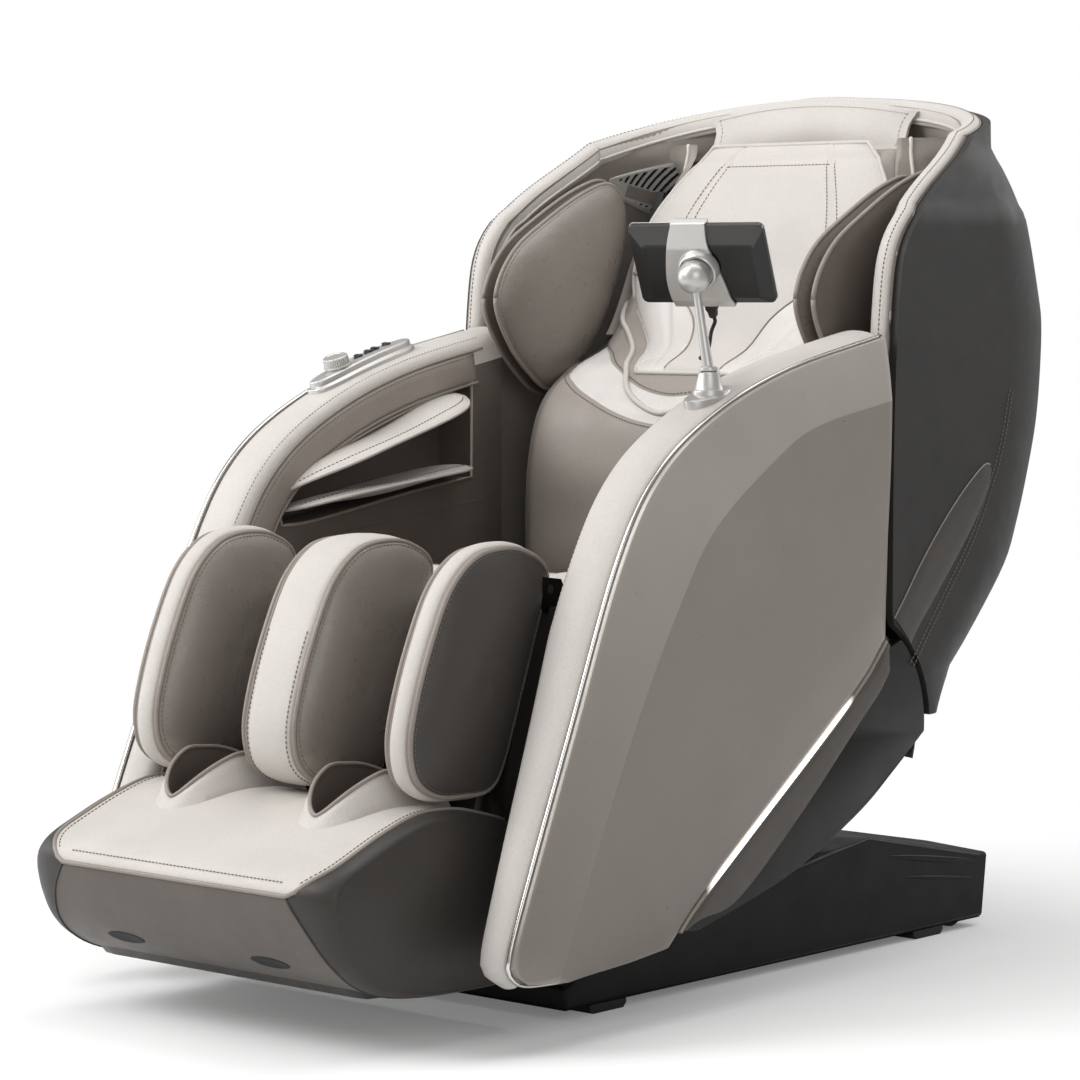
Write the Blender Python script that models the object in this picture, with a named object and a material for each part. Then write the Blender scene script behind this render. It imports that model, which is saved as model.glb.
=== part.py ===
"""Zero-gravity massage chair, built as separate parts that glide, tilt, recline, lift and turn.

The chair faces -Y. +X is the sitter's left side, where the tablet stands. The origin is on the
floor, at the middle of the base. All sizes are in metres.
"""
import math

import bmesh
import bpy
from mathutils import Matrix, Vector

# ---------------------------------------------------------------- clearances
FIT = 0.0003            # between pieces that touch
RUN = 0.0006            # around pins and shafts that turn
GAP = 0.004             # beside padded parts that move past each other

# ---------------------------------------------------------------- arms and side panels
ARM_HALF = 0.402        # half width of the chair over the side panels' crease
PANEL_DEPTH = 0.024     # side panel, inner face to crease
PANEL_INNER = ARM_HALF - PANEL_DEPTH
PANEL_FALL = 0.012      # how far the panel's front edge falls back from the crease
SEAT_HALF = 0.300       # half width between the arms
BAND_DEPTH = 0.034      # leather band over the arm
BAND_CROWN = 0.009      # how far the band bulges above the trim line
TRIM_WIDTH = 0.006
TRIM_HEIGHT = 0.0035
LIGHT_WIDTH = 0.006     # light strip between side panel and lower cover
LOWER_FALL = 0.006      # lower cover's face behind the crease
CHANNEL_WALL = 0.014    # arm core left between the forearm channel and the side panel
CHANNEL_DEPTH = PANEL_INNER - SEAT_HALF - CHANNEL_WALL
AIRBAG_THICK = 0.018
AIRBAG_REACH = 0.078    # how far a forearm airbag stands out over the seat

# Front edge of the arm, from the hood down to the toe (y, z)
ARM_EDGE = [(0.062, 0.864), (-0.148, 0.821), (-0.302, 0.765), (-0.413, 0.692), (-0.488, 0.584),
            (-0.576, 0.383), (-0.669, 0.167), (-0.686, 0.118)]
ARM_TOE = [(-0.684, 0.103), (-0.660, 0.088), (-0.592, 0.083), (-0.478, 0.090), (-0.400, 0.098)]
PANEL_CREASE = [(0.062, 0.779), (-0.103, 0.749), (-0.193, 0.708), (-0.314, 0.627), (-0.382, 0.540),
                (-0.464, 0.404), (-0.544, 0.244), (-0.618, 0.086)]
LIGHT_LINE = [(-0.400, 0.098), (-0.313, 0.172), (-0.020, 0.381), (0.061, 0.456)]
LOWER_EDGE = [(0.093, 0.281), (0.013, 0.230), (-0.108, 0.174), (-0.215, 0.141), (-0.339, 0.112)]
CHANNEL_TOP = [(-0.405, 0.628), (-0.340, 0.678), (-0.240, 0.722), (-0.139, 0.757), (-0.010, 0.795)]
CHANNEL_FLOOR = [(-0.010, 0.655), (-0.150, 0.636), (-0.330, 0.607), (-0.398, 0.602)]

# ---------------------------------------------------------------- recline and hood
RECLINE_Y = 0.000
RECLINE_Z = 0.335
SEAM_RADIUS = 0.1575    # round seam between hood and lower cover, about the recline axis
SEAM_GAP = 0.0020
SHELL_THICK = 0.012
LINING_THICK = 0.030
HOOD_FALL = 0.007       # hood's sides behind the panels' crease
HOOD_BOTTOM = 0.345
HOOD_SHOULDER = 1.142   # where the rim leaves the sides
HOOD_TOP = 1.205
LINING_BOTTOM = 0.492
RIM_PROUD = 0.012       # lining's front edge before the shell's
CORNER = 0.220          # radius of the hood's rear corners

# Hood against height: (z, front edge y), (z, rear wall y), (z, inset of the side), (z, corner radius)
HOOD_FRONT = [(0.492, 0.070), (0.700, 0.070), (0.869, 0.076), (0.927, 0.082), (0.981, 0.090),
              (1.019, 0.114), (1.063, 0.172), (1.105, 0.242), (1.142, 0.315), (1.205, 0.360)]
HOOD_REAR = [(0.345, 0.283), (0.380, 0.335), (0.415, 0.378), (0.475, 0.437), (0.542, 0.496),
             (0.600, 0.524), (0.669, 0.549), (0.754, 0.572), (0.869, 0.582), (0.927, 0.572),
             (1.012, 0.548), (1.080, 0.522), (1.142, 0.494), (1.180, 0.478), (1.205, 0.462)]
HOOD_SIDE = [(0.345, 0.000), (0.981, 0.000), (1.019, 0.003), (1.063, 0.010), (1.105, 0.020),
             (1.142, 0.034), (1.205, 0.060)]
HOOD_CORNER = [(0.345, 0.300), (0.475, 0.220), (1.012, 0.220), (1.142, 0.280), (1.205, 0.280)]

# ---------------------------------------------------------------- back
BACK_HALF = 0.255
BACK_THICK = 0.045
CUSHION_THICK = 0.024
BACK_LINE = [(0.048, 0.500), (0.046, 0.580), (0.050, 0.680), (0.075, 0.760), (0.140, 0.812),
             (0.222, 0.850), (0.272, 0.930), (0.312, 1.030), (0.362, 1.130)]
HANG_LOW = 0.815        # foot of the hanging back cushion
HANG_HIGH = 1.120
HANG_MARGIN = 0.055     # flat part of the back pad beyond the hanging cushion's edge

# Hanging cushion's half width against height
HANG_SHAPE = [(0.815, 0.108), (0.850, 0.150), (0.890, 0.190), (0.930, 0.216), (0.980, 0.222),
              (1.030, 0.212), (1.085, 0.184), (1.120, 0.156)]
FLAP_HALF = 0.190
TRACK_Y = 0.420         # massage track's front face at the height TRACK_Z
TRACK_Z = 1.000
TRACK_SLOPE = 0.350     # track's run back for each unit of height
TRACK_HALF = 0.100
TRACK_LOW = 0.600
TRACK_HIGH = 1.030

# ---------------------------------------------------------------- seat
SEAT_FRONT = -0.400
SEAT_REAR = 0.034
SEAT_TOP_FRONT = 0.558
SEAT_TOP_REAR = 0.478
SEAT_UNDER = 0.430
FRAME_TOP = 0.320
FRAME_DEEP = 0.040
FRAME_WALL = 0.030
TILT_Y = 0.120
TILT_Z = 0.250

# ---------------------------------------------------------------- base
BASE_HALF = 0.280
BASE_FRONT = -0.467
BASE_REAR = 0.462
BASE_WALL = 0.006
SKID_HEIGHT = 0.012
RAIL_HALF = 0.110       # glide rails' distance from the middle
RAIL_TOP = 0.200
RAIL_WIDE = 0.030
RAIL_FRONT = -0.310
RAIL_REAR = 0.060
WHEEL_RADIUS = 0.032
WHEEL_WIDE = 0.024

# ---------------------------------------------------------------- leg rest
KNEE_Y = -0.470
KNEE_Z = 0.550
CALF_HALF = 0.262
CALF_OUTER = 0.077      # outer calf wall's width
CALF_MIDDLE = 0.130     # middle calf wall's width
FOOT_HALF = 0.270
WALL_FRONT = [(-0.470, 0.596), (-0.540, 0.606), (-0.602, 0.594), (-0.664, 0.530), (-0.708, 0.420),
              (-0.718, 0.364), (-0.682, 0.308)]
WALL_REAR = [(-0.560, 0.300), (-0.470, 0.531), (-0.458, 0.562)]

# ---------------------------------------------------------------- controls and tablet
FITTING_INSET = 0.032   # middle of the console and of the tablet's socket, from the side panels
SOCKET_X = PANEL_INNER - FITTING_INSET
SOCKET_Y = -0.262
SOCKET_TOP = 0.836
POST_RADIUS = 0.008
BALL_RISE = 0.108       # ball's centre above the socket's rim
BALL_LEAN = 0.021       # and towards the sitter
BALL = (SOCKET_X - BALL_LEAN, SOCKET_Y - 0.005, SOCKET_TOP + BALL_RISE)
BALL_RADIUS = 0.022
TABLET_WIDE = 0.186
TABLET_HIGH = 0.116
TABLET_THICK = 0.014
TABLET_AZIMUTH = math.radians(18)
TABLET_LEAN = math.radians(-31)
CABLE_DIAMETER = 0.005
CONSOLE_X = FITTING_INSET - PANEL_INNER
CONSOLE_FRONT = -0.285
CONSOLE_REAR = -0.090
CONSOLE_HALF = 0.024
CONSOLE_HIGH = 0.016
DIAL_RADIUS = 0.019

HOOD_HALF = ARM_HALF - HOOD_FALL
LINING_HALF = HOOD_HALF - SHELL_THICK - FIT - LINING_THICK


# ================================================================ helpers
def clear_scene():
    for item in list(bpy.data.objects):
        bpy.data.objects.remove(item, do_unlink=True)


def material(name, colour, roughness, metallic=0.0):
    found = bpy.data.materials.get(name)
    if found:
        return found
    made = bpy.data.materials.new(name)
    made.use_nodes = True
    shader = made.node_tree.nodes["Principled BSDF"]
    shader.inputs["Base Color"].default_value = (*colour, 1.0)
    shader.inputs["Roughness"].default_value = roughness
    shader.inputs["Metallic"].default_value = metallic
    return made


def solid(name, verts, faces, look, sharp=40, split=False):
    """One closed body from points and faces, turned outward; split cuts its quads the short way."""
    mesh = bpy.data.meshes.new(name)
    mesh.from_pydata([tuple(v) for v in verts], [], faces)
    shape = bmesh.new()
    shape.from_mesh(mesh)
    bmesh.ops.remove_doubles(shape, verts=shape.verts, dist=0.00002)
    bmesh.ops.recalc_face_normals(shape, faces=shape.faces)
    if split:
        bmesh.ops.triangulate(shape, faces=[f for f in shape.faces if len(f.verts) == 4],
                              quad_method="SHORT_EDGE")
    shape.to_mesh(mesh)
    shape.free()
    mesh.shade_smooth()
    mesh.set_sharp_from_angle(angle=math.radians(sharp))
    item = bpy.data.objects.new(name, mesh)
    item.data.materials.append(look)
    bpy.context.scene.collection.objects.link(item)
    return item


def ring_faces(ring_count, size, closed_ends=True):
    faces = []
    for k in range(ring_count - 1):
        for i in range(size):
            j = (i + 1) % size
            faces.append((k * size + i, k * size + j, (k + 1) * size + j, (k + 1) * size + i))
    if closed_ends:
        faces.append(tuple(range(size)))
        faces.append(tuple((ring_count - 1) * size + i for i in range(size)))
    return faces


def loft(name, rings, look, sharp=40, split=False):
    """A solid through closed rings of as many points each, capped at both ends."""
    verts = [point for ring in rings for point in ring]
    return solid(name, verts, ring_faces(len(rings), len(rings[0])), look, sharp, split)


def hoop(name, rings, look, sharp=40):
    """A solid whose rings close on themselves: the last ring joins the first."""
    size = len(rings[0])
    verts = [point for ring in rings for point in ring]
    faces = ring_faces(len(rings), size, closed_ends=False)
    last = (len(rings) - 1) * size
    for i in range(size):
        j = (i + 1) % size
        faces.append((last + i, last + j, j, i))
    return solid(name, verts, faces, look, sharp)


def prism(name, outline, x_low, x_high, look, sharp=40):
    """An outline of (y, z) points, extruded along X."""
    rings = [[(x, y, z) for y, z in outline] for x in (x_low, x_high)]
    return loft(name, rings, look, sharp)


def box(name, low, high, look):
    outline = [(low[1], low[2]), (high[1], low[2]), (high[1], high[2]), (low[1], high[2])]
    return prism(name, outline, low[0], high[0], look)


def circle(centre, radius, axis, count=20, turn=0.0):
    """Points round a circle about an axis through its centre."""
    axis = Vector(axis).normalized()
    side = axis.orthogonal().normalized()
    up = axis.cross(side)
    points = []
    for i in range(count):
        angle = 2 * math.pi * i / count + turn
        points.append(Vector(centre) + side * radius * math.cos(angle) + up * radius * math.sin(angle))
    return points


def rod(name, start, stop, radius, look, count=20):
    axis = Vector(stop) - Vector(start)
    return loft(name, [circle(start, radius, axis, count), circle(stop, radius, axis, count)], look)


def turned(name, start, axis, profile, look, count=20, sharp=35):
    """A round solid from (distance along the axis, radius) pairs."""
    axis = Vector(axis).normalized()
    rings = [circle(Vector(start) + axis * along, radius, axis, count) for along, radius in profile]
    return loft(name, rings, look, sharp)


def grid_solid(name, front, back, look, middle=None, sharp=45):
    """A closed pad between two grids of points, with an optional ring of points round its middle."""
    rows = len(front)
    columns = len(front[0])
    count = rows * columns
    verts = [point for row in front for point in row] + [point for row in back for point in row]
    faces = []
    for r in range(rows - 1):
        for c in range(columns - 1):
            a = r * columns + c
            faces.append((a, a + 1, a + columns + 1, a + columns))
            faces.append((count + a, count + a + columns, count + a + columns + 1, count + a + 1))
    rim = [c for c in range(columns)]
    rim += [r * columns + columns - 1 for r in range(1, rows)]
    rim += [(rows - 1) * columns + c for c in range(columns - 2, -1, -1)]
    rim += [r * columns for r in range(rows - 2, 0, -1)]
    if middle is None:
        for i, a in enumerate(rim):
            b = rim[(i + 1) % len(rim)]
            faces.append((a, b, count + b, count + a))
    else:
        base = len(verts)
        verts += middle(rim, columns)
        for i, a in enumerate(rim):
            n = (i + 1) % len(rim)
            b = rim[n]
            faces.append((a, b, base + n, base + i))
            faces.append((base + i, base + n, count + b, count + a))
    return solid(name, verts, faces, look, sharp)


def cut(target, tool):
    """Cut one solid out of another; the tool stays in the file as a wire guide."""
    step = target.modifiers.new("cut", "BOOLEAN")
    step.operation = "DIFFERENCE"
    step.solver = "EXACT"
    step.object = tool
    tool.hide_render = True
    tool.display_type = "WIRE"


def join(target, tool):
    step = target.modifiers.new("join", "BOOLEAN")
    step.operation = "UNION"
    step.solver = "EXACT"
    step.object = tool
    tool.hide_render = True
    tool.display_type = "WIRE"


def smooth(points, steps=4):
    """A smooth run through the points (Catmull-Rom), with steps pieces to each span."""
    ends = [Vector(p) for p in points]
    first = ends[0] * 2 - ends[1]
    last = ends[-1] * 2 - ends[-2]
    ends = [first] + ends + [last]
    run = []
    for i in range(1, len(ends) - 2):
        a, b, c, d = ends[i - 1:i + 3]
        for s in range(steps):
            t = s / steps
            run.append(0.5 * (2 * b + (c - a) * t + (2 * a - 5 * b + 4 * c - d) * t * t
                              + (3 * b - a - 3 * c + d) * t ** 3))
    run.append(ends[-2])
    return run


def between(table, key):
    """Straight-line look-up in a table of (key, value) pairs with rising keys."""
    if key <= table[0][0]:
        return table[0][1]
    for (k0, v0), (k1, v1) in zip(table, table[1:]):
        if key <= k1:
            return v0 + (v1 - v0) * (key - k0) / (k1 - k0)
    return table[-1][1]


def ease(t):
    t = min(max(t, 0.0), 1.0)
    return t * t * (3 - 2 * t)


def offset_run(points, distance):
    """Shift an open run of (y, z) points sideways, to the left of its direction."""
    moved = []
    for i, point in enumerate(points):
        ahead = points[min(i + 1, len(points) - 1)]
        behind = points[max(i - 1, 0)]
        along = (Vector(ahead) - Vector(behind)).normalized()
        moved.append((point[0] - along[1] * distance, point[1] + along[0] * distance))
    return moved


def resample(points, count):
    """As many evenly spaced points along a run as are asked for."""
    points = [Vector(p) for p in points]
    lengths = [0.0]
    for a, b in zip(points, points[1:]):
        lengths.append(lengths[-1] + (b - a).length)
    out = []
    for k in range(count):
        want = lengths[-1] * k / (count - 1)
        i = 0
        while i < len(points) - 2 and lengths[i + 1] < want:
            i += 1
        span = lengths[i + 1] - lengths[i]
        out.append(points[i].lerp(points[i + 1], (want - lengths[i]) / span))
    return out


# ================================================================ looks
LEATHER_LIGHT = material("light_leather", (0.64, 0.60, 0.57), 0.50)
LEATHER_TAUPE = material("taupe_leather", (0.30, 0.27, 0.24), 0.48)
LEATHER_DARK = material("dark_leather", (0.15, 0.12, 0.10), 0.42)
PLASTIC_TAUPE = material("taupe_plastic", (0.26, 0.23, 0.20), 0.38)
PLASTIC_DARK = material("dark_shell", (0.045, 0.038, 0.033), 0.42)
PLASTIC_BLACK = material("black_plastic", (0.008, 0.008, 0.008), 0.55)
SILVER = material("silver_plastic", (0.62, 0.61, 0.60), 0.30, 0.7)
CHROME = material("bright_trim", (0.80, 0.79, 0.78), 0.18, 1.0)
STEEL = material("black_steel", (0.03, 0.03, 0.03), 0.50, 0.6)
RUBBER = material("rubber", (0.02, 0.02, 0.02), 0.80)
GLOW = material("light_guide", (0.95, 0.94, 0.90), 0.30)

ARM_TAPER = 0.085       # how fast the arm's inner face leans out below TAPER_TOP
TAPER_TOP = 0.500
SIDES = (("right", -1.0), ("left", 1.0))    # the sitter's right is -X


# ================================================================ base
def base_section(y, shoulder, top, inset):
    """Inverted U across the chair: outer skin, then inner skin, down to the skids."""
    half = BASE_HALF - inset
    crown = 0.62 * half
    return [(-half, y, SKID_HEIGHT), (-half, y, shoulder - inset), (-crown, y, top - inset),
            (crown, y, top - inset), (half, y, shoulder - inset), (half, y, SKID_HEIGHT)]


BASE_LINE = [(BASE_FRONT, 0.040, 0.048), (-0.430, 0.062, 0.085), (-0.250, 0.100, 0.148),
             (0.100, 0.150, 0.155), (0.190, 0.160, 0.155), (0.455, 0.106, 0.112)]


def make_base_cover():
    outer = [base_section(y, shoulder, top, 0.0) for y, shoulder, top in BASE_LINE]
    tail = [(x, BASE_REAR + (0.012 if z > 0.04 else 0.0), z) for x, _, z in outer[-1]]
    cover = loft("base_cover", outer + [tail], PLASTIC_BLACK)
    ends = [BASE_LINE[0][0] + BASE_WALL] + [y for y, _, _ in BASE_LINE[1:-1]] + [BASE_REAR - BASE_WALL]
    hollow = []
    for y, (_, shoulder, top) in zip(ends, BASE_LINE):
        section = base_section(y, shoulder, top, BASE_WALL)
        section[0] = (section[0][0], y, -0.010)
        section[-1] = (section[-1][0], y, -0.010)
        hollow.append(section)
    cut(cover, loft("guide_base_hollow", hollow, PLASTIC_BLACK))
    window_half = RAIL_HALF + RAIL_WIDE
    window = box("guide_base_window", (-window_half, RAIL_FRONT - GAP, 0.06),
                 (window_half, RAIL_REAR + GAP, 0.30), PLASTIC_BLACK)
    cut(cover, window)
    return cover


TUBE = 0.040            # base frame's square tube
BEAM_X = 0.205          # base frame's side beams
CROSS_Y = (-0.380, 0.020, 0.360)


def make_base_frame():
    low = SKID_HEIGHT + FIT
    frame = box("base_frame", (-BEAM_X - TUBE, CROSS_Y[0] - TUBE / 2, low),
                (-BEAM_X, CROSS_Y[-1] + TUBE / 2, low + TUBE), STEEL)
    reach = BASE_HALF - BASE_WALL - FIT
    join(frame, box("guide_frame_beam", (BEAM_X, CROSS_Y[0] - TUBE / 2, low),
                    (BEAM_X + TUBE, CROSS_Y[-1] + TUBE / 2, low + TUBE), STEEL))
    for i, y in enumerate(CROSS_Y):
        half = reach if i == 1 else BEAM_X + TUBE / 2
        shift = 0.002
        join(frame, box("guide_frame_cross_%d" % i, (-half, y - TUBE / 2 + shift, low + 0.001),
                        (half, y + TUBE / 2 - shift, low + TUBE - 0.001), STEEL))
    for side, sign in SIDES:
        centre = sign * RAIL_HALF
        half = RAIL_WIDE / 2
        join(frame, box("guide_rail_%s" % side, (centre - half, RAIL_FRONT, RAIL_TOP - 0.045),
                        (centre + half, RAIL_REAR, RAIL_TOP), STEEL))
        for i, y in enumerate((-0.300, 0.020)):
            join(frame, box("guide_rail_post_%s_%d" % (side, i),
                            (centre - half + 0.003, y - 0.012, low + TUBE / 2),
                            (centre + half - 0.003, y + 0.012, RAIL_TOP - 0.020), STEEL))
        join(frame, box("guide_rail_tie_%s" % side, (min(centre, sign * (BEAM_X + 0.01)), -0.313,
                                                    low + 0.004),
                        (max(centre, sign * (BEAM_X + 0.01)), -0.287, low + TUBE - 0.004), STEEL))
        root = sign * (BEAM_X + TUBE / 2)
        join(frame, rod("guide_axle_%s" % side, (root, WHEEL_Y, WHEEL_Z),
                        (sign * (WHEEL_X + WHEEL_WIDE / 2), WHEEL_Y, WHEEL_Z), AXLE_RADIUS, STEEL, 16))
        join(frame, box("guide_axle_arm_%s" % side,
                        (min(root, root - sign * 0.016), CROSS_Y[-1], low + 0.006),
                        (max(root, root - sign * 0.016), WHEEL_Y + 0.014, low + TUBE - 0.006), STEEL))
    return frame


AXLE_RADIUS = 0.006
WHEEL_X = 0.252
WHEEL_Y = 0.412
WHEEL_Z = WHEEL_RADIUS + 0.002


def make_wheels():
    for side, sign in SIDES:
        x = sign * WHEEL_X
        start = (x - WHEEL_WIDE / 2, WHEEL_Y, WHEEL_Z)
        wheel = turned("transport_wheel_%s" % side, start, (1, 0, 0),
                       [(0, WHEEL_RADIUS - 0.003), (0.003, WHEEL_RADIUS),
                        (WHEEL_WIDE - 0.003, WHEEL_RADIUS), (WHEEL_WIDE, WHEEL_RADIUS - 0.003)],
                       RUBBER, 24)
        cut(wheel, rod("guide_wheel_bore_%s" % side, (x - 0.05, WHEEL_Y, WHEEL_Z),
                       (x + 0.05, WHEEL_Y, WHEEL_Z), AXLE_RADIUS + RUN, RUBBER, 24))


def make_skids():
    for name, y in (("front_skid", CROSS_Y[0]), ("rear_skid", 0.330)):
        outline = [(y - 0.030, 0.0), (y + 0.030, 0.0), (y + 0.036, 0.006),
                   (y + 0.036, SKID_HEIGHT), (y - 0.036, SKID_HEIGHT), (y - 0.036, 0.006)]
        prism(name, outline, -BASE_HALF + 0.002, BASE_HALF - 0.002, RUBBER)


POWER_X = 0.060
POWER_Y = 0.300
SWITCH_X = 0.026


NOSE_HALF = 0.045       # power unit's socket plate, set in the base's rear wall
NOSE_LOW = 0.064
NOSE_HIGH = 0.096
NOSE_FACE = BASE_REAR + 0.006
SWITCH_HALF = 0.011
SWITCH_HIGH = 0.016
SWITCH_Z = 0.080
SWITCH_DEPTH = 0.012


def make_power_unit():
    wall = BASE_REAR - BASE_WALL - FIT
    unit = box("power_unit", (-POWER_X, POWER_Y, SKID_HEIGHT + TUBE + FIT * 2), (POWER_X, wall, 0.098),
               PLASTIC_BLACK)
    join(unit, box("guide_power_nose", (-NOSE_HALF, wall - 0.010, NOSE_LOW), (NOSE_HALF, NOSE_FACE,
                                                                               NOSE_HIGH), PLASTIC_BLACK))
    half = SWITCH_HIGH / 2 + RUN
    cut(unit, box("guide_switch_pocket", (SWITCH_X - SWITCH_HALF - RUN, NOSE_FACE - SWITCH_DEPTH,
                                          SWITCH_Z - half),
                  (SWITCH_X + SWITCH_HALF + RUN, NOSE_FACE + 0.010, SWITCH_Z + half), PLASTIC_BLACK))
    cut(unit, box("guide_inlet", (-0.034, NOSE_FACE - 0.014, SWITCH_Z - 0.010),
                  (-0.008, NOSE_FACE + 0.010, SWITCH_Z + 0.010), PLASTIC_BLACK))
    for x in (-0.030, -0.021, -0.012):
        join(unit, box("guide_inlet_pin_%d" % round(-x * 1000),
                       (x - 0.001, NOSE_FACE - 0.016, SWITCH_Z - 0.002),
                       (x + 0.001, NOSE_FACE - 0.003, SWITCH_Z + 0.002), PLASTIC_BLACK))
    cover = bpy.data.objects["base_cover"]
    cut(cover, box("guide_power_window", (-NOSE_HALF - FIT, wall - 0.020, NOSE_LOW - FIT),
                   (NOSE_HALF + FIT, BASE_REAR + 0.050, NOSE_HIGH + FIT), PLASTIC_BLACK))
    return unit


SWITCH_AXIS_Y = NOSE_FACE - 0.005


def make_power_switch():
    """Rocker with a shallow V face, on an axis just inside the socket plate."""
    half = SWITCH_HIGH / 2 - 0.0004
    face = NOSE_FACE + 0.0025
    outline = [(SWITCH_AXIS_Y - 0.004, SWITCH_Z - 0.003), (SWITCH_AXIS_Y, SWITCH_Z - half),
               (face, SWITCH_Z - half + 0.0012), (NOSE_FACE + 0.0005, SWITCH_Z),
               (face, SWITCH_Z + half - 0.0012), (SWITCH_AXIS_Y, SWITCH_Z + half),
               (SWITCH_AXIS_Y - 0.004, SWITCH_Z + 0.003)]
    prism("power_switch", outline, SWITCH_X - SWITCH_HALF, SWITCH_X + SWITCH_HALF, PLASTIC_BLACK)


# ================================================================ carriage
CARRIAGE_FRONT = -0.200
CARRIAGE_REAR = 0.050
CARRIAGE_TOP = 0.226
LUG_X = 0.150
LUG_THICK = 0.014
PIN_RADIUS = 0.009


def make_carriage():
    low = RAIL_TOP + FIT
    half = RAIL_HALF + RAIL_WIDE
    plate = box("carriage_frame", (-half, CARRIAGE_FRONT, low), (half, CARRIAGE_REAR, CARRIAGE_TOP), STEEL)
    for side, sign in SIDES:
        inner = sign * (RAIL_HALF - RAIL_WIDE / 2 - FIT)
        join(plate, box("guide_shoe_%s" % side, (min(inner, inner - sign * 0.012), CARRIAGE_FRONT + 0.02,
                                                RAIL_TOP - 0.030),
                        (max(inner, inner - sign * 0.012), CARRIAGE_REAR - 0.02, low + 0.006), STEEL))
        near = sign * (half - 0.016)
        lug = [(CARRIAGE_REAR - 0.060, low + 0.004), (CARRIAGE_REAR + 0.010, low + 0.001),
               (TILT_Y + 0.018, TILT_Z - 0.016), (TILT_Y + 0.018, TILT_Z + 0.016),
               (TILT_Y - 0.020, TILT_Z + 0.018), (CARRIAGE_REAR - 0.060, CARRIAGE_TOP - 0.003)]
        join(plate, prism("guide_tilt_lug_%s" % side, lug, min(near, near + sign * LUG_THICK),
                          max(near, near + sign * LUG_THICK), STEEL))
        join(plate, rod("guide_tilt_pin_%s" % side, (near + sign * 0.004, TILT_Y, TILT_Z),
                        (sign * (SEAT_BEAM_X + 0.002), TILT_Y, TILT_Z), PIN_RADIUS, STEEL, 24))
    return plate


# ================================================================ seat
SEAT_BEAM_X = 0.232     # inner face of the seat frame's side beams
BEAM_WIDE = 0.026


def make_seat_frame():
    """Two side beams with cross tubes, arm brackets, and eyes for the tilt, recline and knee pins."""
    low = FRAME_TOP - FRAME_DEEP
    outer = SEAT_BEAM_X + BEAM_WIDE
    frame = None
    parts = []
    for side, sign in SIDES:
        x0, x1 = sorted((sign * SEAT_BEAM_X, sign * outer))
        beam = [(0.060, low), (TILT_Y - 0.004, TILT_Z - 0.022),
                (TILT_Y + 0.022, TILT_Z - 0.014), (TILT_Y + 0.022, TILT_Z + 0.016), (0.060, FRAME_TOP),
                (0.026, RECLINE_Z + 0.022), (-0.024, RECLINE_Z + 0.022), (-0.050, FRAME_TOP),
                (SEAT_FRONT + 0.030, FRAME_TOP), (SEAT_FRONT - 0.008, FRAME_TOP + 0.050),
                (SEAT_FRONT - 0.008, KNEE_Z - 0.060), (KNEE_Y + 0.020, KNEE_Z + 0.012),
                (KNEE_Y - 0.012, KNEE_Z + 0.016), (KNEE_Y - 0.020, KNEE_Z - 0.010),
                (SEAT_FRONT - 0.046, KNEE_Z - 0.070), (SEAT_FRONT - 0.046, FRAME_TOP - 0.020),
                (SEAT_FRONT - 0.010, low)]
        parts.append(prism("guide_seat_beam_%s" % side if frame else "seat_frame", beam, x0, x1, STEEL))
        frame = frame or parts[0]
    for part in parts[1:]:
        join(frame, part)
    for i, y in enumerate((-0.330, -0.120, 0.010)):
        join(frame, box("guide_seat_cross_%d" % i, (-SEAT_BEAM_X - 0.010, y - 0.014, low + 0.006),
                        (SEAT_BEAM_X + 0.010, y + 0.014, FRAME_TOP - 0.006), STEEL))
    for i, y in enumerate((-0.330, -0.060)):
        reach = arm_inner_x(FRAME_TOP + 0.004) - FIT
        join(frame, box("guide_arm_bracket_%d" % i, (-reach, y - 0.030, FRAME_TOP - 0.012),
                        (reach, y + 0.030, FRAME_TOP + 0.004), STEEL))
    for i, y in enumerate((-0.345, -0.060)):
        join(frame, box("guide_seat_post_%d" % i, (-SEAT_BEAM_X - 0.004, y - 0.010, FRAME_TOP - 0.010),
                        (SEAT_BEAM_X + 0.004, y + 0.010, SEAT_UNDER - FIT), STEEL))
    for x_sign in (-1.0, 1.0):
        for name, y, z in (("tilt", TILT_Y, TILT_Z), ("recline", RECLINE_Y, RECLINE_Z)):
            cut(frame, rod("guide_%s_eye_%d" % (name, x_sign), (x_sign * (SEAT_BEAM_X - 0.02), y, z),
                           (x_sign * (outer + 0.02), y, z), PIN_RADIUS + RUN, STEEL, 24))
        cut(frame, rod("guide_knee_eye_%d" % x_sign, (x_sign * (SEAT_BEAM_X - 0.02), KNEE_Y, KNEE_Z),
                       (x_sign * (outer + 0.02), KNEE_Y, KNEE_Z), KNEE_PIN + RUN, STEEL, 24))
    return frame


KNEE_PIN = 0.006


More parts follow.
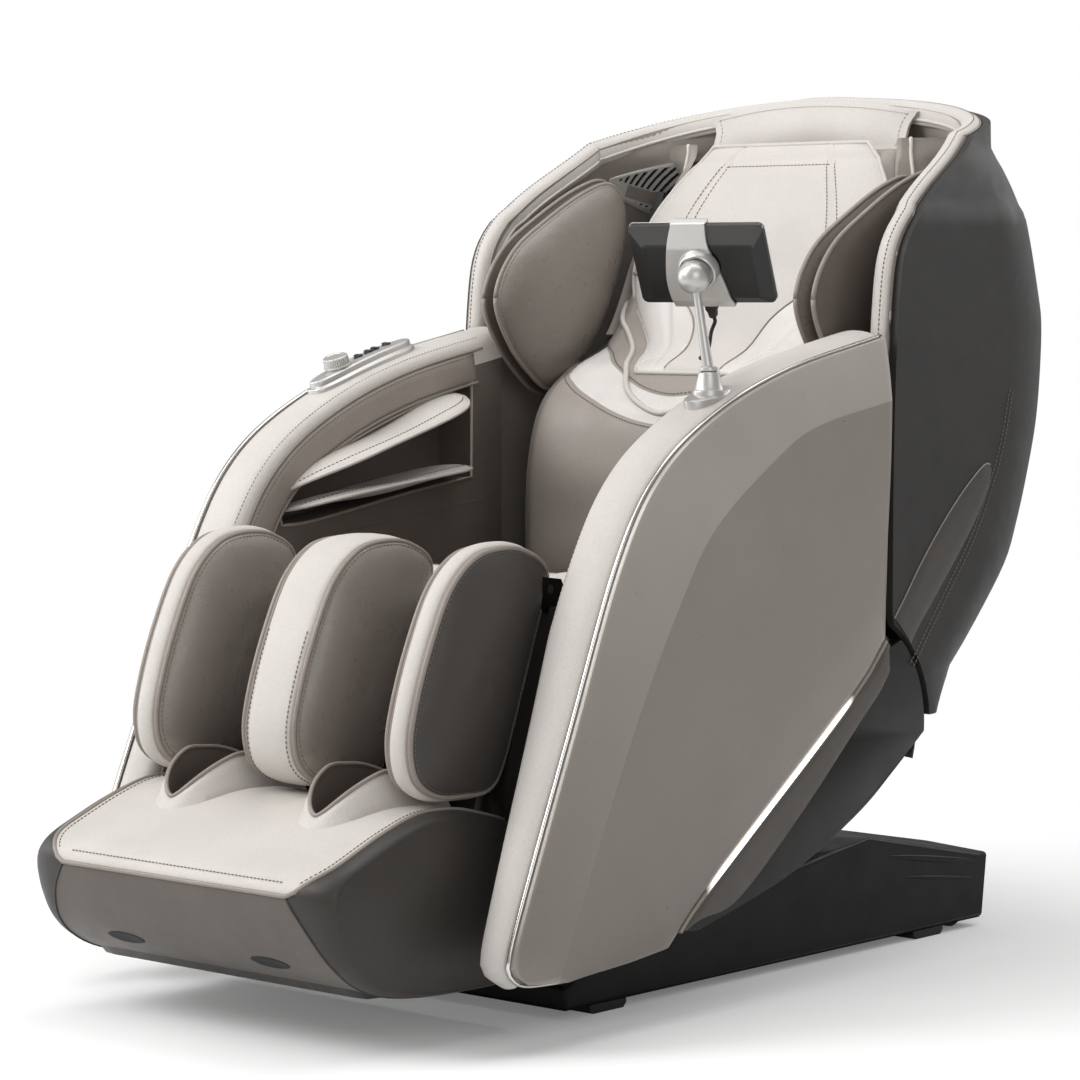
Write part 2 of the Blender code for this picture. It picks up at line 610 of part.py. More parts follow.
def make_seat_cushion():
    """Crowned cushion with a raised front roll, two side bolsters and a middle dip."""
    half = SEAT_HALF - 0.008
    columns = 11
    rows = 11
    front = []
    back = []
    for r in range(rows):
        t = r / (rows - 1)
        y = SEAT_FRONT + (SEAT_REAR - SEAT_FRONT) * t
        row = []
        under = []
        for c in range(columns):
            s = 2 * c / (columns - 1) - 1
            height = SEAT_TOP_FRONT + (SEAT_TOP_REAR - SEAT_TOP_FRONT) * ease(t * 1.15)
            crown = 0.012 * (1 - s ** 4) * math.sin(math.pi * min(max(t, 0.02), 0.98))
            bolster = 0.010 * ease((abs(s) - 0.55) / 0.30) - 0.014 * ease((abs(s) - 0.88) / 0.12)
            groove = -0.006 if abs(abs(s) - 0.6) < 0.05 and 0 < r < rows - 1 else 0.0
            edge = -0.010 if r in (0, rows - 1) else 0.0
            draw = 1 - 0.012 * math.sin(math.pi * t)
            row.append((s * half * draw, y, height + crown + bolster + groove + edge))
            under.append((s * (half - 0.006), y + 0.006 * (1 - 2 * t), SEAT_UNDER))
        front.append(row)
        back.append(under)

    def bulge(rim, width):
        points = []
        for index in rim:
            r, c = divmod(index, width)
            top = Vector(front[r][c])
            low = Vector(back[r][c])
            middle = (top + low) / 2
            middle.x *= 1.010
            middle.y += -0.004 if r == 0 else 0.0
            points.append(middle)
        return points

    return grid_solid("seat_cushion", front, back, LEATHER_TAUPE, bulge)


def arm_run(steps=3):
    return [tuple(p) for p in smooth(ARM_EDGE, steps)]


def side_grid(sign, depth_of_row, rows, columns):
    """Rows of (y, z) points swept into points at a given X for each row."""
    return [[(sign * depth_of_row[r], rows[r][c][0], rows[r][c][1]) for c in range(columns)]
            for r in range(len(rows))]


def panel_edge(columns):
    return resample(arm_run(4) + ARM_TOE[:1], columns)


def make_side_panel(side, sign):
    rear = PANEL_CREASE[0][0]
    lower = [(rear, 0.600), (rear, 0.528)] + [tuple(p) for p in reversed(light_line(0.0))]
    lower += [p for p in reversed(ARM_TOE[2:-1])]
    lower = [Vector(p) for p in lower]
    columns = len(lower)
    edge = panel_edge(columns)
    crease = resample(smooth(PANEL_CREASE, 3), columns)
    middle = [a.lerp(b, 0.5) for a, b in zip(crease, lower)]
    rows = [edge, crease, middle, lower]
    depths = [ARM_HALF - PANEL_FALL, ARM_HALF, ARM_HALF - 0.001, ARM_HALF - LOWER_FALL]
    inner = [PANEL_INNER] * 4
    face = side_grid(sign, depths, rows, columns)
    back = side_grid(sign, inner, rows, columns)
    return grid_solid("side_panel_%s" % side, face, back, PLASTIC_TAUPE, sharp=25)


def arm_inner_x(z):
    """The arm narrows towards its toe, from the inside."""
    return SEAT_HALF + ARM_TAPER * max(TAPER_TOP - z, 0.0)


def make_arm_band(side, sign):
    run = arm_run(3)
    inside = offset_run(run, BAND_DEPTH)
    outer_x = PANEL_INNER - FIT
    rings = []
    for (y, z), (iy, iz) in zip(run, inside):
        out = Vector((y - iy, z - iz)).normalized()
        inner_x = arm_inner_x(z)
        width = outer_x - inner_x
        ring = []
        for share, lift in ((0.0, -BAND_DEPTH), (0.0, -0.010), (0.06, 0.000), (0.20, 0.7 * BAND_CROWN),
                            (0.50, BAND_CROWN), (0.80, 0.7 * BAND_CROWN), (0.95, 0.001), (1.0, -0.006),
                            (1.0, -BAND_DEPTH)):
            ring.append((sign * (inner_x + width * share), y + out.x * lift, z + out.y * lift))
        rings.append(ring)
    return loft("arm_band_%s" % side, rings, LEATHER_LIGHT, 60)


def make_trim(side, sign):
    """Bright strip on the joint between band and panel."""
    run = [tuple(p) for p in panel_edge(len(LIGHT_LINE) * 3 + 2)]
    low = offset_run(run, -FIT)
    high = offset_run(run, -FIT - TRIM_HEIGHT)
    inner = PANEL_INNER + FIT
    outer = inner + TRIM_WIDTH
    rings = []
    for a, b in zip(low, high):
        rings.append([(sign * inner, *a), (sign * outer, *a), (sign * (outer - 0.001), *b),
                      (sign * (inner + 0.001), *b)])
    return loft("trim_strip_%s" % side, rings, CHROME, 60)


def pivot_point(radius, degrees):
    angle = math.radians(degrees)
    return (RECLINE_Y + radius * math.cos(angle), RECLINE_Z + radius * math.sin(angle))


def from_rear(points, limit):
    """A run of (y, z) points that starts at y = limit, with what lies behind it left out."""
    k = 0
    while points[k + 1][0] > limit:
        k += 1
    (y0, z0), (y1, z1) = points[k], points[k + 1]
    share = (y0 - limit) / (y0 - y1)
    return [(limit, z0 + (z1 - z0) * share)] + points[k + 1:]


def arm_core_outline():
    """Arm core: under the band, down to the toe, back along the lower cover and round the pivot."""
    top = from_rear(offset_run(arm_run(3), BAND_DEPTH + FIT), ARM_REAR)
    foot = [(-0.642, 0.100), (-0.592, 0.092), (-0.478, 0.099), (-0.400, 0.107)]
    under = [(y - 0.004, z + 0.008) for y, z in reversed(LOWER_EDGE)]
    radius = SEAM_RADIUS - SEAM_GAP - 0.005
    round_end = [pivot_point(radius, a) for a in (-14, 0, 15, 30, 45, 58)]
    return top + foot + under + round_end + [(ARM_REAR, 0.500)]


ARM_REAR = 0.056


def make_arm_core(side, sign):
    core = prism("arm_core_%s" % side, arm_core_outline(), sign * SEAT_HALF, sign * (PANEL_INNER - FIT),
                 LEATHER_TAUPE)
    wedge = [(SEAT_HALF - 0.05, TAPER_TOP), (SEAT_HALF, TAPER_TOP), (arm_inner_x(0.0), 0.0),
             (SEAT_HALF - 0.05, 0.0)]
    rings = [[(sign * x, y, z) for x, z in wedge] for y in (-0.80, 0.20)]
    cut(core, loft("guide_arm_taper_%s" % side, rings, LEATHER_TAUPE))
    channel = [tuple(p) for p in smooth(CHANNEL_TOP, 2)] + [tuple(p) for p in smooth(CHANNEL_FLOOR, 2)]
    x0, x1 = sorted((sign * (SEAT_HALF - 0.02), sign * (SEAT_HALF + CHANNEL_DEPTH)))
    cut(core, prism("guide_forearm_channel_%s" % side, channel, x0, x1, LEATHER_TAUPE))
    return core


def make_airbag(side, sign, level):
    """Forearm airbag: a thin pad that is sewn into the channel and stands out over the seat."""
    root = sign * (SEAT_HALF + CHANNEL_DEPTH - FIT)
    tip = sign * (SEAT_HALF - AIRBAG_REACH)
    columns = 9
    front = []
    back = []
    if level == "upper":
        line = resample(smooth(offset_run(CHANNEL_TOP, -0.004), 3), columns + 2)[1:-1]
        drops = (0.0, 0.006, 0.014, 0.022)
        way = -1.0
    else:
        line = resample(smooth(offset_run([p for p in reversed(CHANNEL_FLOOR)], 0.002), 3),
                        columns + 2)[1:-1]
        drops = (0.0, 0.000, 0.000, -0.004)
        way = 1.0
    for r, drop in enumerate(drops):
        share = r / (len(drops) - 1)
        x = root + (tip - root) * share
        row = []
        under = []
        for c, point in enumerate(line):
            s = 2 * c / (columns - 1) - 1
            shrink = 1 - 0.10 * share * share
            middle = (line[0] + line[-1]) / 2
            spot = middle + (point - middle) * shrink
            full = AIRBAG_THICK * (0.35 + 0.65 * (1 - s ** 4)) * (1.0 if r < 3 else 0.45)
            base = spot.y - drop
            if way < 0:
                row.append((x, spot.x, base))
                under.append((x, spot.x, base - full))
            else:
                row.append((x, spot.x, base + full))
                under.append((x, spot.x, base))
        front.append(row)
        back.append(under)
    return grid_solid("arm_airbag_%s_%s" % (level, side), front, back, LEATHER_LIGHT)


def light_line(shift):
    return offset_run([tuple(p) for p in smooth(LIGHT_LINE, 3)], shift)


def make_light_strip(side, sign):
    near = light_line(-FIT)
    far = light_line(-LIGHT_WIDTH + FIT)
    inner = sign * (PANEL_INNER + 0.004)
    outer = sign * (ARM_HALF - LOWER_FALL)
    rings = [[(inner, *a), (outer, *a), (outer, *b), (inner, *b)] for a, b in zip(near[1:], far[1:])]
    return loft("light_strip_%s" % side, rings, GLOW, 60)


def hood_corner_radius(z, inset):
    return between(HOOD_CORNER, z) - inset


def hood_front_y(z):
    rise = z - RECLINE_Z
    if rise < SEAM_RADIUS:
        round_y = RECLINE_Y + math.sqrt(max(SEAM_RADIUS ** 2 - rise ** 2, 0.0))
        return max(round_y, between(HOOD_FRONT, z))
    return between(HOOD_FRONT, z)


def hood_plan(t, z, inset, front_shift=0.0):
    """Point of the hood's plan at height z: t is 0 at the front edge and 1 at the rear middle."""
    half = HOOD_HALF - between(HOOD_SIDE, z) - inset
    rear = between(HOOD_REAR, z) - inset
    front = hood_front_y(z) + front_shift
    corner_x = min(between(HOOD_CORNER, z) - inset, half - 0.02)
    corner_y = min(CORNER - inset, rear - front - 0.001)
    if t < 0.35:
        return half, front + (rear - corner_y - front) * t / 0.35
    if t < 0.85:
        angle = (t - 0.35) / 0.5 * math.pi / 2
        return (half - corner_x + corner_x * math.cos(angle),
                rear - corner_y + corner_y * math.sin(angle))
    return (half - corner_x) * (1 - t) / 0.15, rear


def hood_height(t, level, low, high_side, high_middle):
    """Height of a level at t: the top edge climbs from the shoulder to the middle."""
    top = high_side + (high_middle - high_side) * ease((t - 0.35) / 0.65)
    return low + (level - low) * (top - low) / (high_side - low)


PLAN_STEPS = [0.0, 0.18, 0.35, 0.44, 0.53, 0.61, 0.69, 0.77, 0.85, 1.0]


def hood_run(level, low, high_side, high_middle, inset, front_shift):
    half_run = []
    for t in PLAN_STEPS:
        z = hood_height(t, level, low, high_side, high_middle)
        x, y = hood_plan(t, z, inset, front_shift)
        half_run.append((x, y, z))
    mirrored = [(-x, y, z) for x, y, z in reversed(half_run[:-1])]
    return half_run + mirrored


HOOD_LEVELS = [HOOD_BOTTOM, 0.380, 0.415, 0.450, 0.492, 0.560, 0.650, 0.754, 0.869, 0.981, 1.019,
               1.063, 1.105, HOOD_SHOULDER]


def hood_wall(name, levels, inset, thick, front_shift, look, rise=0.0):
    """A wall of even thickness round the hood's plan; rise adds a rim above the top level."""
    rings = []
    for level in levels:
        outer = hood_run(level, HOOD_BOTTOM, HOOD_SHOULDER, HOOD_TOP, inset, front_shift)
        inner = hood_run(level, HOOD_BOTTOM, HOOD_SHOULDER, HOOD_TOP, inset + thick, front_shift)
        rings.append(outer + list(reversed(inner)))
    if rise:
        rings.append([(x, y, z + rise) for x, y, z in rings[-1]])
    return loft(name, rings, look, split=True)


def make_back_shell():
    return hood_wall("back_shell", HOOD_LEVELS, 0.0, SHELL_THICK, RIM_PROUD * 0.5, PLASTIC_DARK)


def make_hood_lining():
    levels = [level for level in HOOD_LEVELS if level >= LINING_BOTTOM]
    return hood_wall("hood_lining", levels, SHELL_THICK + FIT, LINING_THICK, -RIM_PROUD * 0.5,
                     LEATHER_LIGHT, 0.004)


def make_lower_cover():
    """Side plates below the light line, tied by a bowl that nests inside the hood's lower edge."""
    top = light_line(-LIGHT_WIDTH)[1:]
    seam = SEAM_RADIUS - SEAM_GAP
    arc = [pivot_point(seam, a) for a in (50, 42, 34, 26, 18, 10, 2, -5)]
    outline = [tuple(p) for p in top[:-2]] + arc + [tuple(p) for p in LOWER_EDGE]
    inner = PANEL_INNER
    outer = ARM_HALF - LOWER_FALL - 0.002
    cover = prism("lower_cover", outline, inner, outer, PLASTIC_DARK)
    join(cover, prism("guide_lower_plate", outline, -outer, -inner, PLASTIC_DARK))
    rings = []
    inset = SHELL_THICK + 0.006
    wall = 0.006
    for degrees in (1.5, -4, -10, -17, -24):
        ring = []
        for depth in (0.0, wall):
            run = []
            for t in PLAN_STEPS:
                x, y = hood_plan(t, HOOD_BOTTOM, inset + depth, 0.0)
                if t == 0.0:
                    x = inner + 0.001
                    y = SEAM_RADIUS - SEAM_GAP - 0.0005 - depth * 0.6
                run.append((x, *pivot_point(y, degrees)))
            run += [(-x, y, z) for x, y, z in reversed(run[:-1])]
            ring += run if depth == 0.0 else list(reversed(run))
        rings.append(ring)
    join(cover, loft("guide_lower_bowl", rings, PLASTIC_DARK))
    return cover


# ================================================================ back
UPRIGHT_X = 0.262
UPRIGHT_THICK = 0.016
UPRIGHT_LINE = [(0.000, 0.335), (0.070, 0.440), (0.170, 0.540), (0.205, 0.620), (0.262, 0.760),
                (0.330, 0.900), (0.400, 1.070)]


def track_front(z):
    return TRACK_Y + (z - TRACK_Z) * TRACK_SLOPE


def track_outline(front, back, low, high):
    """A bar along the massage track, between two depths from its front face."""
    return [(track_front(low) + front, low), (track_front(high) + front, high),
            (track_front(high) + back, high), (track_front(low) + back, low)]


def make_back_frame():
    line = smooth(UPRIGHT_LINE, 3)
    left = offset_run(line, 0.016)
    right = offset_run(line, -0.016)
    outline = left + list(reversed(right))
    frame = None
    for side, sign in SIDES:
        x0, x1 = sorted((sign * UPRIGHT_X, sign * (UPRIGHT_X + UPRIGHT_THICK)))
        plate = prism("guide_upright" if frame else "back_frame", outline, x0, x1, STEEL)
        if frame:
            join(frame, plate)
        frame = frame or plate
        join(frame, rod("guide_recline_pin_%s" % side, (sign * SEAT_BEAM_X, RECLINE_Y, RECLINE_Z),
                        (sign * (UPRIGHT_X + 0.008), RECLINE_Y, RECLINE_Z), PIN_RADIUS, STEEL, 24))
    for name, z, up in (("low", 0.660, 0.020), ("high", 0.950, 0.020)):
        middle = track_front(z)
        reach = min(inner_side_x(middle + 0.036, z + k * up) for k in (-1, 0, 1)) - 7 * FIT
        join(frame, box("guide_back_cross_%s" % name, (-reach, middle + 0.014, z - up),
                        (reach, middle + 0.036, z + up), STEEL))
        near = between([(q, p) for p, q in UPRIGHT_LINE], z)
        for side, sign in SIDES:
            x0, x1 = sorted((sign * (UPRIGHT_X + 0.002), sign * (UPRIGHT_X + UPRIGHT_THICK - 0.002)))
            join(frame, box("guide_back_tie_%s_%s" % (name, side), (x0, near, z - up + 0.004),
                            (x1, middle + 0.030, z + up - 0.004), STEEL))
    for side, sign in SIDES:
        x0, x1 = sorted((sign * (TRACK_HALF - 0.008), sign * (TRACK_HALF + 0.008)))
        bar = track_outline(0.0, 0.016, TRACK_LOW, TRACK_HIGH)
        join(frame, prism("guide_track_%s" % side, bar, x0, x1, STEEL))
    pad_z = 0.720
    join(frame, box("guide_pad_stay", (-UPRIGHT_X - 0.006, pad_rear(pad_z) + FIT, pad_z - 0.012),
                    (UPRIGHT_X + 0.006, pad_rear(pad_z) + 0.020, pad_z + 0.012), STEEL))
    for side, sign in SIDES:
        x0, x1 = sorted((sign * (UPRIGHT_X + 0.001), sign * (UPRIGHT_X + UPRIGHT_THICK - 0.001)))
        join(frame, box("guide_pad_tie_%s" % side, (x0, pad_rear(pad_z) + 0.002, pad_z - 0.010),
                        (x1, 0.250, pad_z + 0.010), STEEL))
    return frame


def back_front(z):
    """Front face of the back pad against height."""
    return between([(q, p) for p, q in BACK_LINE], z)


def pad_rear(z):
    return max(back_front(z) + BACK_THICK, 0.140)


def make_back_pad():
    """Full back pad: waist roll, groove at the waist band, side bolsters."""
    heights = [0.500, 0.530, 0.580, 0.630, 0.680, 0.745, 0.782, 0.812, 0.850, 0.890, 0.930, 0.980, 1.030,
               1.085, 1.130]
    columns = 11
    front = []
    back = []
    for r, z in enumerate(heights):
        row = []
        under = []
        wide = BACK_HALF + 0.005 * ease((0.80 - z) / 0.2) - 0.060 * ease((z - 0.95) / 0.20)
        for c in range(columns):
            s = 2 * c / (columns - 1) - 1
            crown = 0.010 * (1 - s * s)
            flat = 1 - 0.8 * ease((z - 0.84) / 0.12)
            bolster = 0.012 * flat * ease((abs(s) - 0.5) / 0.3) - 0.026 * ease((abs(s) - 0.82) / 0.18)
            groove = 0.006 if r in (5, 7) and abs(s) < 0.9 else 0.0
            edge = 0.014 if r in (0, len(heights) - 1) else 0.0
            if z > HANG_LOW - 0.02 and abs(s * wide) < between(HANG_SHAPE, z) + HANG_MARGIN:
                crown = 0.0
                bolster = 0.0
            row.append((s * wide, back_front(z) - crown - bolster + groove + edge, z))
            under.append((s * (wide - 0.010), pad_rear(z) + (0.0 if r else 0.004), z))
        front.append(row)
        back.append(under)
    return grid_solid("back_pad", front, back, LEATHER_LIGHT)


def make_back_cushion():
    """Shield-shaped cushion hanging over the massage track, with a sewn panel line near its edge."""
    heights = [HANG_LOW, 0.832, 0.850, 0.890, 0.930, 0.980, 1.030, 1.085, HANG_HIGH]
    rows = len(heights)
    columns = 9
    front = []
    back = []
    for r, z in enumerate(heights):
        t = (z - HANG_LOW) / (HANG_HIGH - HANG_LOW)
        half = between(HANG_SHAPE, z)
        row = []
        under = []
        for c in range(columns):
            s = 2 * c / (columns - 1) - 1
            crown = CUSHION_THICK * (1 - 0.45 * s ** 4) * (1 - 0.45 * (2 * t - 1) ** 4)
            seam = 0.004 if (c in (1, columns - 2) and 0 < r < rows - 1) or r == rows - 2 else 0.0
            rim = 0.006 if c in (0, columns - 1) or r in (0, rows - 1) else 0.0
            lie = back_front(z) - FIT
            row.append((s * half, lie - crown + seam + rim, z))
            under.append((s * (half - 0.004), lie, z))
        front.append(row)
        back.append(under)
    return grid_solid("back_cushion", front, back, LEATHER_LIGHT)


def make_head_flap():
    """Pillow cover that hangs down inside the hood, from under its rim."""
    top_y = between(HOOD_REAR, HOOD_TOP) - SHELL_THICK - FIT * 2 - LINING_THICK
    low_y = between(HOOD_REAR, HOOD_SHOULDER) - SHELL_THICK - FIT * 2 - LINING_THICK - 0.030
    line = [(top_y, 1.205), (top_y - 0.004, 1.185), (top_y - 0.003, 1.160), (low_y, 1.132)]
    rows = len(line)
    columns = 9
    front = []
    back = []
    for r, (y, z) in enumerate(line):
        t = r / (rows - 1)
        half = FLAP_HALF - 0.030 * ease(t)
        row = []
        under = []
        for c in range(columns):
            s = 2 * c / (columns - 1) - 1
            thick = 0.018 * (1 - 0.6 * s ** 4) * (0.6 if r in (0, rows - 1) else 1.0)
            row.append((s * half, y - thick, z + 0.002))
            under.append((s * (half - 0.003), y, z))
        front.append(row)
        back.append(under)
    return grid_solid("head_flap", front, back, LEATHER_LIGHT)


SHOULDER_OUTLINE = [(0.010, 0.930), (0.042, 0.846), (0.120, 0.792), (0.200, 0.800), (0.262, 0.850),
                    (0.310, 0.930), (0.322, 1.040), (0.290, 1.088), (0.220, 1.082), (0.120, 1.040),
                    (0.045, 0.990)]


def make_shoulder_pad(side, sign):
    """Shoulder airbag: a crowned leaf on the hood's inner side, drawn in at its seam."""
    outline = [Vector(p) for p in smooth(SHOULDER_OUTLINE + SHOULDER_OUTLINE[:1], 2)[:-1]]
    centre = sum(outline, Vector((0, 0))) / len(outline)
    root = LINING_HALF - FIT
    thick = 0.052
    reach = SEAT_HALF - 0.014
    rings = []
    for scale, lift in ((0.30, 0.000), (0.80, 0.000), (1.00, 0.006), (1.00, 0.012), (0.92, 0.030),
                        (0.72, 0.044), (0.40, thick)):
        ring = []
        for point in outline:
            spot = centre + (point - centre) * scale
            back_x = reach if spot.x < 0.085 else reach + (root - reach) * ease((spot.x - 0.085) / 0.06)
            back_x = min(back_x, inner_side_x(spot.x, spot.y) - FIT)
            ring.append((sign * (back_x - lift), spot.x, spot.y))
        rings.append(ring)
    return loft("shoulder_pad_%s" % side, rings, LEATHER_DARK, 50)


def inner_side_x(y, z):
    """X of the hood lining's inner face at a depth and height."""
    inset = SHELL_THICK + FIT + LINING_THICK
    half = HOOD_HALF - between(HOOD_SIDE, z) - inset
    rear = between(HOOD_REAR, z) - inset
    corner_x = min(between(HOOD_CORNER, z) - inset, half - 0.02)
    corner_y = CORNER - inset
    start = rear - corner_y
    if y <= start:
        return half
    share = min((y - start) / corner_y, 0.999)
    return half - corner_x + corner_x * math.sqrt(1 - share * share)


def make_grille(side, sign):
    """Slotted speaker cover on the hood's inner corner."""
    near_y = 0.335
    far_y = 0.445
    front = []
    back = []
    columns = 7
    for share in (0.0, 0.5, 1.0):
        row = []
        under = []
        for c in range(columns):
            t = c / (columns - 1)
            z_low = 1.085 - 0.060 * t
            z_high = 1.092 + 0.042 * t
            y = near_y + (far_y - near_y) * t
            z = z_low + (z_high - z_low) * share
            x = inner_side_x(y, z) - 0.0040
            run = Vector((0.7, 0.7)).normalized()
            row.append((sign * (x - 0.006 * run.x), y - 0.006 * run.y, z))
            under.append((sign * x, y, z))
        front.append(row)
        back.append(under)
    return grid_solid("speaker_grille_%s" % side, front, back, SILVER)


# ================================================================ massage unit
UNIT_LOW = 0.640
UNIT_HIGH = 0.700
ROLLER_RADIUS = 0.020
ROLLER_X = 0.060


def make_massage_unit():
    depth = 0.010
    body = prism("massage_carriage", track_outline(-FIT - depth, -FIT, UNIT_LOW, UNIT_HIGH),
                 -TRACK_HALF - 0.020, TRACK_HALF + 0.020, STEEL)
    axle_z = (UNIT_LOW + UNIT_HIGH) / 2
    axle_y = track_front(axle_z) - depth - ROLLER_RADIUS - 0.003
    for side, sign in SIDES:
        for i, x in enumerate((0.018, 0.098)):
            x0, x1 = sorted((sign * x, sign * (x + 0.010)))
            arm = [(axle_y - 0.011, axle_z - 0.011), (axle_y + 0.026, axle_z - 0.016),
                   (axle_y + 0.026, axle_z + 0.016), (axle_y - 0.011, axle_z + 0.011)]
            join(body, prism("guide_roller_arm_%s_%d" % (side, i), arm, x0, x1, STEEL))
    cut(body, rod("guide_roller_eye", (-0.2, axle_y, axle_z), (0.2, axle_y, axle_z),
                  PIN_RADIUS * 0.6 + RUN, STEEL, 24))
    shaft = PIN_RADIUS * 0.6
    inner = 0.030
    outer = 0.096
    profile = [(-0.107, shaft), (-outer, shaft), (-outer + 0.001, ROLLER_RADIUS - 0.004),
               (-0.086, ROLLER_RADIUS), (-0.040, ROLLER_RADIUS), (-inner - 0.001, ROLLER_RADIUS - 0.004),
               (-inner, shaft), (inner, shaft), (inner + 0.001, ROLLER_RADIUS - 0.004),
               (0.040, ROLLER_RADIUS), (0.086, ROLLER_RADIUS), (outer - 0.001, ROLLER_RADIUS - 0.004),
               (outer, shaft), (0.107, shaft)]
    turned("massage_rollers", (0, axle_y, axle_z), (1, 0, 0), profile, RUBBER, 18)
    return axle_y, axle_z


# ================================================================ leg rest
def wall_outline():
    front = [tuple(p) for p in smooth(WALL_FRONT, 2)]
    return front + WALL_REAR


def make_calf_wall(name, x_low, x_high, look, crown_low, crown_high):
    """Padded wall beside a calf: its side faces are crowned and drawn in at the seams."""
    outline = [Vector(p) for p in wall_outline()]
    centre = sum(outline, Vector((0, 0))) / len(outline)
    inner_low = x_low + crown_low
    inner_high = x_high - crown_high
    steps = [(0.45, x_low), (0.78, x_low + 0.3 * crown_low), (0.95, x_low + 0.8 * crown_low),
             (0.985, inner_low), (1.0, inner_low + 0.010), (1.0, inner_high - 0.010),
             (0.985, inner_high), (0.95, x_high - 0.8 * crown_high),
             (0.78, x_high - 0.3 * crown_high), (0.45, x_high)]
    rings = []
    for scale, x in steps:
        rings.append([(x, *(centre + (p - centre) * scale)) for p in outline])
    return loft(name, rings, look, 50)


POCKET_X = SEAT_BEAM_X - 0.004      # pocket in the outer calf walls, round the knee lugs
POCKET_RADIUS = 0.034


def make_calf_walls():
    channel = CALF_HALF - CALF_OUTER
    half_mid = CALF_MIDDLE / 2
    make_calf_wall("calf_wall_middle", -half_mid, half_mid, LEATHER_LIGHT, 0.016, 0.016)
    left = make_calf_wall("calf_wall_left", channel, CALF_HALF, LEATHER_LIGHT, 0.016, 0.014)
    right = make_calf_wall("calf_wall_right", -CALF_HALF, -channel, LEATHER_LIGHT, 0.014, 0.016)
    arc = []
    for degrees in (245, 215, 185, 155, 125, 95):
        angle = math.radians(degrees)
        arc.append((KNEE_Y + POCKET_RADIUS * math.cos(angle), KNEE_Z + POCKET_RADIUS * math.sin(angle)))
    pocket = arc + [(KNEE_Y, 0.70), (KNEE_Y + 0.10, 0.70), (KNEE_Y + 0.10, 0.46), (KNEE_Y - 0.012, 0.46)]
    for wall, sign in ((left, 1.0), (right, -1.0)):
        cut(wall, prism("guide_knee_pocket_%d" % sign, pocket, sign * POCKET_X, sign * 0.30,
                        LEATHER_LIGHT))


CALF_PLATE = 0.010
GUIDE_X = 0.205         # foot unit's slide rods
GUIDE_RADIUS = 0.007
GUIDE_BACK = 0.012      # rod's axis behind the calf plate
GUIDE_BLOCK = 0.060
FOOT_TRAVEL = 0.100
CALF_DOWN = (Vector(WALL_REAR[0]) - Vector(WALL_REAR[1])).normalized()
CALF_BACKWARD = Vector((-CALF_DOWN.y, CALF_DOWN.x))


def calf_point(down, backward):
    """(y, z) of a point at a distance down the calf from the knee end, and behind the walls."""
    return Vector(WALL_REAR[1]) + CALF_DOWN * down + CALF_BACKWARD * backward


PLATE_LENGTH = (Vector(WALL_REAR[0]) - Vector(WALL_REAR[1])).length


def make_calf_frame():
    """Plate behind the calves, with knee ears, pins and the foot unit's guide blocks."""
    plate = [tuple(calf_point(0.004, FIT)), tuple(calf_point(PLATE_LENGTH, FIT)),
             tuple(calf_point(PLATE_LENGTH, FIT + CALF_PLATE)), tuple(calf_point(0.004, FIT + CALF_PLATE))]
    frame = prism("calf_frame", plate, -0.226, 0.226, STEEL)
    block = [tuple(calf_point(PLATE_LENGTH - 0.002 - GUIDE_BLOCK, FIT + CALF_PLATE - 0.002)),
             tuple(calf_point(PLATE_LENGTH - 0.002, FIT + CALF_PLATE - 0.002)),
             tuple(calf_point(PLATE_LENGTH - 0.002, FIT + CALF_PLATE + 2 * GUIDE_BACK)),
             tuple(calf_point(PLATE_LENGTH - 0.002 - GUIDE_BLOCK, FIT + CALF_PLATE + 2 * GUIDE_BACK))]
    for side, sign in SIDES:
        outer = POCKET_X - 0.002
        join(frame, prism("guide_block_%s" % side, block, sign * (GUIDE_X - 0.014), sign * (GUIDE_X + 0.014),
                          STEEL))
        ear = [(KNEE_Y - 0.012, KNEE_Z - 0.014), (KNEE_Y - 0.006, KNEE_Z + 0.015),
               (KNEE_Y + 0.016, KNEE_Z + 0.012), (KNEE_Y + 0.030, KNEE_Z - 0.020),
               tuple(calf_point(0.060, FIT + CALF_PLATE + 0.002)), tuple(calf_point(0.060, FIT + 0.002)),
               tuple(calf_point(0.006, FIT + 0.001))]
        join(frame, prism("guide_knee_ear_%s" % side, ear, sign * (outer - 0.010), sign * outer, STEEL))
        join(frame, rod("guide_knee_pin_%s" % side, (sign * (outer - 0.006), KNEE_Y, KNEE_Z),
                        (sign * (SEAT_BEAM_X + BEAM_WIDE), KNEE_Y, KNEE_Z), KNEE_PIN, STEEL, 24))
        cut(bpy.data.objects["calf_wall_%s" % side],
            prism("guide_ear_slot_%s" % side, grow(ear, 0.002), sign * (outer - 0.0125),
                  sign * (outer + 0.004), LEATHER_LIGHT))
        axis_top = calf_point(-0.010, FIT + CALF_PLATE + GUIDE_BACK)
        axis_low = calf_point(0.40, FIT + CALF_PLATE + GUIDE_BACK)
        cut(frame, rod("guide_bore_%s" % side, (sign * GUIDE_X, *axis_top), (sign * GUIDE_X, *axis_low),
                       GUIDE_RADIUS + RUN, STEEL, 24))
    return frame


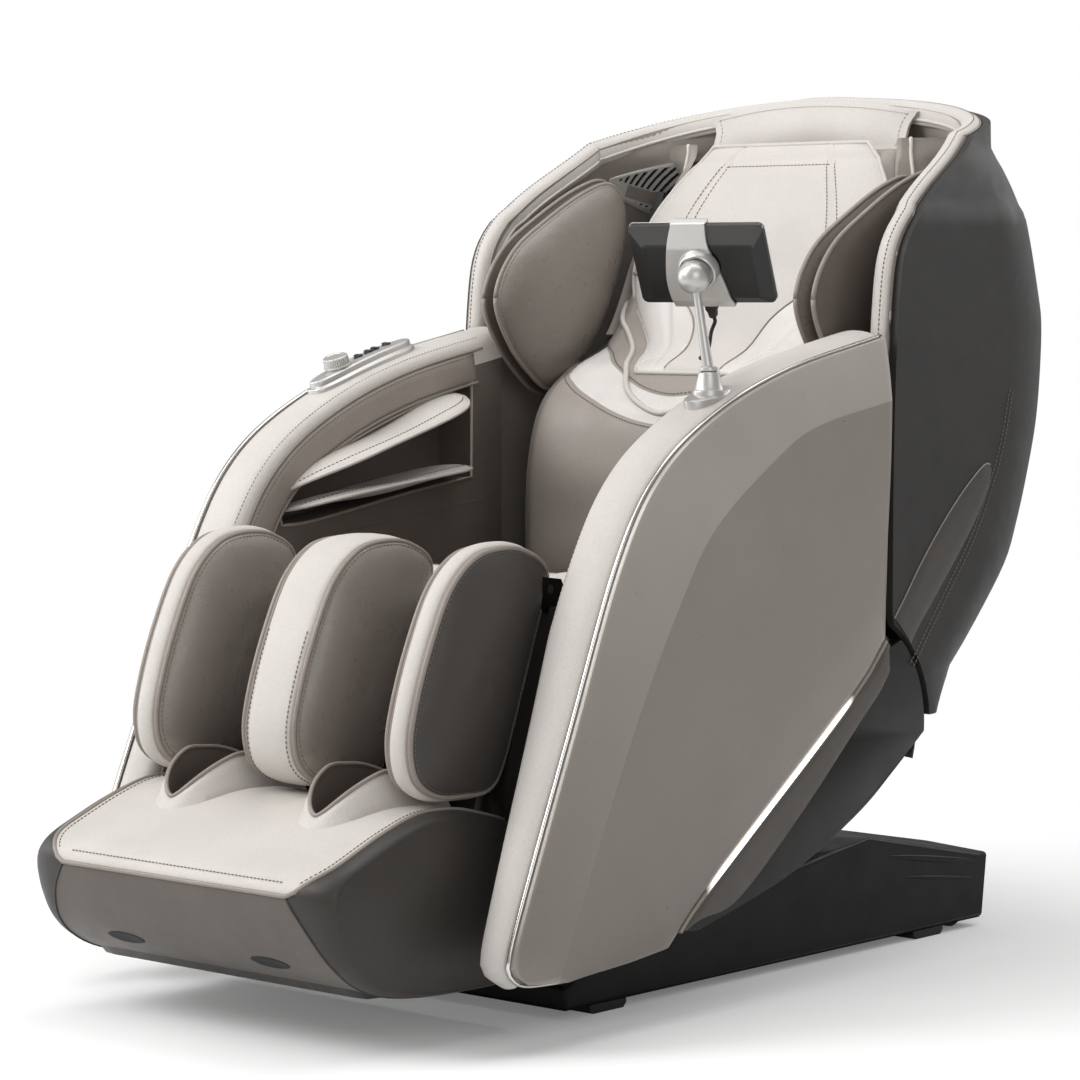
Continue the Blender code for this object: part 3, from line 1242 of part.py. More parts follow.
def grow(outline, distance):
    """Move each corner of a closed (y, z) outline outward along its bisector."""
    area = 0.0
    count = len(outline)
    for i in range(count):
        (y0, z0), (y1, z1) = outline[i], outline[(i + 1) % count]
        area += y0 * z1 - y1 * z0
    turn = 1.0 if area > 0 else -1.0
    grown = []
    for i in range(count):
        here = Vector(outline[i])
        before = (here - Vector(outline[i - 1])).normalized()
        after = (Vector(outline[(i + 1) % count]) - here).normalized()
        out_a = Vector((before.y, -before.x)) * turn
        out_b = Vector((after.y, -after.x)) * turn
        middle = (out_a + out_b).normalized()
        grown.append(tuple(here + middle * distance / max(middle.dot(out_a), 0.4)))
    return grown


# ---------------------------------------------------------------- foot unit
FOOT_REAR = -0.532
FOOT_SKIN = 0.012       # foot cover's wall
SOLE_Z = 0.096
WELL_X = 0.130
WELL_HALF_X = 0.046
WELL_HALF_Y = 0.105
WELL_Y = -0.655
COLLAR_WALL = 0.011
FOOT_TOP = [(-0.886, 0.204), (-0.882, 0.216), (-0.844, 0.238), (-0.770, 0.268), (-0.700, 0.288),
            (-0.640, 0.287), (-0.550, 0.268), (FOOT_REAR, 0.256)]
FOOT_BOTTOM = [(FOOT_REAR - 0.004, 0.052), (-0.575, 0.036), (-0.740, 0.036), (-0.800, 0.056),
               (-0.852, 0.112), (-0.882, 0.180)]
FOOT_SEAM = [(-0.886, 0.204), (-0.850, 0.196), (-0.824, 0.136), (-0.738, 0.093), (-0.602, 0.056),
             (FOOT_REAR - 0.004, 0.052)]
FOOT_CORE = [(-0.862, 0.190), (-0.838, 0.222), (-0.768, 0.252), (-0.700, 0.2725), (-0.640, 0.272),
             (-0.558, 0.254), (FOOT_REAR - FOOT_SKIN, 0.244), (FOOT_REAR - FOOT_SKIN - 0.006, 0.045),
             (-0.740, 0.045), (-0.840, 0.112)]
FOOT_STATIONS = (-1.0, -0.965, -0.90, -0.80, 0.80, 0.90, 0.965, 1.0)


def foot_ring(outline, station, half):
    """The foot unit's side outline, drawn in towards its rounded ends."""
    end = max(abs(station) - 0.80, 0.0) / 0.20
    pull = 1 - math.sqrt(max(1 - end * end, 0.0))
    ring = []
    for y, z in outline:
        front = min(max((-0.62 - y) / 0.26, 0.0), 1.0)
        up = 1.0 if z > 0.15 else 0.0
        ring.append((station * half, y + 0.045 * pull * front, z - 0.016 * pull * up))
    return ring


def well_cut(name, wide, long, low, high):
    """Upright oval cutter round an ankle."""
    sign = -1.0 if name.endswith("right") else 1.0
    rings = []
    for z in (low, high):
        ring = []
        for i in range(24):
            angle = 2 * math.pi * i / 24
            ring.append((sign * WELL_X + wide * math.cos(angle), WELL_Y + long * math.sin(angle), z))
        rings.append(ring)
    return loft(name, rings, PLASTIC_DARK)


def make_foot_case():
    """Dark lower shell with the inner body that holds both foot wells and the slide rods."""
    lower = FOOT_SEAM + FOOT_BOTTOM[1:]
    case = loft("foot_case", [foot_ring(lower, t, FOOT_HALF) for t in FOOT_STATIONS], PLASTIC_DARK,
                split=True)
    join(case, prism("guide_foot_core", FOOT_CORE, -FOOT_HALF + FOOT_SKIN * 2, FOOT_HALF - FOOT_SKIN * 2,
                     PLASTIC_DARK))
    for side, sign in SIDES:
        low = calf_point(0.265, FIT + CALF_PLATE + GUIDE_BACK)
        high = calf_point(PLATE_LENGTH - GUIDE_BLOCK - FOOT_TRAVEL - 0.012, FIT + CALF_PLATE + GUIDE_BACK)
        join(case, rod("guide_slide_rod_%s" % side, (sign * GUIDE_X, *(low + CALF_DOWN * 0.060)),
                       (sign * GUIDE_X, *high), GUIDE_RADIUS, PLASTIC_DARK, 20))
        cut(case, well_cut("guide_well_%s" % side, WELL_HALF_X, WELL_HALF_Y, SOLE_Z, 0.40))
        x0, x1 = sorted((sign * (WELL_X - WELL_HALF_X + 0.001), sign * (WELL_X + WELL_HALF_X - 0.001)))
        cut(case, box("guide_toe_box_%s" % side, (x0, -0.826, SOLE_Z + 0.003), (x1, -0.640, 0.205),
                      PLASTIC_DARK))
        cut(case, box("guide_roller_pocket_%s" % side,
                      (sign * WELL_X - ROLLER_POCKET_X, FOOT_ROLLER_Y - 0.026, FOOT_ROLLER_Z - 0.0245),
                      (sign * WELL_X + ROLLER_POCKET_X, FOOT_ROLLER_Y + 0.026, SOLE_Z + 0.020),
                      PLASTIC_DARK))
        cut(case, rod("guide_roller_bore_%s" % side,
                      (sign * WELL_X - ROLLER_POCKET_X - 0.010, FOOT_ROLLER_Y, FOOT_ROLLER_Z),
                      (sign * WELL_X + ROLLER_POCKET_X + 0.010, FOOT_ROLLER_Y, FOOT_ROLLER_Z),
                      FOOT_SHAFT + RUN, PLASTIC_DARK, 24))
    return case


FOOT_ROLLER_Y = -0.650
FOOT_ROLLER_Z = 0.0815
FOOT_ROLLER_RADIUS = 0.022
ROLLER_POCKET_X = 0.040
FOOT_SHAFT = 0.005


def make_foot_rollers():
    """Knobbed rollers under the soles, on shafts in the case."""
    for side, sign in SIDES:
        reach = ROLLER_POCKET_X + 0.008
        half = ROLLER_POCKET_X - 0.002
        profile = [(-reach, FOOT_SHAFT), (-half, FOOT_SHAFT), (-half + 0.001, 0.015)]
        for k in range(3):
            x = -half + 0.010 + k * (2 * half - 0.020) / 2
            profile.append((x - 0.004, FOOT_ROLLER_RADIUS - 0.006))
            profile.append((x, FOOT_ROLLER_RADIUS))
            profile.append((x + 0.004, FOOT_ROLLER_RADIUS - 0.006))
        profile += [(half - 0.001, 0.015), (half, FOOT_SHAFT), (reach, FOOT_SHAFT)]
        turned("foot_roller_%s" % side, (sign * WELL_X, FOOT_ROLLER_Y, FOOT_ROLLER_Z), (1, 0, 0), profile,
               RUBBER, 14, 60)


def foot_top_z(y):
    return between([(py, pz) for py, pz in FOOT_TOP], y)


def collar_height(angle):
    """Height of an ankle collar's rim over the cover: two soft peaks, low at toe and heel."""
    front = max(-math.sin(angle), 0.0)
    side = abs(math.cos(angle))
    return 0.012 + 0.030 * side + 0.034 * side * front * 1.6


def make_foot_cover():
    """Leather-clad cover over the foot unit, with a padded collar round each ankle."""
    upper = [(y, z + 2 * FIT) for y, z in reversed(FOOT_SEAM[1:])] + FOOT_TOP[1:]
    cover = loft("foot_cover", [foot_ring(upper, t, FOOT_HALF) for t in FOOT_STATIONS], LEATHER_LIGHT,
                 split=True)
    half = FOOT_HALF - FOOT_SKIN * 2 + FIT
    cut(cover, prism("guide_cover_hollow", grow(FOOT_CORE, FIT), -half, half, LEATHER_LIGHT))
    count = 24
    for side, sign in SIDES:
        cut(cover, well_cut("guide_ankle_%s" % side, WELL_HALF_X + 0.004, WELL_HALF_Y + 0.004, 0.10, 0.40))
        low = calf_point(0.40, FIT + CALF_PLATE + GUIDE_BACK)
        high = calf_point(0.0, FIT + CALF_PLATE + GUIDE_BACK)
        cut(cover, rod("guide_rod_slot_%s" % side, (sign * GUIDE_X, *low), (sign * GUIDE_X, *high),
                       GUIDE_RADIUS + RUN, LEATHER_LIGHT, 20))
        rings = []
        for i in range(count):
            angle = 2 * math.pi * i / count
            ring = []
            for grow_by, share, drop in ((0.0, 0.0, -0.006), (0.0, 0.75, 0.0), (0.004, 1.0, 0.0),
                                         (COLLAR_WALL - 0.004, 1.0, 0.0), (COLLAR_WALL, 0.6, 0.0),
                                         (COLLAR_WALL, 0.0, -0.006)):
                x = sign * WELL_X + (WELL_HALF_X + grow_by) * math.cos(angle)
                y = WELL_Y + (WELL_HALF_Y + grow_by) * math.sin(angle)
                base = foot_top_z(y) + drop
                ring.append((x, y, base + collar_height(angle) * share))
            rings.append(ring)
        join(cover, hoop("guide_collar_%s" % side, rings, LEATHER_LIGHT, 60))
    return cover


# ================================================================ actuator
def make_recline_actuator():
    """Motor and spindle tube between the seat frame's cross tubes."""
    motor_y = -0.330 + 0.030 + FIT
    stop_y = -0.120 - 0.014 - 4 * FIT
    body = box("recline_actuator", (-0.030, motor_y, 0.288), (0.030, motor_y + 0.050, 0.348), STEEL)
    join(body, rod("guide_spindle", (0, motor_y + 0.030, 0.302), (0, stop_y, 0.300), 0.014, STEEL, 16))
    return body


# ================================================================ controls
def arm_station(y):
    """Point and outward direction on the band's edge line at a depth, between its rings."""
    run = arm_run(3)
    inside = offset_run(run, BAND_DEPTH)
    for (a, ia), (b, ib) in zip(zip(run, inside), list(zip(run, inside))[1:]):
        if b[0] <= y <= a[0]:
            share = (a[0] - y) / (a[0] - b[0])
            out_a = Vector((a[0] - ia[0], a[1] - ia[1])).normalized()
            out_b = Vector((b[0] - ib[0], b[1] - ib[1])).normalized()
            return Vector(a).lerp(Vector(b), share), out_a.lerp(out_b, share)
    raise ValueError("no station at %r" % y)


BAND_LIFTS = [(0.06, 0.000), (0.20, 0.7 * BAND_CROWN), (0.50, BAND_CROWN), (0.80, 0.7 * BAND_CROWN),
              (0.95, 0.001)]


def band_lift(x):
    """Height of the arm band's crown at a distance from the chair's middle."""
    inner = SEAT_HALF
    width = PANEL_INNER - FIT - inner
    return between(BAND_LIFTS, (abs(x) - inner) / width)


def arm_block(name, sign, stations, widths, height_of, look):
    """A solid seated on the arm band: its underside follows the band's crown."""
    inner = SEAT_HALF
    width = PANEL_INNER - FIT - inner
    breaks = [inner + width * share for share, _ in BAND_LIFTS]
    rings = []
    for y, (low_x, high_x) in zip(stations, widths):
        point, out = arm_station(y)
        xs = [low_x] + [b for b in breaks if low_x + 0.0005 < b < high_x - 0.0005] + [high_x]
        ring = [(sign * x, *(point + out * (band_lift(x) + FIT))) for x in xs]
        high = height_of(y)
        shrink = 0.003
        ring.append((sign * high_x, *(point + out * (band_lift(high_x) + high * 0.55))))
        ring.append((sign * (high_x - shrink), *(point + out * (band_lift(0.5 * (low_x + high_x)) + high))))
        ring.append((sign * (low_x + shrink), *(point + out * (band_lift(0.5 * (low_x + high_x)) + high))))
        ring.append((sign * low_x, *(point + out * (band_lift(low_x) + high * 0.55))))
        rings.append(ring)
    return loft(name, rings, look, 30)


def between_stations(low, high):
    """Depths of the band's rings between two limits, with the limits."""
    inside = [p[0] for p in arm_run(3) if low + 0.004 < p[0] < high - 0.004]
    return [high] + inside + [low]


CONSOLE_MIDDLE = -CONSOLE_X
DIAL_Y = -0.231
BUTTON_YS = (-0.190, -0.170, -0.157, -0.134)
BUTTON_LONG = 0.006
BUTTON_WIDE = 0.014
BUTTON_TALL = 0.0065
BUTTON_TRAVEL = 0.0015
DIAL_STUB = 0.005
DIAL_TALL = 0.018


def console_height(y):
    return CONSOLE_HIGH - 0.004 * ease((abs(y - 0.5 * (CONSOLE_FRONT + CONSOLE_REAR)) - 0.07) / 0.03)


def console_frame(y):
    """Point on the console's top over its middle, with the directions out of it and along it."""
    point, out = arm_station(y)
    out = out.normalized()
    top = point + out * (band_lift(CONSOLE_MIDDLE) + console_height(y))
    return Vector((CONSOLE_X, *top)), Vector((0, *out)), Vector((0, out.y, -out.x))


def make_console():
    stations = between_stations(CONSOLE_FRONT, CONSOLE_REAR)
    low_x = CONSOLE_MIDDLE - CONSOLE_HALF
    high_x = CONSOLE_MIDDLE + CONSOLE_HALF
    widths = [(low_x + 0.004, high_x - 0.004) if i in (0, len(stations) - 1) else (low_x, high_x)
              for i in range(len(stations))]
    console = arm_block("control_panel", -1.0, stations, widths, console_height, SILVER)
    point, out, _ = console_frame(DIAL_Y)
    cut(console, rod("guide_dial_bore", point - out * 0.010, point + out * 0.020, DIAL_STUB + RUN,
                     SILVER, 24))
    for i, y in enumerate(BUTTON_YS):
        cut(console, key_block("guide_button_pocket_%d" % i, y, 0.0004, -BUTTON_TALL + 0.0020, 0.020))
    return console


def key_block(name, y, margin, low, high):
    """A box square to the console's top at a depth."""
    point, out, along = console_frame(y)
    side = Vector((1, 0, 0))
    rings = []
    for lift in (low, high):
        ring = []
        for a, b in ((-1, -1), (1, -1), (1, 1), (-1, 1)):
            ring.append(point + out * lift + side * a * (BUTTON_WIDE / 2 + margin)
                        + along * b * (BUTTON_LONG / 2 + margin))
        rings.append(ring)
    return loft(name, rings, PLASTIC_BLACK)


def make_dial():
    point, out, _ = console_frame(DIAL_Y)
    start = point - out * 0.009
    rise = 0.009 + FIT
    profile = [(0, DIAL_STUB), (rise, DIAL_STUB), (rise + 0.0003, DIAL_RADIUS - 0.001),
               (rise + 0.004, DIAL_RADIUS), (rise + DIAL_TALL - 0.004, DIAL_RADIUS - 0.0015),
               (rise + DIAL_TALL - 0.002, DIAL_RADIUS - 0.003),
               (rise + DIAL_TALL - 0.0025, DIAL_RADIUS - 0.006)]
    return turned("dial_knob", start, out, profile, CHROME, 24)


def make_buttons():
    for i, y in enumerate(BUTTON_YS):
        low = -BUTTON_TALL + 0.0020 + BUTTON_TRAVEL + FIT
        key_block("console_button_%d" % (i + 1), y, 0.0, low, low + BUTTON_TALL)


FLANGE_FRONT = -0.307
FLANGE_REAR = -0.204
FLANGE_HIGH = 0.012
CUP_FOOT = 0.0155
CUP_RADIUS = 0.0195
SOCKET_BORE = 0.010
COLLAR_RADIUS = 0.0135  # collar at the foot of the tablet's post


def make_socket():
    """Oval flange on the arm band with a round cup for the tablet's post."""
    stations = between_stations(FLANGE_FRONT, FLANGE_REAR)
    middle = 0.5 * (FLANGE_FRONT + FLANGE_REAR)
    reach = 0.5 * (FLANGE_REAR - FLANGE_FRONT)
    widths = []
    for y in stations:
        half = 0.008 + 0.008 * math.sqrt(max(1 - ((y - middle) / reach) ** 2, 0.0))
        widths.append((SOCKET_X - half, SOCKET_X + half))
    socket = arm_block("tablet_socket", 1.0, stations, widths, lambda y: FLANGE_HIGH, SILVER)
    point, out = arm_station(SOCKET_Y)
    base = point.y + band_lift(SOCKET_X) + 0.0075
    join(socket, turned("guide_cup", (SOCKET_X, SOCKET_Y, base), (0, 0, 1),
                        [(0, CUP_FOOT), (0.007, CUP_RADIUS), (0.014, CUP_RADIUS),
                         (0.017, CUP_RADIUS - 0.003),
                         (SOCKET_TOP - base - 0.002, CUP_RADIUS - 0.004),
                         (SOCKET_TOP - base, CUP_RADIUS - 0.005)], SILVER, 24))
    cut(socket, rod("guide_post_bore", (SOCKET_X, SOCKET_Y, SOCKET_TOP - 0.026),
                    (SOCKET_X, SOCKET_Y, SOCKET_TOP + 0.05), SOCKET_BORE + RUN, SILVER, 24))
    return socket


def make_post():
    """Post with a collar at its foot, leaning in to the ball that carries the tablet."""
    foot = SOCKET_TOP - 0.025
    post = turned("tablet_post", (SOCKET_X, SOCKET_Y, foot), (0, 0, 1),
                  [(0, SOCKET_BORE), (0.025 + FIT, SOCKET_BORE), (0.025 + FIT + 0.0002, COLLAR_RADIUS),
                   (0.033, COLLAR_RADIUS), (0.036, SOCKET_BORE)], SILVER, 24)
    ball = Vector(BALL)
    path = [Vector((SOCKET_X, SOCKET_Y, SOCKET_TOP + 0.006)),
            Vector((SOCKET_X, SOCKET_Y, SOCKET_TOP + 0.018)),
            Vector((SOCKET_X - 0.001, SOCKET_Y - 0.0005, SOCKET_TOP + 0.026)),
            ball + Vector((0.004, 0.002, -0.030)), ball + Vector((0.0, 0.0, -0.006))]
    rings = []
    for i, spot in enumerate(path):
        axis = path[min(i + 1, len(path) - 1)] - path[max(i - 1, 0)]
        axis.normalize()
        side = axis.cross(Vector((0, 1, 0))).normalized()
        up = axis.cross(side)
        rings.append([spot + side * POST_RADIUS * math.cos(a) + up * POST_RADIUS * math.sin(a)
                      for a in (2 * math.pi * k / 16 for k in range(16))])
    join(post, loft("guide_post_tube", rings, SILVER, 60))
    join(post, ball_solid("guide_ball", ball, BALL_RADIUS, 16, 10))
    return post


def ball_solid(name, centre, radius, around, levels):
    rings = []
    for k in range(1, levels):
        angle = math.pi * k / levels
        rings.append(circle(Vector(centre) - Vector((0, 0, radius * math.cos(angle))),
                            radius * math.sin(angle), (0, 0, 1), around))
    return loft(name, rings, SILVER, 80)


# ---------------------------------------------------------------- tablet
TABLET_BACK = Vector((math.sin(TABLET_AZIMUTH) * math.cos(TABLET_LEAN),
                      -math.cos(TABLET_AZIMUTH) * math.cos(TABLET_LEAN), math.sin(TABLET_LEAN)))
TABLET_SIDE = Vector((math.cos(TABLET_AZIMUTH), math.sin(TABLET_AZIMUTH), 0.0))
TABLET_UP = TABLET_SIDE.cross(TABLET_BACK) * -1.0
PLATE_THICK = 0.004
BALL_OUT = TABLET_THICK / 2 + FIT + PLATE_THICK + RUN + BALL_RADIUS


def tablet_point(u, v, w):
    """u to the tablet's side, v up along its screen, w out of its back."""
    middle = Vector(BALL) - TABLET_BACK * BALL_OUT
    return middle + TABLET_SIDE * u + TABLET_UP * v + TABLET_BACK * w


def rounded(half_u, half_v, radius, steps=3):
    points = []
    for cu, cv, start in ((1, -1, -90), (1, 1, 0), (-1, 1, 90), (-1, -1, 180)):
        for k in range(steps + 1):
            angle = math.radians(start + 90 * k / steps)
            points.append((cu * (half_u - radius) + radius * math.cos(angle),
                           cv * (half_v - radius) + radius * math.sin(angle)))
    return points


def slab(name, levels, look, sharp=35):
    """A rounded plate from (w, half width, half height, corner radius) levels."""
    rings = [[tablet_point(u, v, w) for u, v in rounded(half_u, half_v, radius)]
             for w, half_u, half_v, radius in levels]
    return loft(name, rings, look, sharp)


def make_tablet():
    half = TABLET_THICK / 2
    wide = TABLET_WIDE / 2
    high = TABLET_HIGH / 2
    levels = [(-half, wide - 0.0015, high - 0.0015, 0.007), (-half + 0.0015, wide, high, 0.008),
              (half - 0.006, wide, high, 0.008), (half, wide - 0.010, high - 0.010, 0.006)]
    return slab("tablet_case", levels, PLASTIC_BLACK)


def bracket_ring(w, outline):
    return [tablet_point(u, v, w) for u, v in outline]


BRACKET_TOP = (-0.032, 0.016)       # bracket's sides at the tablet's upper edge
BRACKET_FOOT = (-0.046, 0.036)      # and at its lower edge
BRACKET_LIP = 0.0035
PLUG_U = 0.001          # plug's middle along the tablet's lower edge
PLUG_HALF = 0.008
PLUG_LONG = 0.022


def make_bracket():
    """Tapered plate over the tablet's back that grips both its long edges, with a cup for the ball."""
    edge = TABLET_HIGH / 2 + FIT
    back = TABLET_THICK / 2 + FIT
    front = -back
    outline = [(BRACKET_FOOT[0], -edge - BRACKET_LIP), (BRACKET_FOOT[1], -edge - BRACKET_LIP),
               (BRACKET_TOP[1], edge + BRACKET_LIP), (BRACKET_TOP[0], edge + BRACKET_LIP)]
    plate = loft("tablet_bracket", [bracket_ring(back, outline), bracket_ring(back + PLATE_THICK, outline)],
                 SILVER)
    for name, way, (low_u, high_u), reach in (("foot", -1, BRACKET_FOOT, 0.007),
                                              ("head", 1, BRACKET_TOP, 0.004)):
        low_u += 0.0004
        high_u -= 0.0004
        outer = way * (edge + BRACKET_LIP - 0.0003)
        inner = way * edge
        lip = [(low_u, outer), (high_u, outer), (high_u, inner), (low_u, inner)]
        join(plate, loft("guide_bracket_wrap_%s" % name,
                         [bracket_ring(front - 0.003, lip), bracket_ring(back + PLATE_THICK - 0.001, lip)],
                         SILVER))
        inner = way * (edge - reach)
        outer -= way * 0.0005
        hook = [(low_u + 0.001, outer), (high_u - 0.001, outer), (high_u - 0.001, inner),
                (low_u + 0.001, inner)]
        join(plate, loft("guide_bracket_hook_%s" % name,
                         [bracket_ring(front - 0.0028, hook), bracket_ring(front, hook)], SILVER))
    room = PLUG_HALF + 0.002
    notch = [(PLUG_U - room, -edge - 0.020), (PLUG_U + room, -edge - 0.020), (PLUG_U + room, -edge + 0.012),
             (PLUG_U - room, -edge + 0.012)]
    cut(plate, loft("guide_plug_notch",
                    [bracket_ring(front - 0.010, notch), bracket_ring(back - 0.0001, notch)], SILVER))
    cup = [(back + PLATE_THICK - 0.002, 0.027), (back + PLATE_THICK + 0.006, 0.026),
           (back + PLATE_THICK + 0.014, 0.0245)]
    rings = [circle(tablet_point(0, 0, w), radius, TABLET_BACK, 24) for w, radius in cup]
    join(plate, loft("guide_cup_ring", rings, SILVER))
    cut(plate, ball_solid("guide_ball_seat", Vector(BALL), BALL_RADIUS + RUN, 24, 14))
    return plate


CABLE_SIDE = Vector((-0.9, 0.436, 0.0))     # from the post's collar towards the cable's end
CABLE_FALL = [(-0.041, 0.056, 0.033), (-0.036, 0.046, 0.017), (-0.029, 0.032, 0.006)]


def make_plug_and_cable():
    """Plug in the tablet's lower edge, and its cable hanging in a curve to the post's collar."""
    low = -TABLET_HIGH / 2 - FIT
    foot = low - PLUG_LONG
    outline = [(PLUG_U - 0.0045, foot), (PLUG_U + 0.0045, foot), (PLUG_U + 0.006, low - 0.013),
               (PLUG_U + PLUG_HALF, low - 0.009), (PLUG_U + PLUG_HALF, low), (PLUG_U - PLUG_HALF, low),
               (PLUG_U - PLUG_HALF, low - 0.009), (PLUG_U - 0.006, low - 0.013)]
    loft("tablet_plug", [bracket_ring(-0.005, outline), bracket_ring(0.005, outline)], PLASTIC_BLACK)
    start = tablet_point(PLUG_U, foot - 3 * FIT, 0.0)
    collar = Vector((SOCKET_X, SOCKET_Y, SOCKET_TOP + 0.004))
    side = CABLE_SIDE.normalized()
    end = collar + side * (COLLAR_RADIUS + 2 * FIT)
    route = [start, start - TABLET_UP * 0.007] + [collar + Vector(p) for p in CABLE_FALL]
    route += [end + side * 0.011, end + side * 0.005, end]
    points = smooth(route, 3)
    curve = bpy.data.curves.new("tablet_cable", "CURVE")
    curve.dimensions = "3D"
    spline = curve.splines.new("POLY")
    spline.points.add(len(points) - 1)
    for slot, point in zip(spline.points, points):
        slot.co = (*point, 1.0)
    curve.bevel_depth = CABLE_DIAMETER / 2
    curve.bevel_resolution = 2
    curve.use_fill_caps = True
    curve.materials.append(PLASTIC_BLACK)
    cable = bpy.data.objects.new("tablet_cable", curve)
    bpy.context.scene.collection.objects.link(cable)


def make_all():
    clear_scene()
    make_base_cover()
    make_base_frame()
    make_wheels()
    make_skids()
    make_power_unit()
    make_carriage()
    make_seat_frame()
    make_seat_cushion()
    for side, sign in SIDES:
        make_side_panel(side, sign)
        make_arm_band(side, sign)
        make_trim(side, sign)
        make_arm_core(side, sign)
        make_airbag(side, sign, "upper")
        make_airbag(side, sign, "lower")
        make_light_strip(side, sign)
        make_shoulder_pad(side, sign)
        make_grille(side, sign)
    make_lower_cover()
    make_back_shell()
    make_hood_lining()
    make_back_frame()
    make_back_pad()
    make_back_cushion()
    make_head_flap()
    make_massage_unit()
    make_calf_walls()
    make_calf_frame()
    make_foot_case()
    make_foot_cover()
    make_foot_rollers()
    make_recline_actuator()
    make_power_switch()
    make_console()
    make_dial()
    make_buttons()
    make_socket()
    make_post()
    make_tablet()
    make_bracket()
    make_plug_and_cable()


make_all()
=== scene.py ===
import math

import bmesh
import bpy
import numpy as np
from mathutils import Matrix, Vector


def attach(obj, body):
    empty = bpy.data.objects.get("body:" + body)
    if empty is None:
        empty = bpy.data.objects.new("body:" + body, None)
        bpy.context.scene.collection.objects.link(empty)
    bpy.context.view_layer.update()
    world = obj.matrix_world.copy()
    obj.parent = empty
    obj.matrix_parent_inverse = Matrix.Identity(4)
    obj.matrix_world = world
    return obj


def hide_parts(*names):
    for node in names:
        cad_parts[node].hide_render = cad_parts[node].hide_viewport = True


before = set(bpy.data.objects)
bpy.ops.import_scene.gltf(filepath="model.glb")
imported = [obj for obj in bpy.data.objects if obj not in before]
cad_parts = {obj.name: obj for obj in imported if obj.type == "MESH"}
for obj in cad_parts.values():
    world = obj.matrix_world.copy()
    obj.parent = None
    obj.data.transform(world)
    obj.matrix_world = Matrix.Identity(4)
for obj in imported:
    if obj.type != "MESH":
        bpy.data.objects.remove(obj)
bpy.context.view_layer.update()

# ================================================================ sizes shared with the solids, in metres
FIT = 0.0003            # between pieces that touch
ARM_HALF = 0.402        # half width of the chair over the side panels' crease
PANEL_DEPTH = 0.024     # side panel, inner face to crease
PANEL_FALL = 0.012      # how far the panel's front edge falls back from the crease
PANEL_INNER = ARM_HALF - PANEL_DEPTH
SEAT_HALF = 0.300       # half width between the arms
BAND_DEPTH = 0.034      # leather band over the arm
LIGHT_WIDTH = 0.006     # light strip between side panel and lower cover
LOWER_FALL = 0.006      # lower cover's face behind the crease
CHANNEL_DEPTH = 0.064   # forearm channel, cut into the arm's core
ARM_TAPER = 0.085       # slope of the arm's inner face below TAPER_TOP
TAPER_TOP = 0.500
# side outlines as (y, z) pairs
ARM_EDGE = [(0.062, 0.864), (-0.148, 0.821), (-0.302, 0.765), (-0.413, 0.692), (-0.488, 0.584),
            (-0.576, 0.383), (-0.669, 0.167), (-0.686, 0.118)]
ARM_TOE = [(-0.684, 0.103), (-0.660, 0.088), (-0.592, 0.083), (-0.478, 0.090), (-0.400, 0.098)]
PANEL_CREASE = [(0.062, 0.779), (-0.103, 0.749), (-0.193, 0.708), (-0.314, 0.627), (-0.382, 0.540),
                (-0.464, 0.404), (-0.544, 0.244), (-0.618, 0.086)]
LIGHT_LINE = [(-0.400, 0.098), (-0.313, 0.172), (-0.020, 0.381), (0.061, 0.456)]
LOWER_EDGE = [(0.093, 0.281), (0.013, 0.230), (-0.108, 0.174), (-0.215, 0.141), (-0.339, 0.112)]
CHANNEL_TOP = [(-0.405, 0.628), (-0.340, 0.678), (-0.240, 0.722), (-0.139, 0.757), (-0.010, 0.795)]
CHANNEL_FLOOR = [(-0.010, 0.655), (-0.150, 0.636), (-0.330, 0.607), (-0.398, 0.602)]
RECLINE_Z = 0.335       # height of the back's hinge
SEAM_RADIUS = 0.1575    # round seam between lower cover and rear shell
SEAM_GAP = 0.0020
SHELL_THICK = 0.012
LINING_THICK = 0.030
HOOD_FALL = 0.007       # hood's flank behind the side panels' crease
HOOD_HALF = ARM_HALF - HOOD_FALL
HOOD_BOTTOM = 0.345
HOOD_SHOULDER = 1.142
HOOD_TOP = 1.205
LINING_BOTTOM = 0.492
CORNER = 0.220          # depth of the hood's rounded rear corners
# hood tables: value by height z
HOOD_FRONT = [(0.492, 0.070), (0.700, 0.070), (0.869, 0.076), (0.927, 0.082), (0.981, 0.090),
              (1.019, 0.114), (1.063, 0.172), (1.105, 0.242), (1.142, 0.315), (1.205, 0.360)]
HOOD_REAR = [(0.345, 0.283), (0.380, 0.335), (0.415, 0.378), (0.475, 0.437), (0.542, 0.496),
             (0.600, 0.524), (0.669, 0.549), (0.754, 0.572), (0.869, 0.582), (0.927, 0.572),
             (1.012, 0.548), (1.080, 0.522), (1.142, 0.494), (1.180, 0.478), (1.205, 0.462)]
HOOD_SIDE = [(0.345, 0.000), (0.981, 0.000), (1.019, 0.003), (1.063, 0.010), (1.105, 0.020),
             (1.142, 0.034), (1.205, 0.060)]
HOOD_CORNER = [(0.345, 0.300), (0.475, 0.220), (1.012, 0.220), (1.142, 0.280), (1.205, 0.280)]
BACK_HALF = 0.255
BACK_THICK = 0.045
BACK_LINE = [(0.048, 0.500), (0.046, 0.580), (0.050, 0.680), (0.075, 0.760), (0.140, 0.812),
             (0.222, 0.850), (0.272, 0.930), (0.312, 1.030), (0.362, 1.130)]
SHOULDER_OUTLINE = [(0.012, 0.915), (0.040, 0.850), (0.085, 0.804), (0.132, 0.778), (0.186, 0.802),
                    (0.244, 0.866), (0.292, 0.960), (0.306, 1.045), (0.276, 1.086), (0.215, 1.074),
                    (0.128, 1.032), (0.050, 0.982)]
FOOT_HALF = 0.270
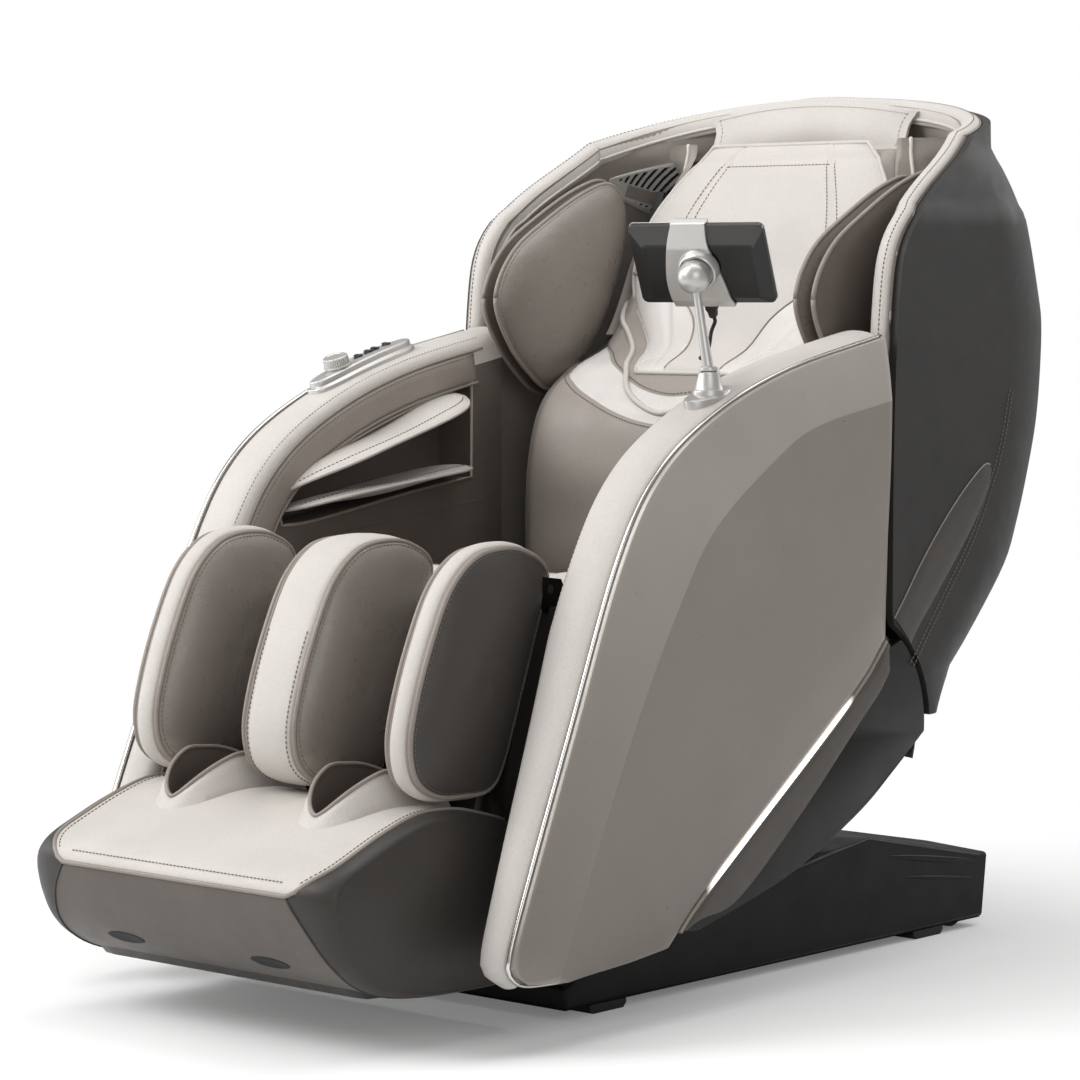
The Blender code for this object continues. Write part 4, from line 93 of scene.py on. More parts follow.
FOOT_TOP = [(-0.886, 0.204), (-0.882, 0.216), (-0.844, 0.238), (-0.770, 0.268), (-0.700, 0.288),
            (-0.640, 0.287), (-0.550, 0.268), (-0.532, 0.256)]
FOOT_BOTTOM = [(-0.536, 0.052), (-0.575, 0.036), (-0.740, 0.036), (-0.800, 0.056),
               (-0.852, 0.112), (-0.882, 0.180)]
FOOT_SEAM = [(-0.886, 0.204), (-0.850, 0.196), (-0.824, 0.136), (-0.738, 0.093), (-0.602, 0.056),
             (-0.536, 0.052)]
WELL_X = 0.130          # middle of a foot well
WELL_Y = -0.655
WELL_HALF_X = 0.046
WELL_HALF_Y = 0.105
SIDES = (("right", -1.0), ("left", 1.0))


# ================================================================ runs and tables
def curve(a, b, c, d, steps):
    """Points of a smooth curve from b up to c, whose neighbours are a and d."""
    return [0.5 * (2 * b + (c - a) * t + (2 * a - 5 * b + 4 * c - d) * t * t + (3 * b - a - 3 * c + d) * t ** 3)
            for t in (s / steps for s in range(steps))]


def smooth(points, steps=4):
    """A smooth run through points."""
    ends = [Vector(p) for p in points]
    ends = [ends[0] * 2 - ends[1]] + ends + [ends[-1] * 2 - ends[-2]]
    run = []
    for i in range(1, len(ends) - 2):
        run += curve(*ends[i - 1:i + 3], steps)
    return run + [ends[-2]]


def smooth_loop(points, steps=4):
    """A smooth closed run through points."""
    ends = [Vector(p) for p in points]
    run = []
    for i in range(len(ends)):
        run += curve(ends[i - 1], ends[i], ends[(i + 1) % len(ends)], ends[(i + 2) % len(ends)], steps)
    return run


def soft(points, steps=4):
    """The smooth run as plain tuples."""
    return [tuple(p) for p in smooth(points, steps)]


def between(table, key):
    """Value of a table at a key, in a straight line between its rows."""
    if key <= table[0][0]:
        return table[0][1]
    for (k0, v0), (k1, v1) in zip(table, table[1:]):
        if key <= k1:
            return v0 + (v1 - v0) * (key - k0) / (k1 - k0)
    return table[-1][1]


def ease(t):
    t = min(max(t, 0.0), 1.0)
    return t * t * (3 - 2 * t)


def bump_at(value, place, width):
    return math.exp(-((value - place) / width) ** 2)


def offset_run(points, distance):
    """A run moved to its left by a distance."""
    moved = []
    for i, point in enumerate(points):
        ahead = points[min(i + 1, len(points) - 1)]
        behind = points[max(i - 1, 0)]
        along = (Vector(ahead) - Vector(behind)).normalized()
        moved.append((point[0] - along[1] * distance, point[1] + along[0] * distance))
    return moved


def resample(points, count, closed=False):
    """A run again, as a number of evenly spaced points."""
    points = [Vector(p) for p in points]
    if closed:
        points = points + points[:1]
    lengths = [0.0]
    for a, b in zip(points, points[1:]):
        lengths.append(lengths[-1] + (b - a).length)
    total = count if closed else count - 1
    out = []
    i = 0
    for k in range(count):
        want = lengths[-1] * k / total
        while i < len(points) - 2 and lengths[i + 1] < want:
            i += 1
        span = max(lengths[i + 1] - lengths[i], 1e-9)
        out.append(points[i].lerp(points[i + 1], min((want - lengths[i]) / span, 1.0)))
    return out


def run_length(points):
    return sum((Vector(b) - Vector(a)).length for a, b in zip(points, points[1:]))


def eased_table(table, step=0.006, spread=7):
    """A table with its corners rounded by a running mean."""
    low, high = table[0][0], table[-1][0]
    keys = [low + step * k for k in range(int((high - low) / step) + 1)] + [high]
    rounded = []
    for key in keys:
        reach = min(spread * step, key - low, high - key)
        spots = [key + reach * k / spread for k in range(-spread, spread + 1)]
        rounded.append((key, sum(between(table, spot) for spot in spots) / len(spots)))
    return rounded


FRONT_SOFT = eased_table(soft(HOOD_FRONT, 5))
REAR_SOFT = soft(HOOD_REAR, 5)
SIDE_SOFT = soft(HOOD_SIDE, 5)
CORNER_SOFT = soft(HOOD_CORNER, 5)
BACK_SOFT = [(z, y) for y, z in smooth(BACK_LINE, 6)]


def hood_front_y(z):
    """Depth of the hood's front edge: round the seam at the bottom, then the table."""
    rise = z - RECLINE_Z
    if rise < SEAM_RADIUS:
        round_y = math.sqrt(max(SEAM_RADIUS ** 2 - rise ** 2, 0.0))
        return max(round_y, between(HOOD_FRONT, z))
    return between(FRONT_SOFT, z)


def hood_plan(t, z, inset, front_shift=0.0):
    """Point of the hood's plan at height z: t is 0 at the front edge and 1 at the rear middle."""
    half = HOOD_HALF - between(SIDE_SOFT, z) - inset
    rear = between(REAR_SOFT, z) - inset
    front = hood_front_y(z) + front_shift
    corner_x = min(between(CORNER_SOFT, z) - inset, half - 0.02)
    corner_y = min(CORNER - inset, rear - front - 0.001)
    if t < 0.35:
        return half, front + (rear - corner_y - front) * t / 0.35
    if t < 0.85:
        angle = (t - 0.35) / 0.5 * math.pi / 2
        return (half - corner_x + corner_x * math.cos(angle),
                rear - corner_y + corner_y * math.sin(angle))
    return (half - corner_x) * (1 - t) / 0.15, rear


def hood_point(u, level, inset, front_shift=0.0):
    """u runs from -1 at the sitter's right front edge over the rear to 1 at the left one."""
    t = 1 - abs(u)
    over = min(max((t - 0.35) / 0.65, 0.0), 1.0)
    top = HOOD_SHOULDER + (HOOD_TOP - HOOD_SHOULDER) * (1 - (1 - over) ** 2.2)
    z = HOOD_BOTTOM + (level - HOOD_BOTTOM) * (top - HOOD_BOTTOM) / (HOOD_SHOULDER - HOOD_BOTTOM)
    x, y = hood_plan(t, z, inset, front_shift)
    return Vector((math.copysign(x, u) if u else 0.0, y, z))


def back_front(z):
    return between(BACK_SOFT, z)


def arm_inner_x(z):
    return SEAT_HALF + ARM_TAPER * max(TAPER_TOP - z, 0.0)


ARM_RUN = [tuple(p) for p in resample(smooth(ARM_EDGE + ARM_TOE[:2], 12), 94)]
ARM_LAST = 90           # point of the run where the arm's toe starts
ARM_IN = offset_run(ARM_RUN, 1.0)


def arm_point(k, depth):
    """Point at a depth under the arm's edge; k is a fractional index along ARM_RUN."""
    i = min(int(k), len(ARM_RUN) - 2)
    f = k - i
    y = ARM_RUN[i][0] * (1 - f) + ARM_RUN[i + 1][0] * f
    z = ARM_RUN[i][1] * (1 - f) + ARM_RUN[i + 1][1] * f
    oy = (ARM_IN[i][0] - ARM_RUN[i][0]) * (1 - f) + (ARM_IN[i + 1][0] - ARM_RUN[i + 1][0]) * f
    oz = (ARM_IN[i][1] - ARM_RUN[i][1]) * (1 - f) + (ARM_IN[i + 1][1] - ARM_RUN[i + 1][1]) * f
    return y + oy * depth, z + oz * depth


def arm_index(y):
    """Fractional index along ARM_RUN at a depth y."""
    for i in range(len(ARM_RUN) - 1):
        if ARM_RUN[i + 1][0] <= y <= ARM_RUN[i][0]:
            return i + (ARM_RUN[i][0] - y) / (ARM_RUN[i][0] - ARM_RUN[i + 1][0])
    return 0.0 if y > ARM_RUN[0][0] else len(ARM_RUN) - 1.0


# crown of the arm band: lift by share of its width
BAND_LIFTS = [(0.0, -0.010), (0.015, -0.0045), (0.06, 0.000), (0.12, 0.0042), (0.20, 0.0063), (0.35, 0.0083),
              (0.50, 0.0090), (0.65, 0.0083), (0.80, 0.0063), (0.90, 0.0030), (0.95, 0.001),
              (0.985, -0.003), (1.0, -0.008)]


# ================================================================ node helpers
def lin(r, g, b):
    return tuple(c / 12.92 if c <= 0.04045 else ((c + 0.055) / 1.055) ** 2.4 for c in (r, g, b)) + (1.0,)


class Look:
    """A material under construction, with short calls for its nodes."""

    def __init__(self, name, rough, metallic=0.0):
        self.material = bpy.data.materials.new(name)
        self.material.use_nodes = True
        self.tree = self.material.node_tree
        self.shader = self.tree.nodes["Principled BSDF"]
        self.shader.inputs["Roughness"].default_value = rough
        self.shader.inputs["Metallic"].default_value = metallic
        self.coord = self.node("ShaderNodeTexCoord").outputs["Object"]
        self.height = None

    def node(self, kind, **values):
        """A new node; an underscore in a value's name stands for a space in the socket's."""
        made = self.tree.nodes.new(kind)
        for name, value in values.items():
            made.inputs[name.replace("_", " ")].default_value = value
        return made

    def link(self, a, b):
        self.tree.links.new(a, b)

    def noise(self, scale, detail=3.0, rough=0.5, stretch=None):
        made = self.node("ShaderNodeTexNoise", Scale=scale, Detail=detail, Roughness=rough)
        source = self.coord
        if stretch:
            mapping = self.node("ShaderNodeMapping", Scale=stretch)
            self.link(self.coord, mapping.inputs["Vector"])
            source = mapping.outputs["Vector"]
        self.link(source, made.inputs["Vector"])
        return made.outputs["Fac"]

    def cell_edges(self, scale):
        made = self.node("ShaderNodeTexVoronoi")
        made.feature = "DISTANCE_TO_EDGE"
        made.inputs["Scale"].default_value = scale
        self.link(self.coord, made.inputs["Vector"])
        return made.outputs["Distance"]

    def place(self):
        """Outputs X, Y and Z of the object's coordinates."""
        made = self.node("ShaderNodeSeparateXYZ")
        self.link(self.coord, made.inputs[0])
        return made.outputs

    def range(self, value, low, high, to_low, to_high):
        made = self.node("ShaderNodeMapRange", From_Min=low, From_Max=high, To_Min=to_low, To_Max=to_high)
        self.link(value, made.inputs["Value"])
        return made.outputs["Result"]

    def product(self, a, b):
        made = self.node("ShaderNodeMath")
        made.operation = "MULTIPLY"
        self.link(a, made.inputs[0])
        if isinstance(b, float):
            made.inputs[1].default_value = b
        else:
            self.link(b, made.inputs[1])
        return made.outputs[0]

    def blend(self, factor, a, b):
        made = self.node("ShaderNodeMix")
        made.data_type = "RGBA"
        for value, slot in ((factor, 0), (a, 6), (b, 7)):
            if isinstance(value, (float, tuple)):
                made.inputs[slot].default_value = value
            else:
                self.link(value, made.inputs[slot])
        return made.outputs[2]

    def mottle(self, scale, detail, rough, low, high):
        """Noise spread over the full range from 0 to 1."""
        return self.range(self.noise(scale, detail, rough), low, high, 0.0, 1.0)

    def edges(self, low, high):
        made = self.node("ShaderNodeNewGeometry")
        return self.range(made.outputs["Pointiness"], low, high, 0.0, 1.0)

    def colour(self, value):
        self.link(value, self.shader.inputs["Base Color"])

    def roughness(self, value):
        self.link(value, self.shader.inputs["Roughness"])

    def bump(self, value, strength, distance):
        made = self.node("ShaderNodeBump", Strength=strength, Distance=distance)
        self.link(value, made.inputs["Height"])
        if self.height is not None:
            self.link(self.height, made.inputs["Normal"])
        self.height = made.outputs["Normal"]
        self.link(self.height, self.shader.inputs["Normal"])


def leather(name, tone, deep, worn, rough=0.48, grain=520, fold=0.0016, spec=0.5):
    """Coated leather: fine cell grain, soft folds, cloudy tone and paler rubbed edges."""
    look = Look(name, rough)
    cloud = look.mottle(7.0, 4.0, 0.6, 0.35, 0.68)
    base = look.blend(cloud, lin(*deep), lin(*tone))
    crease = look.range(look.cell_edges(grain), 0.0, 0.12, 0.0, 1.0)
    tinted = look.blend(crease, lin(*[c * 0.93 for c in deep]), base)
    look.colour(look.blend(look.range(look.edges(0.56, 0.80), 0.0, 1.0, 0.0, 0.05), tinted, lin(*worn)))
    patch = look.noise(26.0, 3.0, 0.55)
    look.roughness(look.range(patch, 0.3, 0.7, rough - 0.06, rough + 0.08))
    look.bump(look.noise(34.0, 4.0, 0.55), 0.35, fold)
    look.bump(crease, 0.28, 0.00035)
    look.bump(look.noise(1500.0, 2.0), 0.12, 0.0002)
    look.shader.inputs["Sheen Weight"].default_value = 0.06
    look.shader.inputs["Sheen Roughness"].default_value = 0.45
    look.shader.inputs["Specular IOR Level"].default_value = spec
    return look.material


def moulded(name, tone, deep, rough=0.38, metallic=0.0, coat=0.0, grain=900.0, wear=0.0, spec=0.5, rise=None):
    """Moulded or painted part: even tone with faint mottling, fine texture and rubbed edges.

    rise gives two heights and the darker tone below the first, from which the colour climbs to its own; this is
    painted shade that darkens the part towards the bottom."""
    look = Look(name, rough, metallic)
    cloud = look.mottle(5.0, 4.0, 0.6, 0.35, 0.66)
    base = look.blend(cloud, lin(*deep), lin(*tone))
    # painted shade: below the first height the colour darkens towards the given tone
    if rise:
        base = look.blend(look.range(look.place()["Z"], rise[0], rise[1], 0.0, 1.0), lin(*rise[2]), base)
    fleck = look.mottle(grain, 2.0, 0.5, 0.35, 0.65)
    base = look.blend(look.range(fleck, 0.0, 1.0, 0.0, 0.10), base, lin(*[min(c * 1.25 + 0.03, 1.0) for c in tone]))
    if wear:
        rubbed = look.range(look.edges(0.53, 0.62), 0.0, 1.0, 0.0, wear)
        base = look.blend(rubbed, base, lin(*[min(c * 1.2 + 0.06, 1.0) for c in tone]))
    look.colour(base)
    smear = look.noise(18.0, 4.0, 0.6)
    vary = 0.03 if metallic > 0.5 else 0.07
    look.roughness(look.range(smear, 0.3, 0.7, max(rough - vary, 0.03), rough + vary))
    if metallic < 0.5:
        look.bump(look.noise(grain * 0.5, 2.0), 0.10, 0.00012)
    look.shader.inputs["Specular IOR Level"].default_value = spec
    look.shader.inputs["Coat Weight"].default_value = coat
    look.shader.inputs["Coat Roughness"].default_value = 0.18
    return look.material


def thread_look(name, tone):
    """Twisted sewing thread."""
    look = Look(name, 0.62)
    twist = look.noise(1400.0, 2.0, 0.5, (1.0, 1.0, 0.4))
    look.colour(look.blend(look.range(twist, 0.35, 0.65, 0.0, 1.0), lin(*[c * 0.86 for c in tone]), lin(*tone)))
    look.bump(twist, 0.3, 0.0003)
    return look.material


LIGHT = leather("light_leather", (0.830, 0.810, 0.788), (0.800, 0.779, 0.757), (0.89, 0.87, 0.85), 0.50)
TAUPE = leather("taupe_leather", (0.610, 0.575, 0.545), (0.570, 0.535, 0.505), (0.69, 0.65, 0.62), 0.44)
BACK_TONE = leather("back_leather", (0.635, 0.603, 0.575), (0.595, 0.563, 0.535), (0.71, 0.68, 0.65), 0.42)
SEAT_TONE = leather("seat_leather", (0.545, 0.510, 0.478), (0.500, 0.465, 0.433), (0.62, 0.58, 0.55), 0.42)
DEEP = leather("deep_leather", (0.400, 0.365, 0.338), (0.352, 0.320, 0.296), (0.47, 0.43, 0.40), 0.34, spec=0.7)
PAD = leather("pad_leather", (0.545, 0.512, 0.482), (0.505, 0.472, 0.443), (0.62, 0.59, 0.56), 0.30, spec=0.8)
# painted shade: a darker copy of the pad leather for the outer calf pads, which face the arms and get little light
PAD_SHADED = leather("dark_pad_leather", (0.285, 0.266, 0.252), (0.250, 0.233, 0.221), (0.37, 0.35, 0.33), 0.36,
                   spec=0.4)
PEARL = leather("pearl_leather", (0.890, 0.875, 0.858), (0.850, 0.833, 0.815), (0.95, 0.94, 0.92), 0.22, 1100,
                0.0005, 1.0)
PIPING = leather("piping_leather", (0.600, 0.562, 0.530), (0.550, 0.512, 0.480), (0.70, 0.66, 0.63), 0.34, 900,
                 0.0006, 0.7)
PIPING_LIGHT = leather("pale_piping_leather", (0.830, 0.808, 0.785), (0.790, 0.768, 0.745), (0.90, 0.88, 0.86), 0.34,
                       900, 0.0006, 0.7)
THREAD_LIGHT = thread_look("pale_thread", (0.84, 0.82, 0.80))
THREAD_DARK = thread_look("dark_thread", (0.46, 0.43, 0.40))
SHELL_LOOK = leather("shell_leather", (0.196, 0.187, 0.181), (0.170, 0.162, 0.157), (0.25, 0.24, 0.23), 0.50, 700,
                     0.0005, 0.35)
STRIP_LOOK = leather("strip_leather", (0.290, 0.270, 0.255), (0.250, 0.232, 0.220), (0.37, 0.35, 0.33), 0.40, 380,
                     0.0004)
# side panel paint, darkened towards the bottom by painted shade (rise)
PANEL_LOOK = moulded("panel_paint", (0.570, 0.540, 0.510), (0.555, 0.525, 0.496), 0.34, 0.25, 0.35, 1600.0, wear=0.35,
                     rise=(0.12, 0.62, (0.455, 0.425, 0.398)))
# painted highlight: a paler, lit copy of the panel paint for the front facet, with the same painted shade low down
FACET_HIGHLIGHT_LOOK = moulded("facet_paint_highlight", (0.668, 0.645, 0.618), (0.655, 0.632, 0.605), 0.34, 0.25, 0.35, 1600.0, wear=0.35,
                     rise=(0.14, 0.66, (0.470, 0.442, 0.415)))
COVER_LOOK = moulded("lower_gloss", (0.105, 0.098, 0.092), (0.088, 0.082, 0.078), 0.36, 0.1, 0.08, wear=0.1, spec=0.3)
BAND_LOOK = leather("lower_band_leather", (0.330, 0.305, 0.287), (0.292, 0.270, 0.254), (0.40, 0.37, 0.35), 0.42, 300,
                    0.0003)
SATIN = moulded("black_satin", (0.020, 0.020, 0.020), (0.014, 0.014, 0.014), 0.42, spec=0.22)
# painted shade: dark tone for the sheet in the recess between the calf walls
SHADE = moulded("shade_cloth", (0.150, 0.138, 0.128), (0.120, 0.110, 0.102), 0.80, spec=0.2)
CASE_LOOK = leather("foot_leather", (0.390, 0.358, 0.331), (0.348, 0.319, 0.295), (0.46, 0.43, 0.40), 0.38, spec=0.5)
SIDE_LOOK = leather("dark_foot_leather", (0.225, 0.207, 0.193), (0.195, 0.179, 0.167), (0.30, 0.28, 0.26), 0.38,
                    spec=0.4)
SILVER = moulded("satin_silver", (0.800, 0.792, 0.780), (0.770, 0.762, 0.750), 0.36, 0.70, 0.10, 1400.0)
GRILLE_LOOK = moulded("grille_silver", (0.800, 0.790, 0.775), (0.770, 0.760, 0.745), 0.40, 0.20, 0.0, 1400.0)
# painted highlight: a paler copy of the tablet's black for the top bevel, where light from above falls
BEVEL_HIGHLIGHT_LOOK = moulded("tablet_bevel_highlight", (0.250, 0.245, 0.240), (0.220, 0.215, 0.210), 0.36, 0.0, 0.1, 1800.0)
CHROME = moulded("bright_trim", (0.900, 0.890, 0.875), (0.870, 0.860, 0.845), 0.14, 1.0, 0.0, 1400.0)
SCREEN = moulded("tablet_black", (0.058, 0.057, 0.056), (0.044, 0.043, 0.042), 0.34, 0.0, 0.1, 1800.0)
GLASS = moulded("screen_glass", (0.030, 0.030, 0.032), (0.024, 0.024, 0.026), 0.10, 0.0, 0.8, 2400.0)
RUBBER = moulded("rubber", (0.060, 0.058, 0.056), (0.046, 0.044, 0.042), 0.55, 0.0, 0.0, 700.0)


def glow_look():
    """Light guide: lit between two depths, grey where it runs on unlit."""
    look = Look("light_guide", 0.30)
    lit = look.blend(look.mottle(60.0, 2.0, 0.5, 0.3, 0.7), lin(0.95, 0.94, 0.92), lin(0.98, 0.98, 0.97))
    depth = look.place()["Y"]
    both = look.product(look.range(depth, -0.325, -0.285, 0.0, 1.0), look.range(depth, -0.045, -0.012, 1.0, 0.0))
    look.colour(look.blend(both, lin(0.52, 0.49, 0.46), lit))
    look.link(look.range(both, 0.0, 1.0, 0.0, 3.2), look.shader.inputs["Emission Strength"])
    look.shader.inputs["Emission Color"].default_value = lin(1.0, 0.985, 0.96)
    return look.material


GLOW = glow_look()


# ================================================================ mesh helpers
def piece(name, verts, faces, look, body, replaces=(), sharp=None, pad=None, looks=None, pick=None):
    """A new mesh object on a body. With several looks, pick chooses one by a face's centre."""
    mesh = bpy.data.meshes.new(name)
    mesh.from_pydata([tuple(v) for v in verts], [], faces)
    shape = bmesh.new()
    shape.from_mesh(mesh)
    bmesh.ops.remove_doubles(shape, verts=shape.verts, dist=0.00001)
    bmesh.ops.recalc_face_normals(shape, faces=shape.faces)
    if pick:
        for face in shape.faces:
            face.material_index = pick(face.calc_center_median())
    shape.to_mesh(mesh)
    shape.free()
    mesh.shade_smooth()
    if sharp:
        mesh.set_sharp_from_angle(angle=math.radians(sharp))
    item = bpy.data.objects.new(name, mesh)
    for each in (looks or [look]):
        mesh.materials.append(each)
    bpy.context.scene.collection.objects.link(item)
    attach(item, body)
    if replaces:
        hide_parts(*replaces)
    return item


def rings_mesh(rings, closed=False):
    """Skin over rings of equal length, with an end face on the first and the last unless it closes."""
    size = len(rings[0])
    verts = [p for ring in rings for p in ring]
    faces = []
    count = len(rings) if closed else len(rings) - 1
    for k in range(count):
        a = k * size
        b = ((k + 1) % len(rings)) * size
        for i in range(size):
            j = (i + 1) % size
            faces.append((a + i, a + j, b + j, b + i))
    if not closed:
        faces.append(tuple(range(size)))
        faces.append(tuple(a + size * (len(rings) - 1) for a in reversed(range(size))))
    return verts, faces


def loft(name, rings, look, body, closed=False, **more):
    verts, faces = rings_mesh(rings, closed)
    return piece(name, verts, faces, look, body, **more)


def slab_mesh(front, back):
    """Two grids of points as the faces of a sheet, joined round their rim."""
    rows = len(front)
    columns = len(front[0])
    count = rows * columns
    verts = [p for row in front for p in row] + [p for row in back for p in row]
    faces = []
    for r in range(rows - 1):
        for c in range(columns - 1):
            a = r * columns + c
            faces.append((a, a + 1, a + columns + 1, a + columns))
            faces.append((count + a, count + a + columns, count + a + columns + 1, count + a + 1))
    rim = list(range(columns))
    rim += [r * columns + columns - 1 for r in range(1, rows)]
    rim += [(rows - 1) * columns + c for c in range(columns - 2, -1, -1)]
    rim += [r * columns for r in range(rows - 2, 0, -1)]
    for i, a in enumerate(rim):
        b = rim[(i + 1) % len(rim)]
        faces.append((a, b, count + b, count + a))
    return verts, faces


def slab(name, front, back, look, body, **more):
    verts, faces = slab_mesh(front, back)
    return piece(name, verts, faces, look, body, **more)


def sheet(rows, columns, spots):
    """Front and back grids of points; spots gives the two points of a row and a column."""
    grid = [[spots(r, c) for c in range(columns)] for r in range(rows)]
    return [[pair[0] for pair in row] for row in grid], [[pair[1] for pair in row] for row in grid]


def tube_rings(path, radius, sides=8):
    """Rings of a round tube along a path; the radius may be a function of the share of its length."""
    path = [Vector(p) for p in path]
    rings = []
    axis = (path[1] - path[0]).normalized()
    side = axis.orthogonal().normalized()
    for i, spot in enumerate(path):
        ahead = path[min(i + 1, len(path) - 1)]
        behind = path[max(i - 1, 0)]
        axis = (ahead - behind).normalized()
        side = (side - axis * side.dot(axis)).normalized()
        up = axis.cross(side)
        r = radius(i / (len(path) - 1)) if callable(radius) else radius
        rings.append([spot + (side * math.cos(a) + up * math.sin(a)) * r
                      for a in (2 * math.pi * k / sides for k in range(sides))])
    return rings


def tubes(name, paths, radius, look, body, sides=8, closed=False, **more):
    """One piece of piping along one or more paths, with rounded ends."""
    verts = []
    faces = []
    for path in paths:
        path = [Vector(p) for p in path]
        if closed:
            path = path + path[:1]
        rings = tube_rings(path, radius, sides)
        if not closed:
            first = [path[0] + (p - path[0]) * 0.5 - (path[1] - path[0]).normalized() * radius * 0.5
                     for p in rings[0]]
            last = [path[-1] + (p - path[-1]) * 0.5 + (path[-1] - path[-2]).normalized() * radius * 0.5
                    for p in rings[-1]]
            rings = [first] + rings + [last]
        v, f = rings_mesh(rings)
        base = len(verts)
        verts += v
        faces += [tuple(i + base for i in face) for face in f]
    return piece(name, verts, faces, look, body, **more)


STITCH_PITCH = 0.0064
STITCH_LONG = 0.0044
STITCH_SIDES = 5


def stitches(name, paths, look, body, radius, **more):
    """Rows of short thread stitches along paths that lie on a surface."""
    verts = []
    faces = []
    for path in paths:
        count = max(int(run_length(path) / STITCH_PITCH), 2)
        spots = resample(path, count * 4 + 1)
        for k in range(count):
            a = spots[4 * k]
            axis = spots[4 * k + 3] - a
            if axis.length < 1e-6:
                continue
            axis.normalize()
            b = a + axis * STITCH_LONG
            side = axis.orthogonal().normalized()
            up = axis.cross(side)
            angles = [2 * math.pi * q / STITCH_SIDES for q in range(STITCH_SIDES)]
            rings = [[a.lerp(b, share) + (side * math.cos(angle) + up * math.sin(angle)) * radius * r
                      for angle in angles] for share, r in ((0.0, 0.35), (0.22, 1.0), (0.78, 1.0), (1.0, 0.35))]
            v, f = rings_mesh(rings)
            base = len(verts)
            verts += v
            faces += [tuple(i + base for i in face) for face in f]
    return piece(name, verts, faces, look, body, **more)


def pillow_rings(outline, centre, out, crown, under, rings=16, power=3.0, soft=0.55):
    """Rings of a pillow over a closed 3-D outline: the face swells out, the back stays shallow."""
    made = []
    for k in range(rings + 1):
        s = math.sin(math.pi / 2 * (0.03 + 0.97 * k / rings))
        lift = crown * (1 - s ** power) ** soft
        made.append([centre + (p - centre) * s + out * lift for p in outline])
    for k in range(rings // 2, -1, -1):
        s = math.sin(math.pi / 2 * (0.03 + 0.96 * k / (rings // 2)))
        made.append([centre + (p - centre) * s - out * under * (1 - s ** 6) for p in outline])
    return made


def puff(item, pressure, cap, frames, pinned):
    """Swell a closed skin with the cloth solver, cap how far it moves, and keep the result."""
    scene = bpy.context.scene
    bpy.context.view_layer.objects.active = item
    mesh = item.data
    before = np.empty(len(mesh.vertices) * 3)
    mesh.vertices.foreach_get("co", before)
    before = before.reshape(-1, 3).copy()
    cloth = item.modifiers.new("swell", "CLOTH")
    cloth.settings.quality = 5
    cloth.settings.mass = 0.2
    cloth.settings.tension_stiffness = 12
    cloth.settings.compression_stiffness = 12
    cloth.settings.shear_stiffness = 6
    cloth.settings.bending_stiffness = 0.4
    cloth.settings.use_pressure = True
    cloth.settings.uniform_pressure_force = pressure
    cloth.settings.effector_weights.gravity = 0.0
    cloth.collision_settings.use_collision = False
    cloth.collision_settings.use_self_collision = False
    group = item.vertex_groups.new(name="held")
    group.add([i for i in range(len(before)) if pinned(Vector(before[i]))], 1.0, "REPLACE")
    cloth.settings.vertex_group_mass = "held"
    cloth.point_cache.frame_start = 1
    cloth.point_cache.frame_end = frames
    for frame_number in range(1, frames + 1):
        scene.frame_set(frame_number)
    depsgraph = bpy.context.evaluated_depsgraph_get()
    shaped = item.evaluated_get(depsgraph)
    result = np.empty(len(mesh.vertices) * 3)
    shaped.data.vertices.foreach_get("co", result)
    result = result.reshape(-1, 3)
    step = result - before
    far = np.linalg.norm(step, axis=1)
    share = np.minimum(1.0, cap / np.maximum(far, 1e-9))
    final = before + step * share[:, None]
    item.modifiers.remove(cloth)
    item.vertex_groups.clear()
    mesh.vertices.foreach_set("co", final.reshape(-1))
    mesh.update()
    scene.frame_set(1)


def copy_of(node, name, look, body):
    """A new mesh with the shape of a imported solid, to be worked on without touching the solid."""
    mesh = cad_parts[node].data.copy()
    mesh.name = name
    mesh.materials.clear()
    mesh.materials.append(look)
    item = bpy.data.objects.new(name, mesh)
    bpy.context.scene.collection.objects.link(item)
    shape = bmesh.new()
    shape.from_mesh(mesh)
    bmesh.ops.remove_doubles(shape, verts=shape.verts, dist=0.00002)
    bmesh.ops.recalc_face_normals(shape, faces=shape.faces)
    shape.to_mesh(mesh)
    shape.free()
    mesh.shade_smooth()
    mesh.set_sharp_from_angle(angle=math.radians(35))
    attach(item, body)
    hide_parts(node)
    return item


def recolour(node, look):
    """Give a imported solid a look."""
    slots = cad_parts[node].data.materials
    slots.clear()
    slots.append(look)


def round_edges(item, width, angle):
    """Round the edges of an object that are sharper than an angle."""
    step = item.modifiers.new("round", "BEVEL")
    step.width = width
    step.segments = 3
    step.limit_method = "ANGLE"
    step.angle_limit = math.radians(angle)


# ================================================================ camera and stage
camera = bpy.data.cameras.new("view")
camera.lens = 120.507
camera.sensor_width = 36.0
camera.sensor_fit = "AUTO"
camera.clip_end = 60.0
eye = bpy.data.objects.new("view", camera)
eye.location = (3.26253, -3.89518, 0.93317)
eye.rotation_euler = (math.radians(85.973), 0.0, math.radians(41.427))
bpy.context.scene.collection.objects.link(eye)
bpy.context.scene.camera = eye
bpy.context.scene.view_settings.view_transform = "Standard"


def area(name, place, aim, size, power):
    """Square studio lamp, turned to a point."""
    lamp = bpy.data.lights.new(name, "AREA")
    lamp.energy = power
    lamp.size = size
    item = bpy.data.objects.new(name, lamp)
    item.location = place
    item.rotation_euler = (Vector(aim) - Vector(place)).to_track_quat("-Z", "Y").to_euler()
    bpy.context.scene.collection.objects.link(item)


